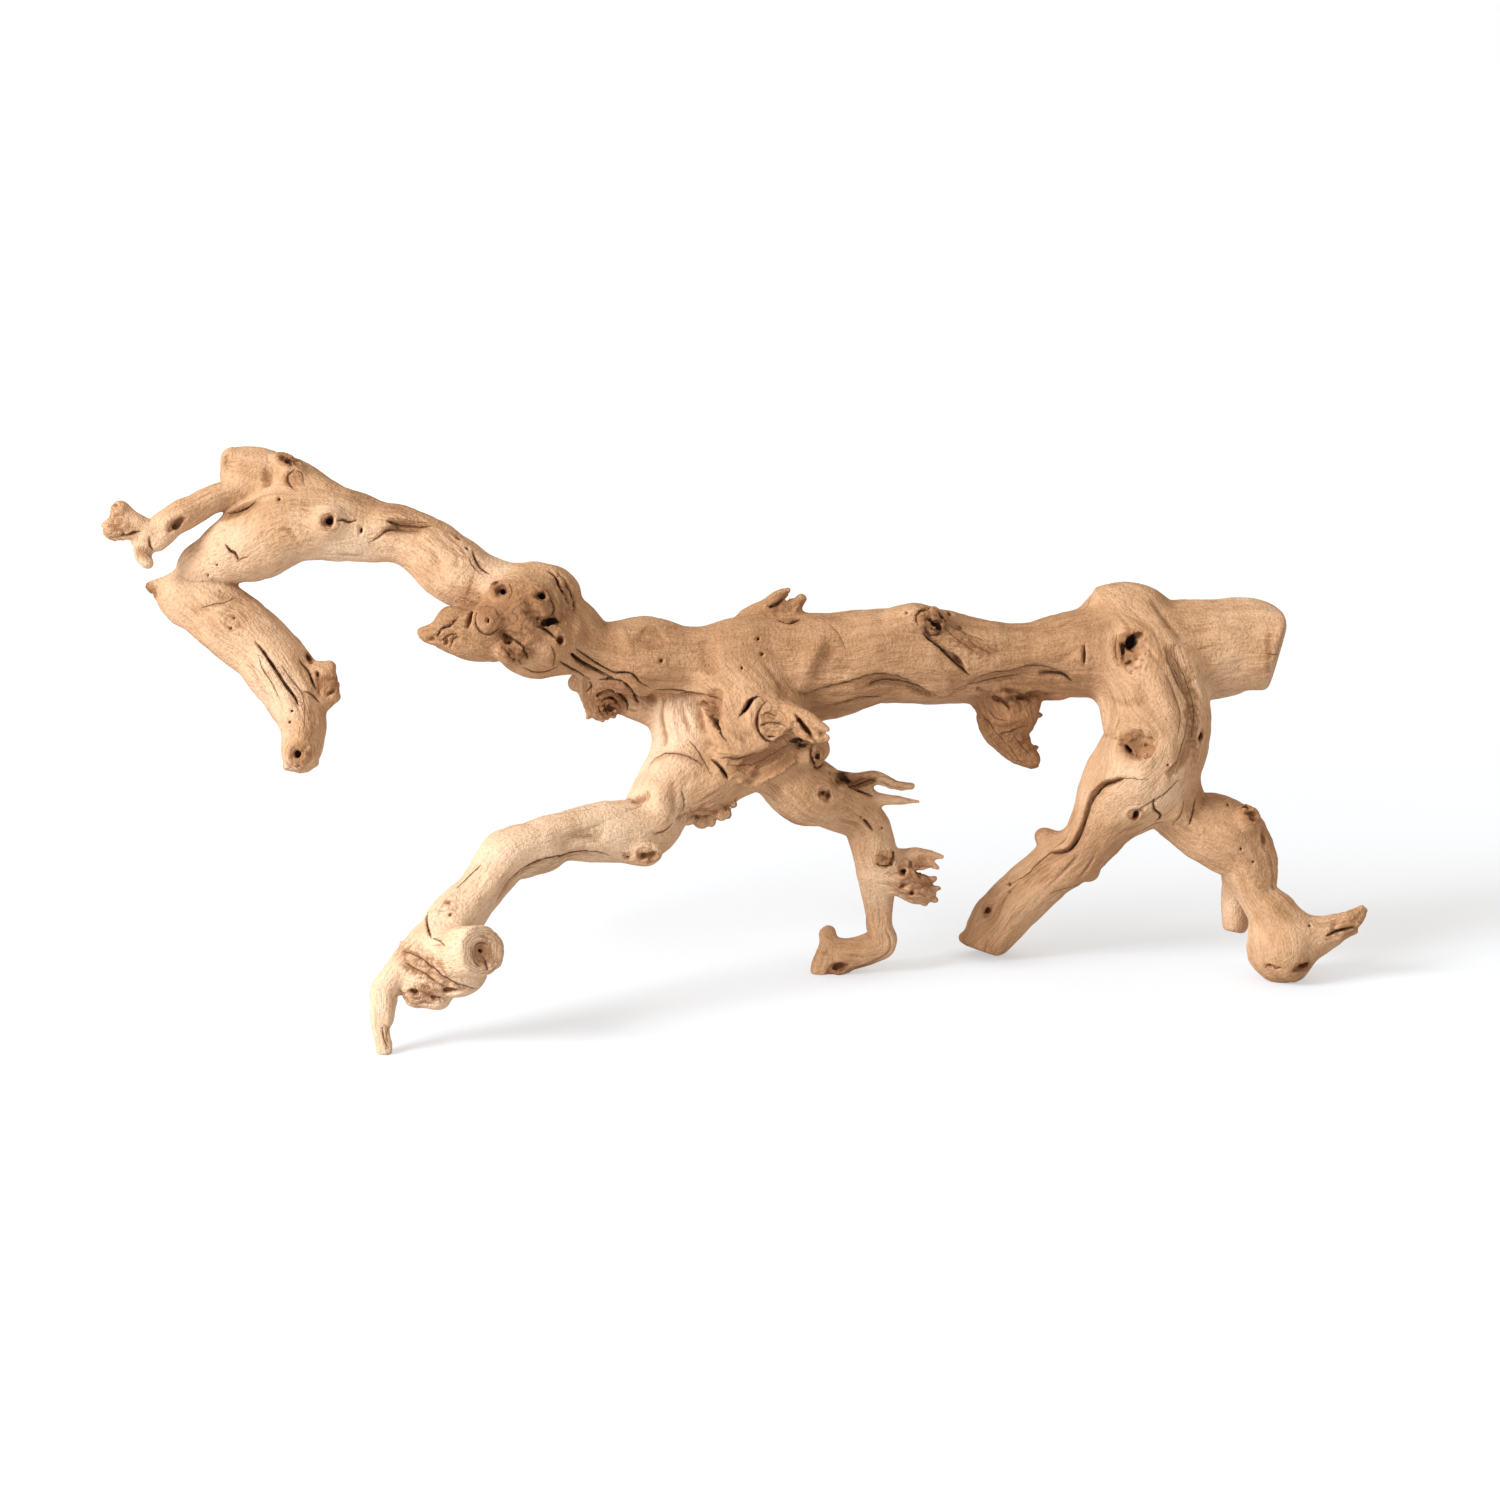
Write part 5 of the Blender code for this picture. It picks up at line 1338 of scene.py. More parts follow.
def strands(limb, along, x, y):
    """How far the limb's strands stand out in mm, and how deep in a furrow a place lies (0 to 1)."""
    away = np.sqrt(x * x + y * y) + TINY
    spin = along * STRAND_TWIST
    turn_x = (x * np.cos(spin) - y * np.sin(spin)) / away
    turn_y = (x * np.sin(spin) + y * np.cos(spin)) / away
    thick = float(limb.radius.mean())
    lobes = noise(along / LOBE_LENGTH, turn_x * LOBES, turn_y * LOBES, limb.seed)
    around = max(thick / STRAND_WIDTH, FEWEST_STRANDS)
    bands = noise(along / STRAND_LENGTH, turn_x * around, turn_y * around, limb.seed + 1)
    around *= FINE_STRANDS
    fine = noise(along / FINE_LENGTH, turn_x * around, turn_y * around, limb.seed + 2)
    furrow = faded(bands, FURROW_WIDTH)
    furrow *= np.clip(fine * FURROW_GAPS[0] + FURROW_GAPS[1], 0, 1)
    height = LOBE_HEIGHT * thick * lobes
    scale = limb.rough * min(thick / STOUT_RADIUS, 1)
    height += scale * (STRAND_HEIGHT * bands + FINE_HEIGHT * fine - FURROW_DEPTH * furrow)
    return height, furrow * min(limb.rough, FURROW_MOST)


def blended(a, b, soft):
    """The nearer of two distances, with a soft fillet where they meet."""
    share = np.maximum(soft - np.abs(a - b), 0) / soft
    return np.minimum(a, b) - share * share * soft * FILLET


def lump_distance(centre, half_widths, points):
    """The distance to an ellipsoid whose axes lie along the main view's."""
    axes = np.array([way(1, 0, 0), way(0, 1, 0), way(0, 0, 1)])
    widths = np.array(half_widths, np.float32) * reach_of(centre[2])
    local = (points - spot(*centre)) @ axes.T / widths
    ring = np.sqrt((local * local).sum(-1))
    slope = np.sqrt(((local / widths) ** 2).sum(-1)) + TINY
    return ring * (ring - 1) / slope


def plain_field(points, centres, size, with_strands=True):
    """The distance to the wood in mm at groups of points, before holes, cracks and cuts."""
    field = np.full(points.shape[:2], FAR, np.float32)
    for limb in WOOD:
        chosen, distance, along, x, y = limb_coordinates(limb, points, centres, size)
        if not len(chosen):
            continue
        if with_strands:
            near = np.abs(distance) < REACH
            height = np.zeros_like(distance)
            height[near] = strands(limb, along[near], x[near], y[near])[0]
            distance = distance - height
        field[chosen] = blended(field[chosen], distance, limb.blend)
    for centre, half_widths, *soft in LUMPS.values():
        near = near_groups(centres, spot(*centre), max(half_widths) + size + REACH)
        if len(near):
            away = lump_distance(centre, half_widths, points[near])
            field[near] = blended(field[near], away, soft[0] if soft else LUMP_BLEND)
    if with_strands:
        for wave, height, seed in ROUGH_WAVES:
            near = np.abs(field) < REACH
            field[near] -= height * noise_at(points[near], wave, seed)
    return field


def faded(distance, reach, power=2):
    """1 at no distance, and next to nothing past the reach. A higher power makes a sharper edge."""
    return np.exp(-((distance / reach) ** power))


def uncut(like):
    """No cut at any point."""
    return np.full_like(like, -FAR)


def cut_into(a, b, soft):
    """The wood's distance a, with all that lies in the cut b taken away and the edge a little worn."""
    share = np.maximum(soft - np.abs(a - b), 0) / soft
    return np.maximum(a, b) + share * share * soft * FILLET


def sawn(field, points, centres, size):
    """The field with its ends sawn off."""
    for point, facing, wear, radius in SAWN_ENDS.values():
        near = near_groups(centres, spot(*point), radius + size)
        if not len(near):
            continue
        gap = points[near] - spot(*point)
        past = gap @ way(*facing)
        sideways = np.sqrt(np.maximum(dot(gap, gap) - past * past, 0))
        past = np.where(sideways < radius, past, -FAR)
        field[near] = cut_into(field[near], past, wear)
    return field


def smooth_field(points):
    """The distance to the wood at single points, without strands or features."""
    groups = points[:, None]
    return sawn(plain_field(groups, points, 0, False), groups, points, 0)[:, 0]


def seen_on_wood(places, from_behind):
    """Where the lines of sight through places of the view meet the wood, and the way out there."""
    eye = spot(0, 0, VIEW_DISTANCE)
    starts = np.array([spot(across, up, SIGHT_START) for across, up in places])
    sight = unit(starts - eye)
    behind = np.array(from_behind)[:, None]
    points = np.where(behind, starts + sight * 2 * SIGHT_START, starts)
    sight = np.where(behind, -sight, sight)
    for _ in range(SIGHT_STEPS):
        gap = smooth_field(points)
        points = points + sight * np.clip(gap, -1, REACH / 2)[:, None] * SIGHT_CARE
    missed = [places[i] for i in np.nonzero(gap > SIGHT_MISS)[0]]
    if missed:
        print("no wood is seen at", missed)
    return points.astype(np.float32), slope_of(points)


def slope_of(points):
    """The way out of the wood at points on it."""
    slope = np.zeros(points.shape, np.float32)
    for axis in range(3):
        for sign in (-1, 1):
            moved = points.copy()
            moved[:, axis] += sign * SLOPE_STEP
            slope[:, axis] += sign * smooth_field(moved)
    return unit(slope)


class Hole:
    """A pit or hole: a plug that narrows inwards, with an uneven outline and a low lip around it."""

    def __init__(self, seen_at, half_widths, depth, tilt=0, inward=None, behind=False):
        self.places = [seen_at]
        self.behind = behind
        self.inward = way(*(inward or (0, 0, 1 if behind else -1)))
        self.widths = half_widths
        self.depth = depth
        self.tilt = math.radians(tilt)
        self.size = depth + HOLE_REACH * max(half_widths)

    def settle(self, points, ways):
        self.point = self.middle = points[0]
        up = way(-math.sin(self.tilt), math.cos(self.tilt), HOLE_LEAN)
        self.side = unit(np.cross(self.inward, up))
        self.other = np.cross(self.side, self.inward)

    def work(self, points):
        """How far the surface is lifted, how deep a point lies in the hole, and how stained and shaded it
        is: painted shade that deepens inwards.
        """
        gap = points - self.point
        deep = gap @ self.inward
        x = gap @ self.side / self.widths[0]
        y = gap @ self.other / self.widths[1]
        wide = min(self.widths)
        wave = noise_at(points, HOLE_WAVE, HOLE_SEEDS[0])
        wave += HOLE_FINER[0] * noise_at(points, HOLE_WAVE * HOLE_FINER[1], HOLE_SEEDS[1])
        round_ = np.sqrt(x * x + y * y) + HOLE_UNEVEN * wave * min(wide / 2, 1)
        mouth = 1 - HOLE_TAPER * np.clip(deep / self.depth, -0.5, 1)
        cut = np.minimum((mouth - round_) * wide, self.depth - deep)
        cut = np.minimum(cut, deep + CUT_ABOVE)
        lip = faded((round_ - LIP_PLACE) * wide, LIP_WIDTH) * faded(deep, LIP_DEPTH)
        inside = np.clip((HOLE_EDGE - round_) * wide, 0, 1)
        stain_and_shade = inside * np.clip(HOLE_RIM_STAIN + deep / HOLE_SHADE_DEPTH, 0, 1)
        return lip * min(LIP_HEIGHT, wide * LIP_SHARE), cut, stain_and_shade


class Shade:
    """A browner patch, which may also be wrinkled. Patches on the burl and the stub are the wood's own
    brown; those in clefts, gaps and recesses and under flaps and splinters are painted shade.
    """

    def __init__(self, seen_at, half_widths, strength, tilt=0, wrinkles=0, behind=False):
        self.places = [seen_at]
        self.behind = behind
        self.widths = half_widths
        self.strength = strength
        self.tilt = math.radians(tilt)
        self.wrinkles = wrinkles
        self.size = 2 * max(half_widths)

    def settle(self, points, ways):
        self.point = self.middle = points[0]
        self.side = way(math.cos(self.tilt), math.sin(self.tilt), 0)
        self.other = way(-math.sin(self.tilt), math.cos(self.tilt), 0)
        self.inner = np.cross(self.side, self.other)

    def work(self, points):
        gap = points - self.point
        x, y, deep = (gap @ axis for axis in (self.side, self.other, self.inner))
        away = (x / self.widths[0]) ** 2 + (y / self.widths[1]) ** 2
        here = faded(away, 1, SHADE_EDGE) * faded(deep, 2 * max(self.widths), 4)
        if not self.wrinkles:
            return np.zeros_like(here), uncut(here), self.strength * here
        waves = [
            (np.abs(noise(x / long, y / wide, deep / wide, WRINKLE_SEED)), height)
            for long, wide, height in WRINKLE_WAVES
        ]
        lift = sum(wave * height for wave, height in waves) - WRINKLE_MEAN
        fold = faded(waves[0][0], WRINKLE_FOLD)
        stain_and_shade = (self.strength + WRINKLE_FOLD_SHADE * fold) * here
        return self.wrinkles * lift * here, uncut(here), stain_and_shade


class Line:
    """A crack, ledge or ridge that runs along a line drawn on the wood."""

    def __init__(self, places, width, depth, behind=False):
        places = np.array(places, float)
        times = np.arange(LINE_STEPS * (len(places) - 1) + 1) / LINE_STEPS
        self.places = [tuple(place) for place in curve_through(places, times)]
        self.behind = behind
        self.width = width
        self.depth = depth

    def settle(self, points, ways):
        self.points = points
        self.ways = ways
        self.middle = (points.min(0) + points.max(0)) / 2
        far = np.linalg.norm(points - self.middle, axis=1).max()
        self.reach = abs(self.depth) + 3 * abs(self.width) + LINE_NEAR * 2
        self.size = far + self.reach

    def local(self, points):
        """The offset across the line, the distance from it in the surface, the depth and the share."""
        best = np.full(points.shape[:-1], FAR * FAR, np.float32)
        across = np.zeros_like(best)
        away = np.zeros_like(best)
        deep = np.zeros_like(best)
        share = np.zeros_like(best)
        for i in range(len(self.points) - 1):
            step = self.points[i + 1] - self.points[i]
            long = float(step @ step) + TINY
            gap = points - self.points[i]
            t = np.clip(gap @ step / long, 0, 1)
            gap = gap - t[..., None] * step
            out = unit(self.ways[i] * (1 - t[..., None]) + self.ways[i + 1] * t[..., None])
            height = dot(gap, out)
            flat = gap - height[..., None] * out
            sideways = np.cross(out, unit(step))
            near = dot(gap, gap)
            closer = near < best
            best = np.where(closer, near, best)
            across = np.where(closer, dot(flat, sideways), across)
            away = np.where(closer, np.sqrt(dot(flat, flat)), away)
            deep = np.where(closer, -height, deep)
            share = np.where(closer, (i + t) / (len(self.points) - 1), share)
        return across, away, deep, np.sqrt(np.clip(4 * share * (1 - share), 0, 1))


def faded_line(width, away, deep):
    """A dark line's half-width, which is nothing for places that lie off the line or far below it."""
    near = np.clip(2 - away / LINE_NEAR, 0, 1) * np.clip(2 - np.abs(deep) / LINE_DEPTH, 0, 1)
    return width * near


class Crack(Line):
    """A crack that narrows inwards and towards its ends, with painted shade around it. The finest ones are
    only a dark line of painted shade.
    """

    def work(self, points):
        across, away, deep, taper = self.local(points)
        wave = noise_at(points, CRACK_WAVE, CRACK_SEED)
        away = away + self.width * CRACK_UNEVEN * wave
        near = taper * faded(away, self.width * taper + CRACK_EDGE)
        near *= faded(deep, self.depth + CRACK_BELOW)
        stain_and_shade = CRACK_SHADE * min(self.width + THIN_CRACK, 1) * near
        if self.width < FINE_CRACK:
            return -self.width * near, uncut(near), stain_and_shade
        flare = np.clip(1 - deep / self.depth, 0, CRACK_FLARE)
        mouth = (self.width + CRACK_OPENING) * taper * flare
        cut = np.minimum(mouth - away, self.depth * taper - deep)
        return np.zeros_like(near), np.minimum(cut, deep + CUT_ABOVE), stain_and_shade

    def shade_line(self, points):
        """How far to one side of the line a place lies, and half the width of its dark line of painted shade
        there.
        """
        across, away, deep, taper = self.local(points)
        return across, faded_line(self.width * taper, away, deep)


class Ledge(Line):
    """A strap of wood that ends in a step: the wood on one side of the line lies deeper, with a painted
    shadow under the step and a dark painted line at its foot.

    The side with a positive width is the left one, seen from outside along the line.
    """

    def past_step(self, points, across):
        """How far past the step a place lies, on its lower side."""
        wave = noise_at(points, CRACK_WAVE, LEDGE_SEED)
        return across * math.copysign(1, self.width) + LEDGE_WAVE * wave

    def work(self, points):
        across, away, deep, taper = self.local(points)
        fade = abs(self.width)
        beyond = self.past_step(points, across)
        low = np.where(beyond > 0, faded(np.maximum(beyond, 0), fade, 1), faded(beyond, STEP_WIDTH))
        ends = faded(np.maximum(away - np.abs(across), 0), LEDGE_END)
        low *= taper * ends * faded(deep, self.depth + LEDGE_BELOW)
        shadow = fade * LEDGE_SHADOW[0] + LEDGE_SHADOW[1]
        stain_and_shade = faded(beyond, shadow) * taper * ends * (beyond > -STEP_WIDTH)
        stain_and_shade *= faded(deep, self.depth + LEDGE_SHADOW_BELOW)
        return -self.depth * low, uncut(low), stain_and_shade * LEDGE_SHADOW_STRENGTH

    # The dark line of painted shadow at the foot of the step.
    def shade_line(self, points):
        across, away, deep, taper = self.local(points)
        beyond = self.past_step(points, across)
        return beyond - LEDGE_FOOT, faded_line(LEDGE_LINE * taper, away, deep)


class Ridge(Line):
    """A raised line, or with a negative depth a shallow groove darkened with painted shade."""

    def work(self, points):
        across, away, deep, taper = self.local(points)
        lift = self.depth * taper * faded(away, self.width)
        lift *= faded(deep, abs(self.depth) + RIDGE_BELOW)
        return lift, uncut(lift), np.clip(-lift, 0, 1) * GROOVE_SHADE


class Band(Line):
    """A recess with a flat floor and steep sides, browner than the rest with painted shade."""

    def work(self, points):
        across, away, deep, taper = self.local(points)
        away = np.maximum(away + BAND_WAVE * noise_at(points, CRACK_WAVE, BAND_SEED), 0)
        inner = 1 / (1 + (away / (self.width * np.sqrt(taper) + BAND_EDGE)) ** 6)
        inner = inner * faded(deep, self.depth + BAND_BELOW, 4)
        return -self.depth * taper * inner, uncut(inner), BAND_SHADE * inner


class Knot:
    """A round knot with rings, around a point of the surface."""

    def __init__(self, seen_at, radius, behind=False):
        self.places = [seen_at]
        self.behind = behind
        self.radius = radius
        self.size = radius * 2

    def settle(self, points, ways):
        self.point = self.middle = points[0]
        self.out = ways[0]

    def away(self, points):
        """How far points lie from the knot's axis, and how high above its middle."""
        gap = points - self.point
        height = gap @ self.out
        return np.sqrt(np.maximum(dot(gap, gap) - height * height, 0)), height

    def work(self, points):
        away, height = self.away(points)
        wave = noise_at(points, HOLE_WAVE, KNOT_SEED)
        away = away * (1 + KNOT_UNEVEN * wave)
        here = faded(away, self.radius, 4) * faded(height, self.radius + KNOT_BELOW)
        collar = faded(away - self.radius, COLLAR_WIDTH * self.radius)
        lift = KNOT_COLLAR * collar * np.clip(COLLAR_GAPS[0] + wave, 0, COLLAR_GAPS[1])
        lift = lift * faded(height, COLLAR_DEPTH)
        lift += KNOT_RING * here * np.cos(away * math.tau / KNOT_WAVE)
        strength, place, wide = KNOT_STAIN
        stain_and_shade = strength * faded(away - place * self.radius, wide * self.radius) * here
        return lift, uncut(lift), stain_and_shade


def groups_near(feature, centres, size):
    """The groups, each of a size, that a feature can change."""
    near = near_groups(centres, feature.middle, feature.size + size)
    if not isinstance(feature, Line) or not len(near):
        return near
    spots = feature.points[::LINE_STEPS // 2]
    spacing = np.linalg.norm(np.diff(spots, axis=0), axis=1).max()
    best = np.full(len(near), FAR * FAR, np.float32)
    for middle in spots:
        gap = centres[near] - middle
        best = np.minimum(best, (gap * gap).sum(1))
    return near[best < (feature.reach + size + spacing) ** 2]


def settled(features):
    """The features, each set on the wood where it is seen."""
    places = [place for feature in features for place in feature.places]
    behind = [feature.behind for feature in features for _ in feature.places]
    points, ways = seen_on_wood(places, behind)
    first = 0
    for feature in features:
        last = first + len(feature.places)
        feature.settle(points[first:last], ways[first:last])
        first = last
    return features


def worked_field(field, points, centres, size, features):
    """The plain field with its features, its sawn ends and the flats of its feet."""
    for feature in features:
        if isinstance(feature, Shade) and not feature.wrinkles:
            continue
        near = groups_near(feature, centres, size)
        if not len(near):
            continue
        lift, cut, _ = feature.work(points[near])
        field[near] = cut_into(field[near] - lift, cut, EDGE_WEAR)
    field = sawn(field, points, centres, size)
    return np.maximum(field, -points[..., 2])


def block_lattice(step):
    """The blocks that may hold the wood's surface: their places in the lattice and its origin."""
    edge = BLOCK * step
    low = np.min([limb.low for limb in WOOD], axis=0) - 2 * edge
    high = np.max([limb.high for limb in WOOD], axis=0) + 2 * edge
    origin = (np.floor(low / edge) * edge).astype(np.float32)
    shape = np.ceil((high - origin) / edge).astype(int) + 1
    marked = np.zeros(shape, bool)

    def mark(lowest, highest):
        first = np.maximum(np.floor((lowest - origin) / edge).astype(int) - 1, 0)
        last = np.floor((highest - origin) / edge).astype(int) + 2
        marked[first[0]:last[0], first[1]:last[1], first[2]:last[2]] = True

    for limb in WOOD:
        for centre, radius in zip(limb.centre[::2], limb.radius[::2]):
            mark(centre - radius - GRID_MARGIN, centre + radius + GRID_MARGIN)
    for centre, half_widths, *_ in LUMPS.values():
        widest = max(half_widths) + LUMP_MARGIN
        mark(spot(*centre) - widest, spot(*centre) + widest)
    return np.argwhere(marked), origin, edge


def surface_blocks(step, features):
    """Keeps the blocks that the surface, or a feature worked into it, can run through."""
    blocks, origin, edge = block_lattice(step)
    centres = (origin + (blocks + 0.5) * edge).astype(np.float32)
    middle = plain_field(centres[:, None], centres, 0, False)[:, 0]
    half = edge * math.sqrt(3) / 2
    keep = (middle < half + GRID_MARGIN) & (middle > -half - GRID_MARGIN)
    for feature in features:
        if isinstance(feature, Hole):
            inner = feature.point + feature.inward * feature.depth / 2
            keep[near_groups(centres, inner, feature.depth / 2 + max(feature.widths) + half)] = True
    return blocks[keep], centres[keep], origin, edge


def sampled_blocks(step, features):
    """The field at the corners of all blocks that the surface runs through."""
    blocks, centres, origin, edge = surface_blocks(step, features)
    offsets = (np.indices((BLOCK,) * 3).reshape(3, -1).T * step).astype(np.float32)
    size = edge * math.sqrt(3) / 2
    fields = np.empty((len(blocks), BLOCK**3), np.float32)
    for first in range(0, len(blocks), CHUNK):
        part = slice(first, first + CHUNK)
        points = (origin + blocks[part] * edge).astype(np.float32)[:, None] + offsets
        field = plain_field(points, centres[part], size)
        fields[part] = worked_field(field, points, centres[part], size, features)
    return blocks, fields.reshape(-1, BLOCK, BLOCK, BLOCK), origin


def all_features():
    """Every hole, knot, crack, ledge, ridge, recess and patch of the wood, on both sides."""
    near_and_far = (
        (Hole, HOLES, FAR_HOLES),
        (Knot, KNOTS, FAR_KNOTS),
        (Crack, CRACKS, FAR_CRACKS),
        (Ledge, LEDGES, FAR_LEDGES),
        (Ridge, RIDGES, FAR_RIDGES),
        (Band, BANDS, {}),
        (Shade, SHADES, FAR_SHADES),
    )
    features = []
    for kind, near, far in near_and_far:
        features += [kind(*row) for row in near.values()]
        features += [kind(*row, behind=True) for row in far.values()]
    return features


def block_index(blocks):
    """For each place of the lattice, the number of its block, or -1."""
    index = np.full(blocks.max(0) + 3, -1, np.int32)
    index[tuple((blocks + 1).T)] = np.arange(len(blocks))
    return index


def with_neighbours(values, blocks, index, towards):
    """Each block's values with one more layer on three sides, taken from the next blocks.

    towards is 1 for the layer past the high sides, and -1 for the one before the low sides.
    """
    whole = slice(0, BLOCK)
    if towards > 0:
        grown = np.pad(values, ((0, 0), *((0, 1),) * 3), mode="edge")
        own, past, from_next = whole, slice(BLOCK, BLOCK + 1), slice(0, 1)
    else:
        grown = np.pad(values, ((0, 0), *((1, 0),) * 3), constant_values=-1)
        own, past, from_next = slice(1, BLOCK + 1), slice(0, 1), slice(BLOCK - 1, BLOCK)
    for step in np.ndindex(2, 2, 2):
        if not any(step):
            continue
        there = index[tuple((blocks + 1 + np.array(step) * towards).T)]
        has = there >= 0
        to = [past if moved else own for moved in step]
        of = [from_next if moved else whole for moved in step]
        part = grown[has]
        part[(slice(None), *to)] = values[there[has]][(slice(None), *of)]
        grown[has] = part
    return grown


def surface_of(blocks, fields, origin, step):
    """Meshes the surface of the field with one vertex in each cell that it crosses."""
    index = block_index(blocks)
    corners = with_neighbours(fields, blocks, index, 1)
    inside = corners < 0
    shifts = list(np.ndindex(2, 2, 2))
    count = np.zeros(fields.shape, np.int8)
    for i, j, k in shifts:
        count += inside[:, i:i + BLOCK, j:j + BLOCK, k:k + BLOCK]
    cells = np.nonzero((count > 0) & (count < 8))
    b, x, y, z = cells
    values = np.stack([corners[b, x + i, y + j, z + k] for i, j, k in shifts], 1)
    total = np.zeros((len(b), 3), np.float32)
    crossings = np.zeros(len(b), np.float32)
    for one in range(8):
        for axis in range(3):
            if shifts[one][axis]:
                continue
            two = one + (4, 2, 1)[axis]
            crossed = (values[:, one] < 0) != (values[:, two] < 0)
            gap = np.where(crossed, values[:, one] - values[:, two], 1)
            place = np.tile(np.array(shifts[one], np.float32), (len(b), 1))
            place[:, axis] += values[:, one] / gap
            total += np.where(crossed[:, None], place, 0)
            crossings += crossed
    offset = total / crossings[:, None]
    places = origin + (blocks[b] * BLOCK + np.stack([x, y, z], 1) + offset) * step
    numbers = np.full(fields.shape, -1, np.int32)
    numbers[cells] = np.arange(len(b))
    quads = crossed_quads(inside, with_neighbours(numbers, blocks, index, -1))
    return places.astype(np.float32), split_quads(places, quads)


def crossed_quads(inside, numbers):
    """A quad around each edge of the lattice that the surface crosses."""
    quads = []
    own = (slice(None),) + (slice(0, BLOCK),) * 3
    for axis in range(3):
        ahead = [slice(None)] + [slice(0, BLOCK)] * 3
        ahead[axis + 1] = slice(1, BLOCK + 1)
        low = inside[own]
        crossed = np.nonzero(low != inside[tuple(ahead)])
        second, third = ((1, 2), (2, 0), (0, 1))[axis]
        ring = []
        for p, q in ((0, 0), (1, 0), (1, 1), (0, 1)):
            shift = [1, 1, 1]
            shift[second] = p
            shift[third] = q
            ring.append(numbers[(crossed[0], *(crossed[1 + a] + shift[a] for a in range(3)))])
        ring = np.stack(ring, 1)
        outward = low[crossed]
        quads.append(np.where(outward[:, None], ring, ring[:, ::-1]))
    quads = np.concatenate(quads)
    whole = (quads >= 0).all(1)
    if not whole.all():
        print("open cells:", int((~whole).sum()))
    return quads[whole]


def split_quads(places, quads):
    """Two triangles of each quad, along its shorter diagonal."""
    a, b, c, d = (places[quads[:, i]] for i in range(4))
    first = ((a - c) ** 2).sum(1) <= ((b - d) ** 2).sum(1)
    one = np.where(first[:, None], quads[:, [0, 1, 2]], quads[:, [0, 1, 3]])
    two = np.where(first[:, None], quads[:, [0, 2, 3]], quads[:, [1, 2, 3]])
    return np.concatenate([one, two])


def vertex_normals(places, triangles):
    """The way out at each vertex, from the triangles around it."""
    a, b, c = (places[triangles[:, i]] for i in range(3))
    faces = np.cross(b - a, c - a)
    normals = np.zeros(places.shape, np.float64)
    for i in range(3):
        for axis in range(3):
            normals[:, axis] += np.bincount(triangles[:, i], faces[:, axis], len(places))
    return unit(normals).astype(np.float32)


def neighbour_mean(values, edges, counts):
    """The mean of the values at each vertex's neighbours."""
    result = np.empty_like(values)
    for column in range(values.shape[1]):
        total = np.bincount(edges[:, 0], values[edges[:, 1], column], len(values))
        result[:, column] = total / counts
    return result


def edges_of(triangles):
    """The three edges of every triangle, in its own direction."""
    return np.concatenate([triangles[:, [0, 1]], triangles[:, [1, 2]], triangles[:, [2, 0]]])


def mesh_edges(triangles):
    """Every edge in both directions, and how many meet at each vertex."""
    edges = edges_of(triangles)
    both = np.concatenate([edges, edges[:, ::-1]])
    counts = np.maximum(np.bincount(both[:, 0]), 1)
    return both, counts


def component_labels(count, triangles):
    """A label for each vertex, the same for all that hang together."""
    labels = np.arange(count)
    while True:
        lowest = labels[triangles].min(1)
        old = labels.copy()
        for i in range(3):
            np.minimum.at(labels, triangles[:, i], lowest)
        labels = labels[labels]
        if (labels == old).all():
            return labels


def split_at_fork(data, triangles, point, leaving, half_width):
    """Cuts the mesh with a disc, and gives each side its own vertices along the cut.

    data holds a row for each vertex, whose first three numbers are its place.
    """
    middle = spot(*point)
    facing = way(*leaving)
    gap = data[:, :3] - middle
    past = gap @ facing
    flat = gap - past[:, None] * facing
    near = ((flat * flat).sum(1) < half_width * half_width) & (np.abs(past) < DISC_DEPTH)
    close = near & (np.abs(past) < SNAP)
    nudge = np.where(past < 0, -SNAP, SNAP) - past
    data[close, :3] += (nudge[:, None] * facing)[close]
    past = np.where(close, past + nudge, past)
    ahead = past > 0
    mixed = near[triangles].all(1) & ahead[triangles].any(1) & ~ahead[triangles].all(1)
    cut = triangles[mixed]
    high = ahead[cut]
    lone = np.where(high.sum(1) == 1, high.argmax(1), (~high).argmax(1))
    rows = np.arange(len(cut))
    a, b, c = (cut[rows, (lone + i) % 3] for i in range(3))
    pairs = np.sort(np.concatenate([np.stack([a, b], 1), np.stack([a, c], 1)]), axis=1)
    edges, which = np.unique(pairs, axis=0, return_inverse=True)
    which = which.reshape(-1)
    share = (past[edges[:, 0]] / (past[edges[:, 0]] - past[edges[:, 1]]))[:, None]
    fresh = data[edges[:, 0]] * (1 - share) + data[edges[:, 1]] * share
    low_side = len(data) + np.stack(np.split(which, 2))
    high_side = low_side + len(edges)
    ab_own, ac_own = np.where(ahead[a], high_side, low_side)
    ab_other, ac_other = np.where(ahead[a], low_side, high_side)
    made = [(a, ab_own, ac_own), (ab_other, b, c), (ab_other, c, ac_other)]
    made = [np.stack(corners, 1) for corners in made]
    return np.concatenate([data, fresh, fresh]), np.concatenate([triangles[~mixed], *made])


def rim_loops(triangles):
    """The closed loops of edges that have a triangle on one side only, in the triangles' order."""
    edges = edges_of(triangles)
    size = int(triangles.max()) + 1
    forth = edges[:, 0].astype(np.int64) * size + edges[:, 1]
    back = edges[:, 1].astype(np.int64) * size + edges[:, 0]
    open_edges = edges[~np.isin(forth, back)]
    following = {int(a): int(b) for a, b in open_edges}
    loops = []
    while following:
        start = next(iter(following))
        loop = [start]
        here = following.pop(start)
        while here != start and here in following:
            loop.append(here)
            here = following.pop(here)
        if here == start:
            loops.append(loop)
    return loops


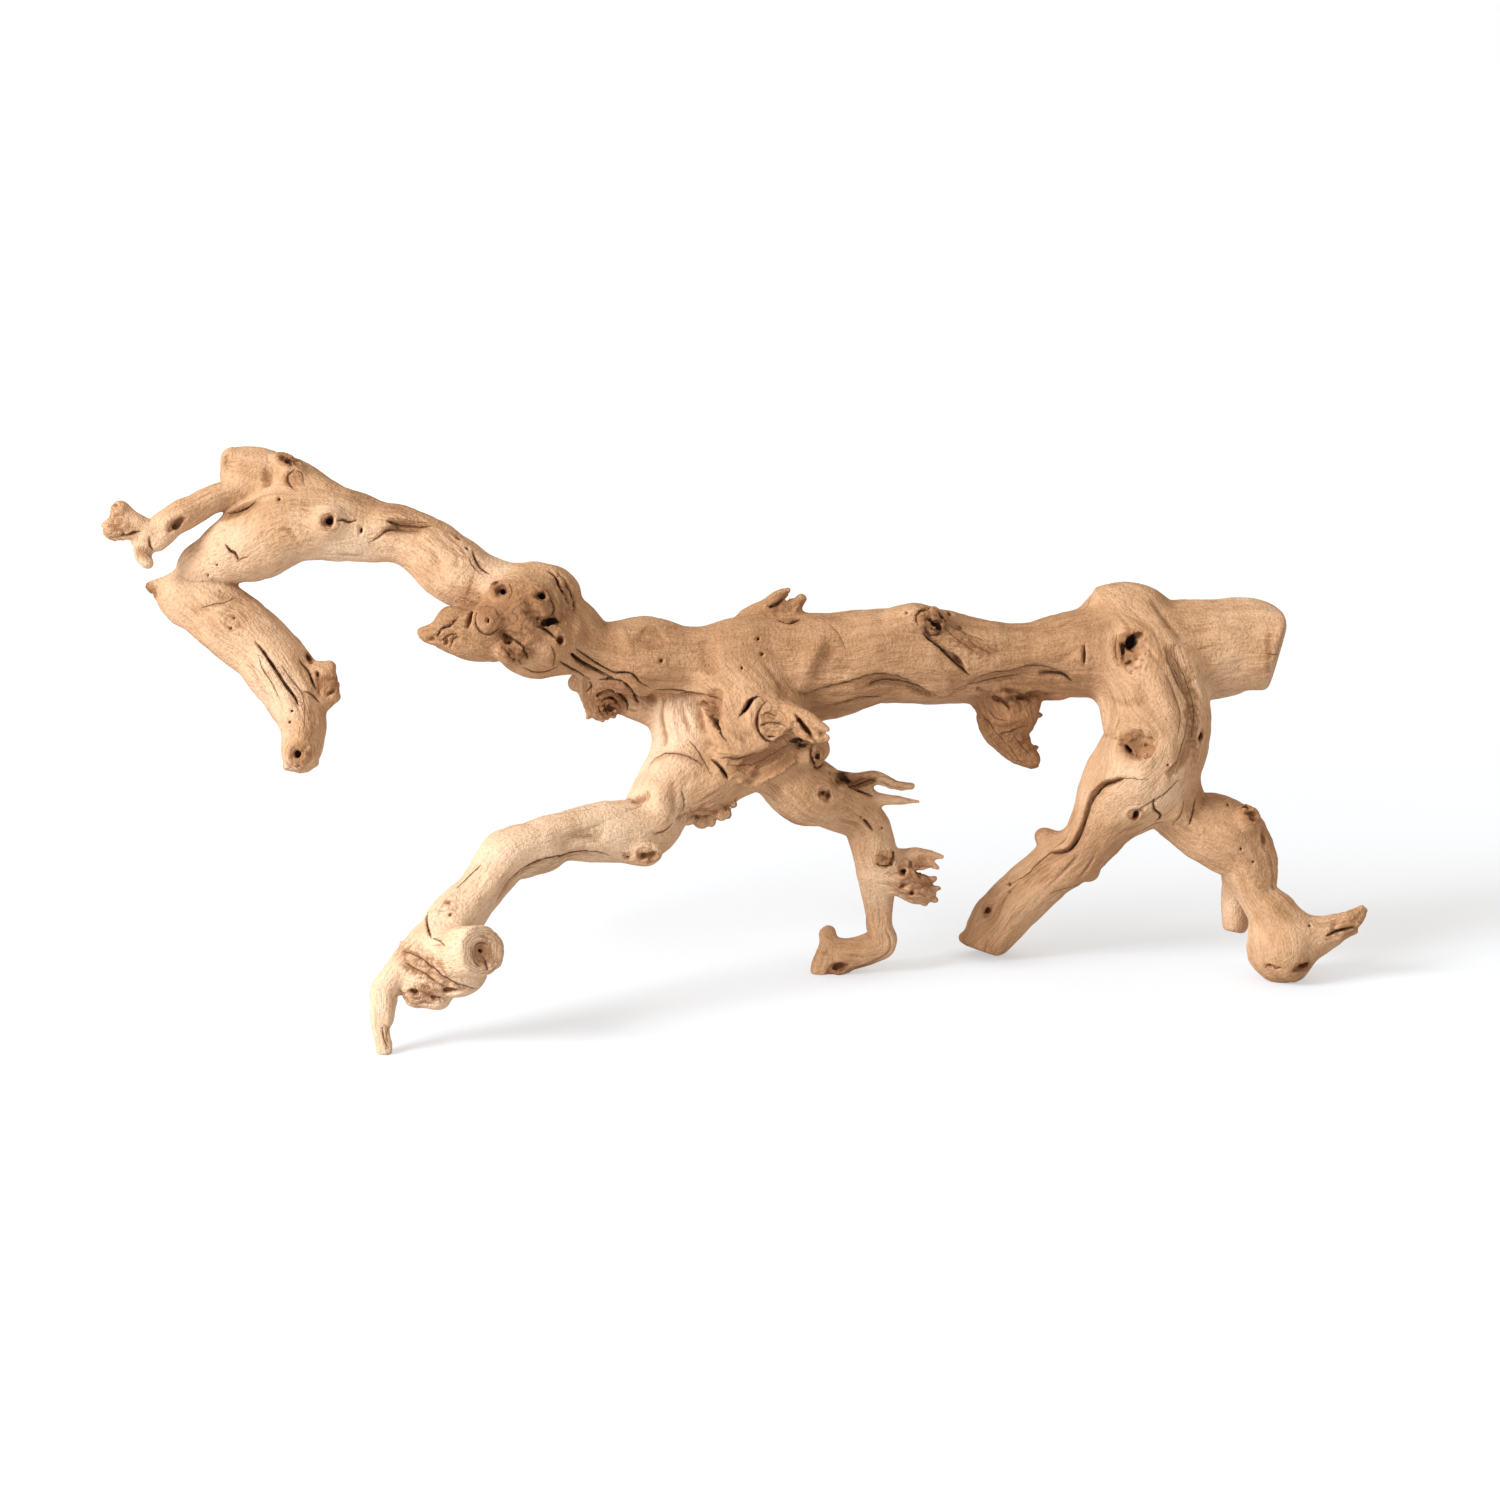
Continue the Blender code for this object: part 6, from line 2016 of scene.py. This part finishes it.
def cap_triangles(places, loop):
    """Fills a flat loop, facing away from the wood that ends there."""
    ring = places[loop]
    middle = ring.mean(0)
    turn = np.cross(ring - middle, np.roll(ring, -1, 0) - middle).sum(0)
    facing = unit(-turn)
    side = unit(np.cross(facing, CAP_FRAME))
    other = np.cross(facing, side)
    flat = [((p - middle) @ side, (p - middle) @ other, 0) for p in ring]
    filled = np.array(tessellate_polygon([flat]))
    corners = np.array(loop)[filled]
    a, b, c = (places[corners[:, i]] for i in range(3))
    turned = (np.cross(b - a, c - a) @ facing) < 0
    corners[turned] = corners[turned][:, ::-1]
    return corners, facing


def bent_around_knots(places, features):
    """The places, drawn in towards each knot and hole, so that the grain read there bends around."""
    bent = places.copy()
    for feature in features:
        if not isinstance(feature, (Hole, Knot)):
            continue
        wide = feature.radius if isinstance(feature, Knot) else max(feature.widths)
        near = near_groups(bent, feature.point, wide * KNOT_REACH)
        gap = bent[near] - feature.point
        pull = faded((gap * gap).sum(1), (KNOT_BEND * wide) ** 2, 1)
        bent[near] -= gap * (KNOT_PULL * pull)[:, None]
    return bent


def grain_slots(weights, triangles):
    """A slot for each limb, so that two limbs whose grain mixes anywhere never share one."""
    present = weights > 0
    for _ in range(2):
        together = present[triangles[:, 0]] | present[triangles[:, 1]] | present[triangles[:, 2]]
        for i in range(3):
            present[triangles[:, i]] |= together
    meets = present.T.astype(np.float32) @ present.astype(np.float32) > 0
    slots = np.full(len(WOOD), -1)
    for limb in np.argsort(-meets.sum(1), kind="stable"):
        taken = slots[meets[limb]]
        slots[limb] = min(slot for slot in range(len(WOOD)) if slot not in taken)
    print("grain slots:", slots.max() + 1)
    return np.minimum(slots, SLOTS - 1)


def grain_of(places, triangles, features):
    """For each vertex the grain and share of the limbs around it, the furrows, the tint and the tone.

    Each slot holds the grain of one limb: three numbers for its coordinates and one for its share.
    """
    bent = bent_around_knots(places, features)
    count = len(places)
    away = np.full((count, len(WOOD)), FAR, np.float32)
    grain = np.zeros((count, len(WOOD), 3), np.float32)
    furrows = np.zeros((count, len(WOOD)), np.float32)
    for i, limb in enumerate(WOOD):
        chosen, distance, along, x, y = limb_coordinates(limb, bent[:, None], bent, 0, GRAIN_REACH)
        if not len(chosen):
            continue
        distance, along, x, y = (values[:, 0] for values in (distance, along, x, y))
        away[chosen, i] = distance
        furrows[chosen, i] = strands(limb, along, x, y)[1]
        grain[chosen, i] = np.stack([along + limb.seed * GRAIN_SHIFT, x, y], 1)
    weights = np.clip(1 - (away - away.min(1)[:, None]) / GRAIN_BLEND, 0, 1) ** 2
    weights /= weights.sum(1)[:, None]
    tints = np.array([TINTS.get(limb.name, 0) for limb in WOOD], np.float32)
    tones = np.array([TONES.get(limb.name, 0) for limb in WOOD], np.float32)
    slots = grain_slots(weights, triangles)
    columns = []
    rows = np.arange(count)
    for slot in range(SLOTS):
        limbs = np.nonzero(slots == slot)[0]
        if not len(limbs):
            columns += [np.zeros((count, 3)), np.zeros(count)]
            continue
        best = limbs[away[:, limbs].argmin(1)]
        columns += [grain[rows, best], weights[:, limbs].sum(1)]
    start, full, most = PALE_END
    paler = np.clip((places[:, 0] - start) / (full - start), 0, 1) * most * weights[:, 0]
    return columns, (weights * furrows).sum(1), weights @ tints, weights @ tones - paler


def stains_and_shade_of(places, features):
    """How stained and shaded each vertex is, with painted shade in holes, cracks, grooves, recesses and
    under ledges, the dark line of painted shade next to it, and the growth rings around it.
    """
    count = len(places)
    stain_and_shade, line, line_width, ring, ringed = np.zeros((5, count), np.float32)
    for feature in features:
        near = groups_near(feature, places, 0)
        if not len(near):
            continue
        here = places[near]
        stain_and_shade[near] = np.maximum(stain_and_shade[near], feature.work(here)[2])
        if isinstance(feature, (Crack, Ledge)):
            across, width = feature.shade_line(here)
            wider = width > line_width[near]
            line[near[wider]] = across[wider]
            line_width[near[wider]] = width[wider]
        if isinstance(feature, Knot):
            away, height = feature.away(here)
            inside = faded(away, feature.radius, 6) * faded(height, RING_DEPTH)
            ring[near] = np.where(inside > ringed[near], away, ring[near])
            ringed[near] = np.maximum(ringed[near], inside)
    for point, facing, _, radius in SAWN_ENDS.values():
        near = near_groups(places, spot(*point), radius)
        gap = places[near] - spot(*point)
        past = gap @ way(*facing)
        inside = np.clip(SAWN_DEPTH + past, 0, 1)
        ring[near] = np.where(inside > 0.5, np.linalg.norm(gap, axis=1), ring[near])
        ringed[near] = np.maximum(ringed[near], inside)
    return stain_and_shade, line, line_width, ring, ringed


def hollows_of(places, normals, triangles):
    """How deep each vertex lies below its neighbourhood, near (1 mm or so) and wider, in mm."""
    edges, counts = mesh_edges(triangles)
    smooth = places.astype(np.float64)
    depths = []
    for rounds in HOLLOW_ROUNDS:
        for _ in range(rounds):
            smooth = neighbour_mean(smooth, edges, counts)
        depths.append(((smooth - places) * normals).sum(1))
    return depths


def with_fibres(places, normals, grain):
    """The surface with its finest strands, too fine for the lattice, along the grain."""
    height = np.zeros(len(places), np.float32)
    for lengths, share in zip(grain[::2], grain[1::2]):
        x, y, z = (lengths / (FIBRE_LENGTH, FIBRE_WIDTH, FIBRE_WIDTH)).T.astype(np.float32)
        height += share * noise(x, y, z, FIBRE_SEED)
    return places + normals * (FIBRE_HEIGHT * height)[:, None]


def dressed(places, triangles, features):
    """A row of numbers for each vertex: its place and normal, then what its finish is made from."""
    normals = vertex_normals(places, triangles)
    grain, furrow, tint, tone = grain_of(places, triangles, features)
    marks = stains_and_shade_of(places, features)
    places = with_fibres(places, normals, grain)
    places[:, 2] = np.maximum(places[:, 2], 0)
    normals = vertex_normals(places, triangles)
    pit, hollow = hollows_of(places, normals, triangles)
    columns = [places, normals, *grain, *marks, furrow, pit, hollow, tint, tone]
    return np.column_stack(columns).astype(np.float32)


# Where the columns past the place and the normal start, what they are called on the mesh, and how
# wide they are.
FIRST_COLUMN = 6
COLUMNS = [(f"{label}_{slot}", width) for slot in range(SLOTS) for label, width in GRAIN_COLUMNS]
MARK_COLUMNS = (
    "stain_and_shade", "line", "line_width", "ring", "ringed", "furrow", "pit", "hollow", "tint", "tone",
)
COLUMNS += [(label, 1) for label in MARK_COLUMNS]


def only(kept, rows, triangles):
    """The rows of the vertices that are kept, and the triangles between them."""
    number = np.cumsum(kept) - 1
    return rows[kept], number[triangles[kept[triangles[:, 0]]]]


def largest_body(places, triangles):
    """The mesh without the crumbs that the noise left loose."""
    labels = component_labels(len(places), triangles)
    return only(labels == np.bincount(labels).argmax(), places, triangles)


def parts_of(data, triangles):
    """The rows and the triangles of each node's own part."""
    labels = component_labels(len(data), triangles)
    parts = {}
    for name, inside in NODE_POINTS.items():
        gap = data[:, :3] - spot(*inside)
        label = labels[(gap * gap).sum(1).argmin()]
        parts[name] = only(labels == label, data, triangles)
    return parts


def placed(name, content):
    """An object in the scene, made of a mesh, a light or a camera."""
    made = bpy.data.objects.new(name, content)
    bpy.context.scene.collection.objects.link(made)
    return made


def piece_of(name, data, triangles):
    """One piece of wood, with the finish's numbers as attributes of its mesh.

    A cut is filled where its rim is a plain loop. A rim that touches itself stays open, inside the
    wood, where the next piece's cut lies against it.
    """
    places = data[:, :3]
    caps = [cap_triangles(places, loop) for loop in rim_loops(triangles)]
    corner_normals = [data[:, 3:FIRST_COLUMN][triangles.reshape(-1)]]
    for corners, facing in caps:
        corner_normals.append(np.tile(facing, (corners.size, 1)))
    triangles = np.concatenate([triangles, *(corners for corners, _ in caps)])
    mesh = bpy.data.meshes.new(name)
    mesh.vertices.add(len(places))
    mesh.vertices.foreach_set("co", (places * MM).astype(np.float32).reshape(-1))
    mesh.loops.add(triangles.size)
    mesh.loops.foreach_set("vertex_index", triangles.astype(np.int32).reshape(-1))
    mesh.polygons.add(len(triangles))
    mesh.polygons.foreach_set("loop_start", np.arange(0, triangles.size, 3, dtype=np.int32))
    mesh.update(calc_edges=True)
    mesh.polygons.foreach_set("use_smooth", np.ones(len(triangles), bool))
    mesh.normals_split_custom_set(np.concatenate(corner_normals))
    first = FIRST_COLUMN
    for label, width in COLUMNS:
        kind, field = ("FLOAT_VECTOR", "vector") if width == 3 else ("FLOAT", "value")
        attribute = mesh.attributes.new(label, kind, "POINT")
        values = np.ascontiguousarray(data[:, first:first + width]).reshape(-1)
        attribute.data.foreach_set(field, values)
        first += width
    return placed(name, mesh)


def node(tree, kind, inputs=None, **settings):
    """Adds a shader node. An input is a number, a colour or another node's output."""
    made = tree.nodes.new(kind)
    for name, value in settings.items():
        setattr(made, name, value)
    for key, value in (inputs or {}).items():
        if isinstance(value, bpy.types.NodeSocket):
            tree.links.new(value, made.inputs[key])
        else:
            made.inputs[key].default_value = value
    return made


def value_of(tree, name):
    """An attribute of the mesh as a number."""
    return node(tree, "ShaderNodeAttribute", attribute_name=name).outputs["Fac"]


def sum_of(tree, operation, *values):
    """The result of a sum on numbers."""
    return node(tree, "ShaderNodeMath", dict(enumerate(values)), operation=operation).outputs[0]


def mixed(tree, share, one, two):
    """Colour one where the share is 0, and colour two where it is 1."""
    inputs = {0: share, 6: one, 7: two}
    return node(tree, "ShaderNodeMix", inputs, data_type="RGBA", clamp_factor=True).outputs[2]


def between(tree, value, low, high, to_low=0.0, to_high=1.0):
    """Maps a number from one range to another, smoothly and without going past it."""
    inputs = {0: value, 1: low, 2: high, 3: to_low, 4: to_high}
    return node(tree, "ShaderNodeMapRange", inputs, interpolation_type="SMOOTHSTEP").outputs[0]


def grain_noise(tree, length, width, detail, roughness):
    """Noise along the grain, of cells that are so long and so wide in mm, mixed where limbs meet."""
    total = 0.0
    for slot in range(SLOTS):
        grain = node(tree, "ShaderNodeAttribute", attribute_name=f"grain_{slot}").outputs["Vector"]
        scale = (1 / length, 1 / width, 1 / width)
        place = node(tree, "ShaderNodeVectorMath", {0: grain, 1: scale}, operation="MULTIPLY")
        inputs = {"Vector": place.outputs[0], "Scale": 1.0, "Detail": detail, "Roughness": roughness}
        value = node(tree, "ShaderNodeTexNoise", inputs).outputs["Fac"]
        total = sum_of(tree, "MULTIPLY_ADD", value, value_of(tree, f"share_{slot}"), total)
    return total


def shade_line_of(tree, fibres):
    """The dark lines of painted shade in cracks and at the foot of ledges: 1 in a line, 0 off it. They waver
    with the fibres.
    """
    wander = sum_of(tree, "MULTIPLY", sum_of(tree, "SUBTRACT", fibres, 0.5), SHADE_LINE_WANDER)
    across = sum_of(tree, "ABSOLUTE", sum_of(tree, "ADD", value_of(tree, "line"), wander))
    width = value_of(tree, "line_width")
    core = sum_of(tree, "MULTIPLY_ADD", width, SHADE_LINE_CORE, -TINY_WIDTH)
    return between(tree, across, width, core)


def speckle_of(tree, cells, detail):
    """Noise that follows no grain, of so many cells to the metre."""
    place = node(tree, "ShaderNodeTexCoord").outputs["Object"]
    inputs = {"Vector": place, "Scale": cells, "Detail": detail, "Roughness": SPECKLE_ROUGHNESS}
    return node(tree, "ShaderNodeTexNoise", inputs).outputs["Fac"]


def bare_colour(tree, fibres, bands, speckle):
    """Pale peeled wood with paler and redder patches."""
    tone = value_of(tree, "tone")
    share, rest = LIGHT_SHARES
    level = sum_of(tree, "MULTIPLY_ADD", fibres, share, sum_of(tree, "MULTIPLY", bands, rest))
    light = between(tree, level, *LIGHT_RANGE)
    colour = mixed(tree, light, TAN, PALE)
    patches = speckle_of(tree, *PATCHES)
    # A limb's tone: a browner one turns redder, a minus one turns cream; partly the wood's own tone, partly
    # painted light on limbs that catch more light.
    warm = between(tree, sum_of(tree, "ADD", patches, tone), *WARM_RANGE)
    colour = mixed(tree, warm, colour, mixed(tree, light, OCHRE, ROSY))
    cool = sum_of(tree, "SUBTRACT", sum_of(tree, "SUBTRACT", 1.0, patches), tone)
    colour = mixed(tree, between(tree, cool, *COOL_RANGE), colour, CREAM)
    colour = mixed(tree, between(tree, fibres, *OCHRE_FIBRES), colour, OCHRE)
    return mixed(tree, between(tree, speckle, *OCHRE_SPECKS), colour, OCHRE)


def wood_colour(tree, fibres, bands, speckle, shade_line):
    """The bare wood, browner in its hollows and dark in its cracks and holes, as painted shade with some
    real brown that lodges there.
    """
    colour = bare_colour(tree, fibres, bands, speckle)
    # Painted shade in hollows, pits and furrows, partly the brown that lodges there.
    deepened = (("hollow", HOLLOW_RANGE, RECESS), ("pit", PIT_RANGE, BROWN), ("furrow", FURROW_RANGE, BROWN))
    for label, levels, brown in deepened:
        colour = mixed(tree, between(tree, value_of(tree, label), *levels), colour, brown)
    torn = mixed(tree, between(tree, fibres, *LIGHT_RANGE), UMBER, RUSSET)
    colour = mixed(tree, value_of(tree, "tint"), colour, torn)
    ring = sum_of(tree, "MULTIPLY_ADD", bands, RING_WAVER, value_of(tree, "ring"))
    wave = sum_of(tree, "SINE", sum_of(tree, "MULTIPLY", ring, math.tau / RING_WIDTH))
    rings = sum_of(tree, "MULTIPLY", between(tree, wave, *RING_RANGE), value_of(tree, "ringed"))
    colour = mixed(tree, rings, colour, BROWN)
    # Stains, and painted shade in holes, cracks, grooves, recesses, clefts and under ledges, broken up by
    # the fibres; the strongest turns dark.
    stain_and_shade = value_of(tree, "stain_and_shade")
    off_middle = sum_of(tree, "SUBTRACT", fibres, 0.5)
    uneven = sum_of(tree, "MULTIPLY_ADD", off_middle, STAIN_AND_SHADE_UNEVEN, stain_and_shade)
    weak, strong, full = STAIN_AND_SHADE_RANGES
    colour = mixed(tree, between(tree, uneven, *weak), colour, RECESS)
    colour = mixed(tree, between(tree, uneven, *strong), colour, UMBER)
    colour = mixed(tree, between(tree, stain_and_shade, *full), colour, DARK)
    # Dark lines of painted shade in cracks and at the foot of ledges.
    line = mixed(tree, between(tree, value_of(tree, "line_width"), *SHADE_LINE_RANGE), BROWN, DARK)
    return mixed(tree, sum_of(tree, "MULTIPLY", shade_line, SHADE_LINE_SHARE), colour, line)


def new_material(name, roughness, gloss):
    """A material with its nodes and its shader."""
    material = bpy.data.materials.new(name)
    material.use_nodes = True
    shader = material.node_tree.nodes["Principled BSDF"]
    shader.inputs["Roughness"].default_value = roughness
    shader.inputs["Specular IOR Level"].default_value = gloss
    return material, material.node_tree, shader


def wood_material(slot):
    """Dry, matt wood with grain along each limb."""
    material, tree, shader = new_material(slot, WOOD_ROUGHNESS, WOOD_GLOSS)
    fibres = grain_noise(tree, *FIBRE_CELL)
    bands = grain_noise(tree, *BAND_CELL)
    speckle = speckle_of(tree, *SPECKS)
    shade_line = shade_line_of(tree, fibres)
    tree.links.new(wood_colour(tree, fibres, bands, speckle, shade_line), shader.inputs["Base Color"])
    height = sum_of(tree, "MULTIPLY_ADD", speckle, BUMP_SPECKS, fibres)
    height = sum_of(tree, "MULTIPLY", height, BUMP_GRAIN)
    height = sum_of(tree, "MULTIPLY_ADD", shade_line, BUMP_SHADE_LINE, height)
    bump = node(tree, "ShaderNodeBump", {"Height": height, "Strength": 1.0, "Distance": BUMP_HEIGHT})
    tree.links.new(bump.outputs["Normal"], shader.inputs["Normal"])
    return material


def floor_material():
    """White where the camera sees it, but for the shadows at the wood's feet."""
    material, tree, shader = new_material("floor_white", FLOOR_ROUGHNESS, 0.0)
    seen = node(tree, "ShaderNodeLightPath").outputs["Is Camera Ray"]
    colour = mixed(tree, seen, FLOOR_COLOUR, FLOOR_SEEN)
    tree.links.new(colour, shader.inputs["Base Color"])
    place = node(tree, "ShaderNodeTexCoord").outputs["Object"]
    away = node(tree, "ShaderNodeVectorMath", {0: place}, operation="LENGTH").outputs["Value"]
    lift = between(tree, away, *LIFT_REACH, *FLOOR_LIFT)
    tree.links.new(sum_of(tree, "MULTIPLY", seen, lift), shader.inputs["Emission Strength"])
    shader.inputs["Emission Color"].default_value = WHITE
    return material


def floor():
    """A pale floor, wide enough to fill the view from any side."""
    half = FLOOR_SIZE / 2
    corners = [(-half, -half, 0), (half, -half, 0), (half, half, 0), (-half, half, 0)]
    mesh = bpy.data.meshes.new("floor")
    mesh.from_pydata(corners, [], [(0, 1, 2, 3)])
    ground = placed("floor", mesh)
    mesh.materials.append(floor_material())


def soft_box(name, place, size, power, colour):
    """A large soft light that shines on the wood."""
    lamp = bpy.data.lights.new(name, "AREA")
    lamp.shape = "DISK"
    lamp.size = size
    lamp.energy = power
    lamp.color = colour
    light = placed(name, lamp)
    light.location = place
    light.rotation_euler = Vector(place).to_track_quat("Z", "Y").to_euler()


def surroundings():
    """A white background, and a warmer, weaker light from all around."""
    world = bpy.data.worlds.new("studio")
    world.use_nodes = True
    tree = world.node_tree
    fill = tree.nodes["Background"]
    fill.inputs["Color"].default_value = FILL_COLOUR
    fill.inputs["Strength"].default_value = FILL_STRENGTH
    white = node(tree, "ShaderNodeBackground", {"Color": WHITE, "Strength": 1.0})
    seen = node(tree, "ShaderNodeLightPath").outputs["Is Camera Ray"]
    inputs = {0: seen, 1: fill.outputs[0], 2: white.outputs[0]}
    both = node(tree, "ShaderNodeMixShader", inputs)
    tree.links.new(both.outputs[0], tree.nodes["World Output"].inputs["Surface"])
    return world


def studio():
    """Plain soft light, and the camera at the photograph's angle."""
    floor()
    for name, light in SOFT_BOXES.items():
        soft_box(name, *light)
    scene = bpy.context.scene
    scene.world = surroundings()
    scene.view_settings.view_transform = "Standard"
    view = bpy.data.cameras.new("camera")
    view.lens = LENS
    view.sensor_width = SENSOR
    view.clip_end = VIEW_END
    camera = placed("camera", view)
    camera.location = Vector(spot(0, 0, VIEW_DISTANCE).tolist()) * MM
    camera.rotation_euler = (math.pi / 2 - VIEW_PITCH, 0, 0)
    scene.camera = camera


def wood_pieces():
    """The wood's parts, each in the place of its solid."""
    features = settled(all_features())
    step = GRID
    blocks, fields, origin = sampled_blocks(step, features)
    places, triangles = surface_of(blocks, fields, origin, step)
    places, triangles = largest_body(places, triangles)
    data = dressed(places, triangles, features)
    for point, leaving, half_width in FORKS.values():
        data, triangles = split_at_fork(data, triangles, point, leaving, half_width)
    materials = {slot: wood_material(slot) for slot in ("weathered_wood", "brown_wood")}
    for name, (rows, corners) in parts_of(data, triangles).items():
        piece = piece_of(name + "_wood", rows, corners)
        slot = "brown_wood" if name == "hanging_stub" else "weathered_wood"
        piece.data.materials.append(materials[slot])
        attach(piece, "root")
        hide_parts("trunk" if name in TRUNK_PIECES else name)
        print(name, len(piece.data.polygons))


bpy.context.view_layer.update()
studio()
wood_pieces()
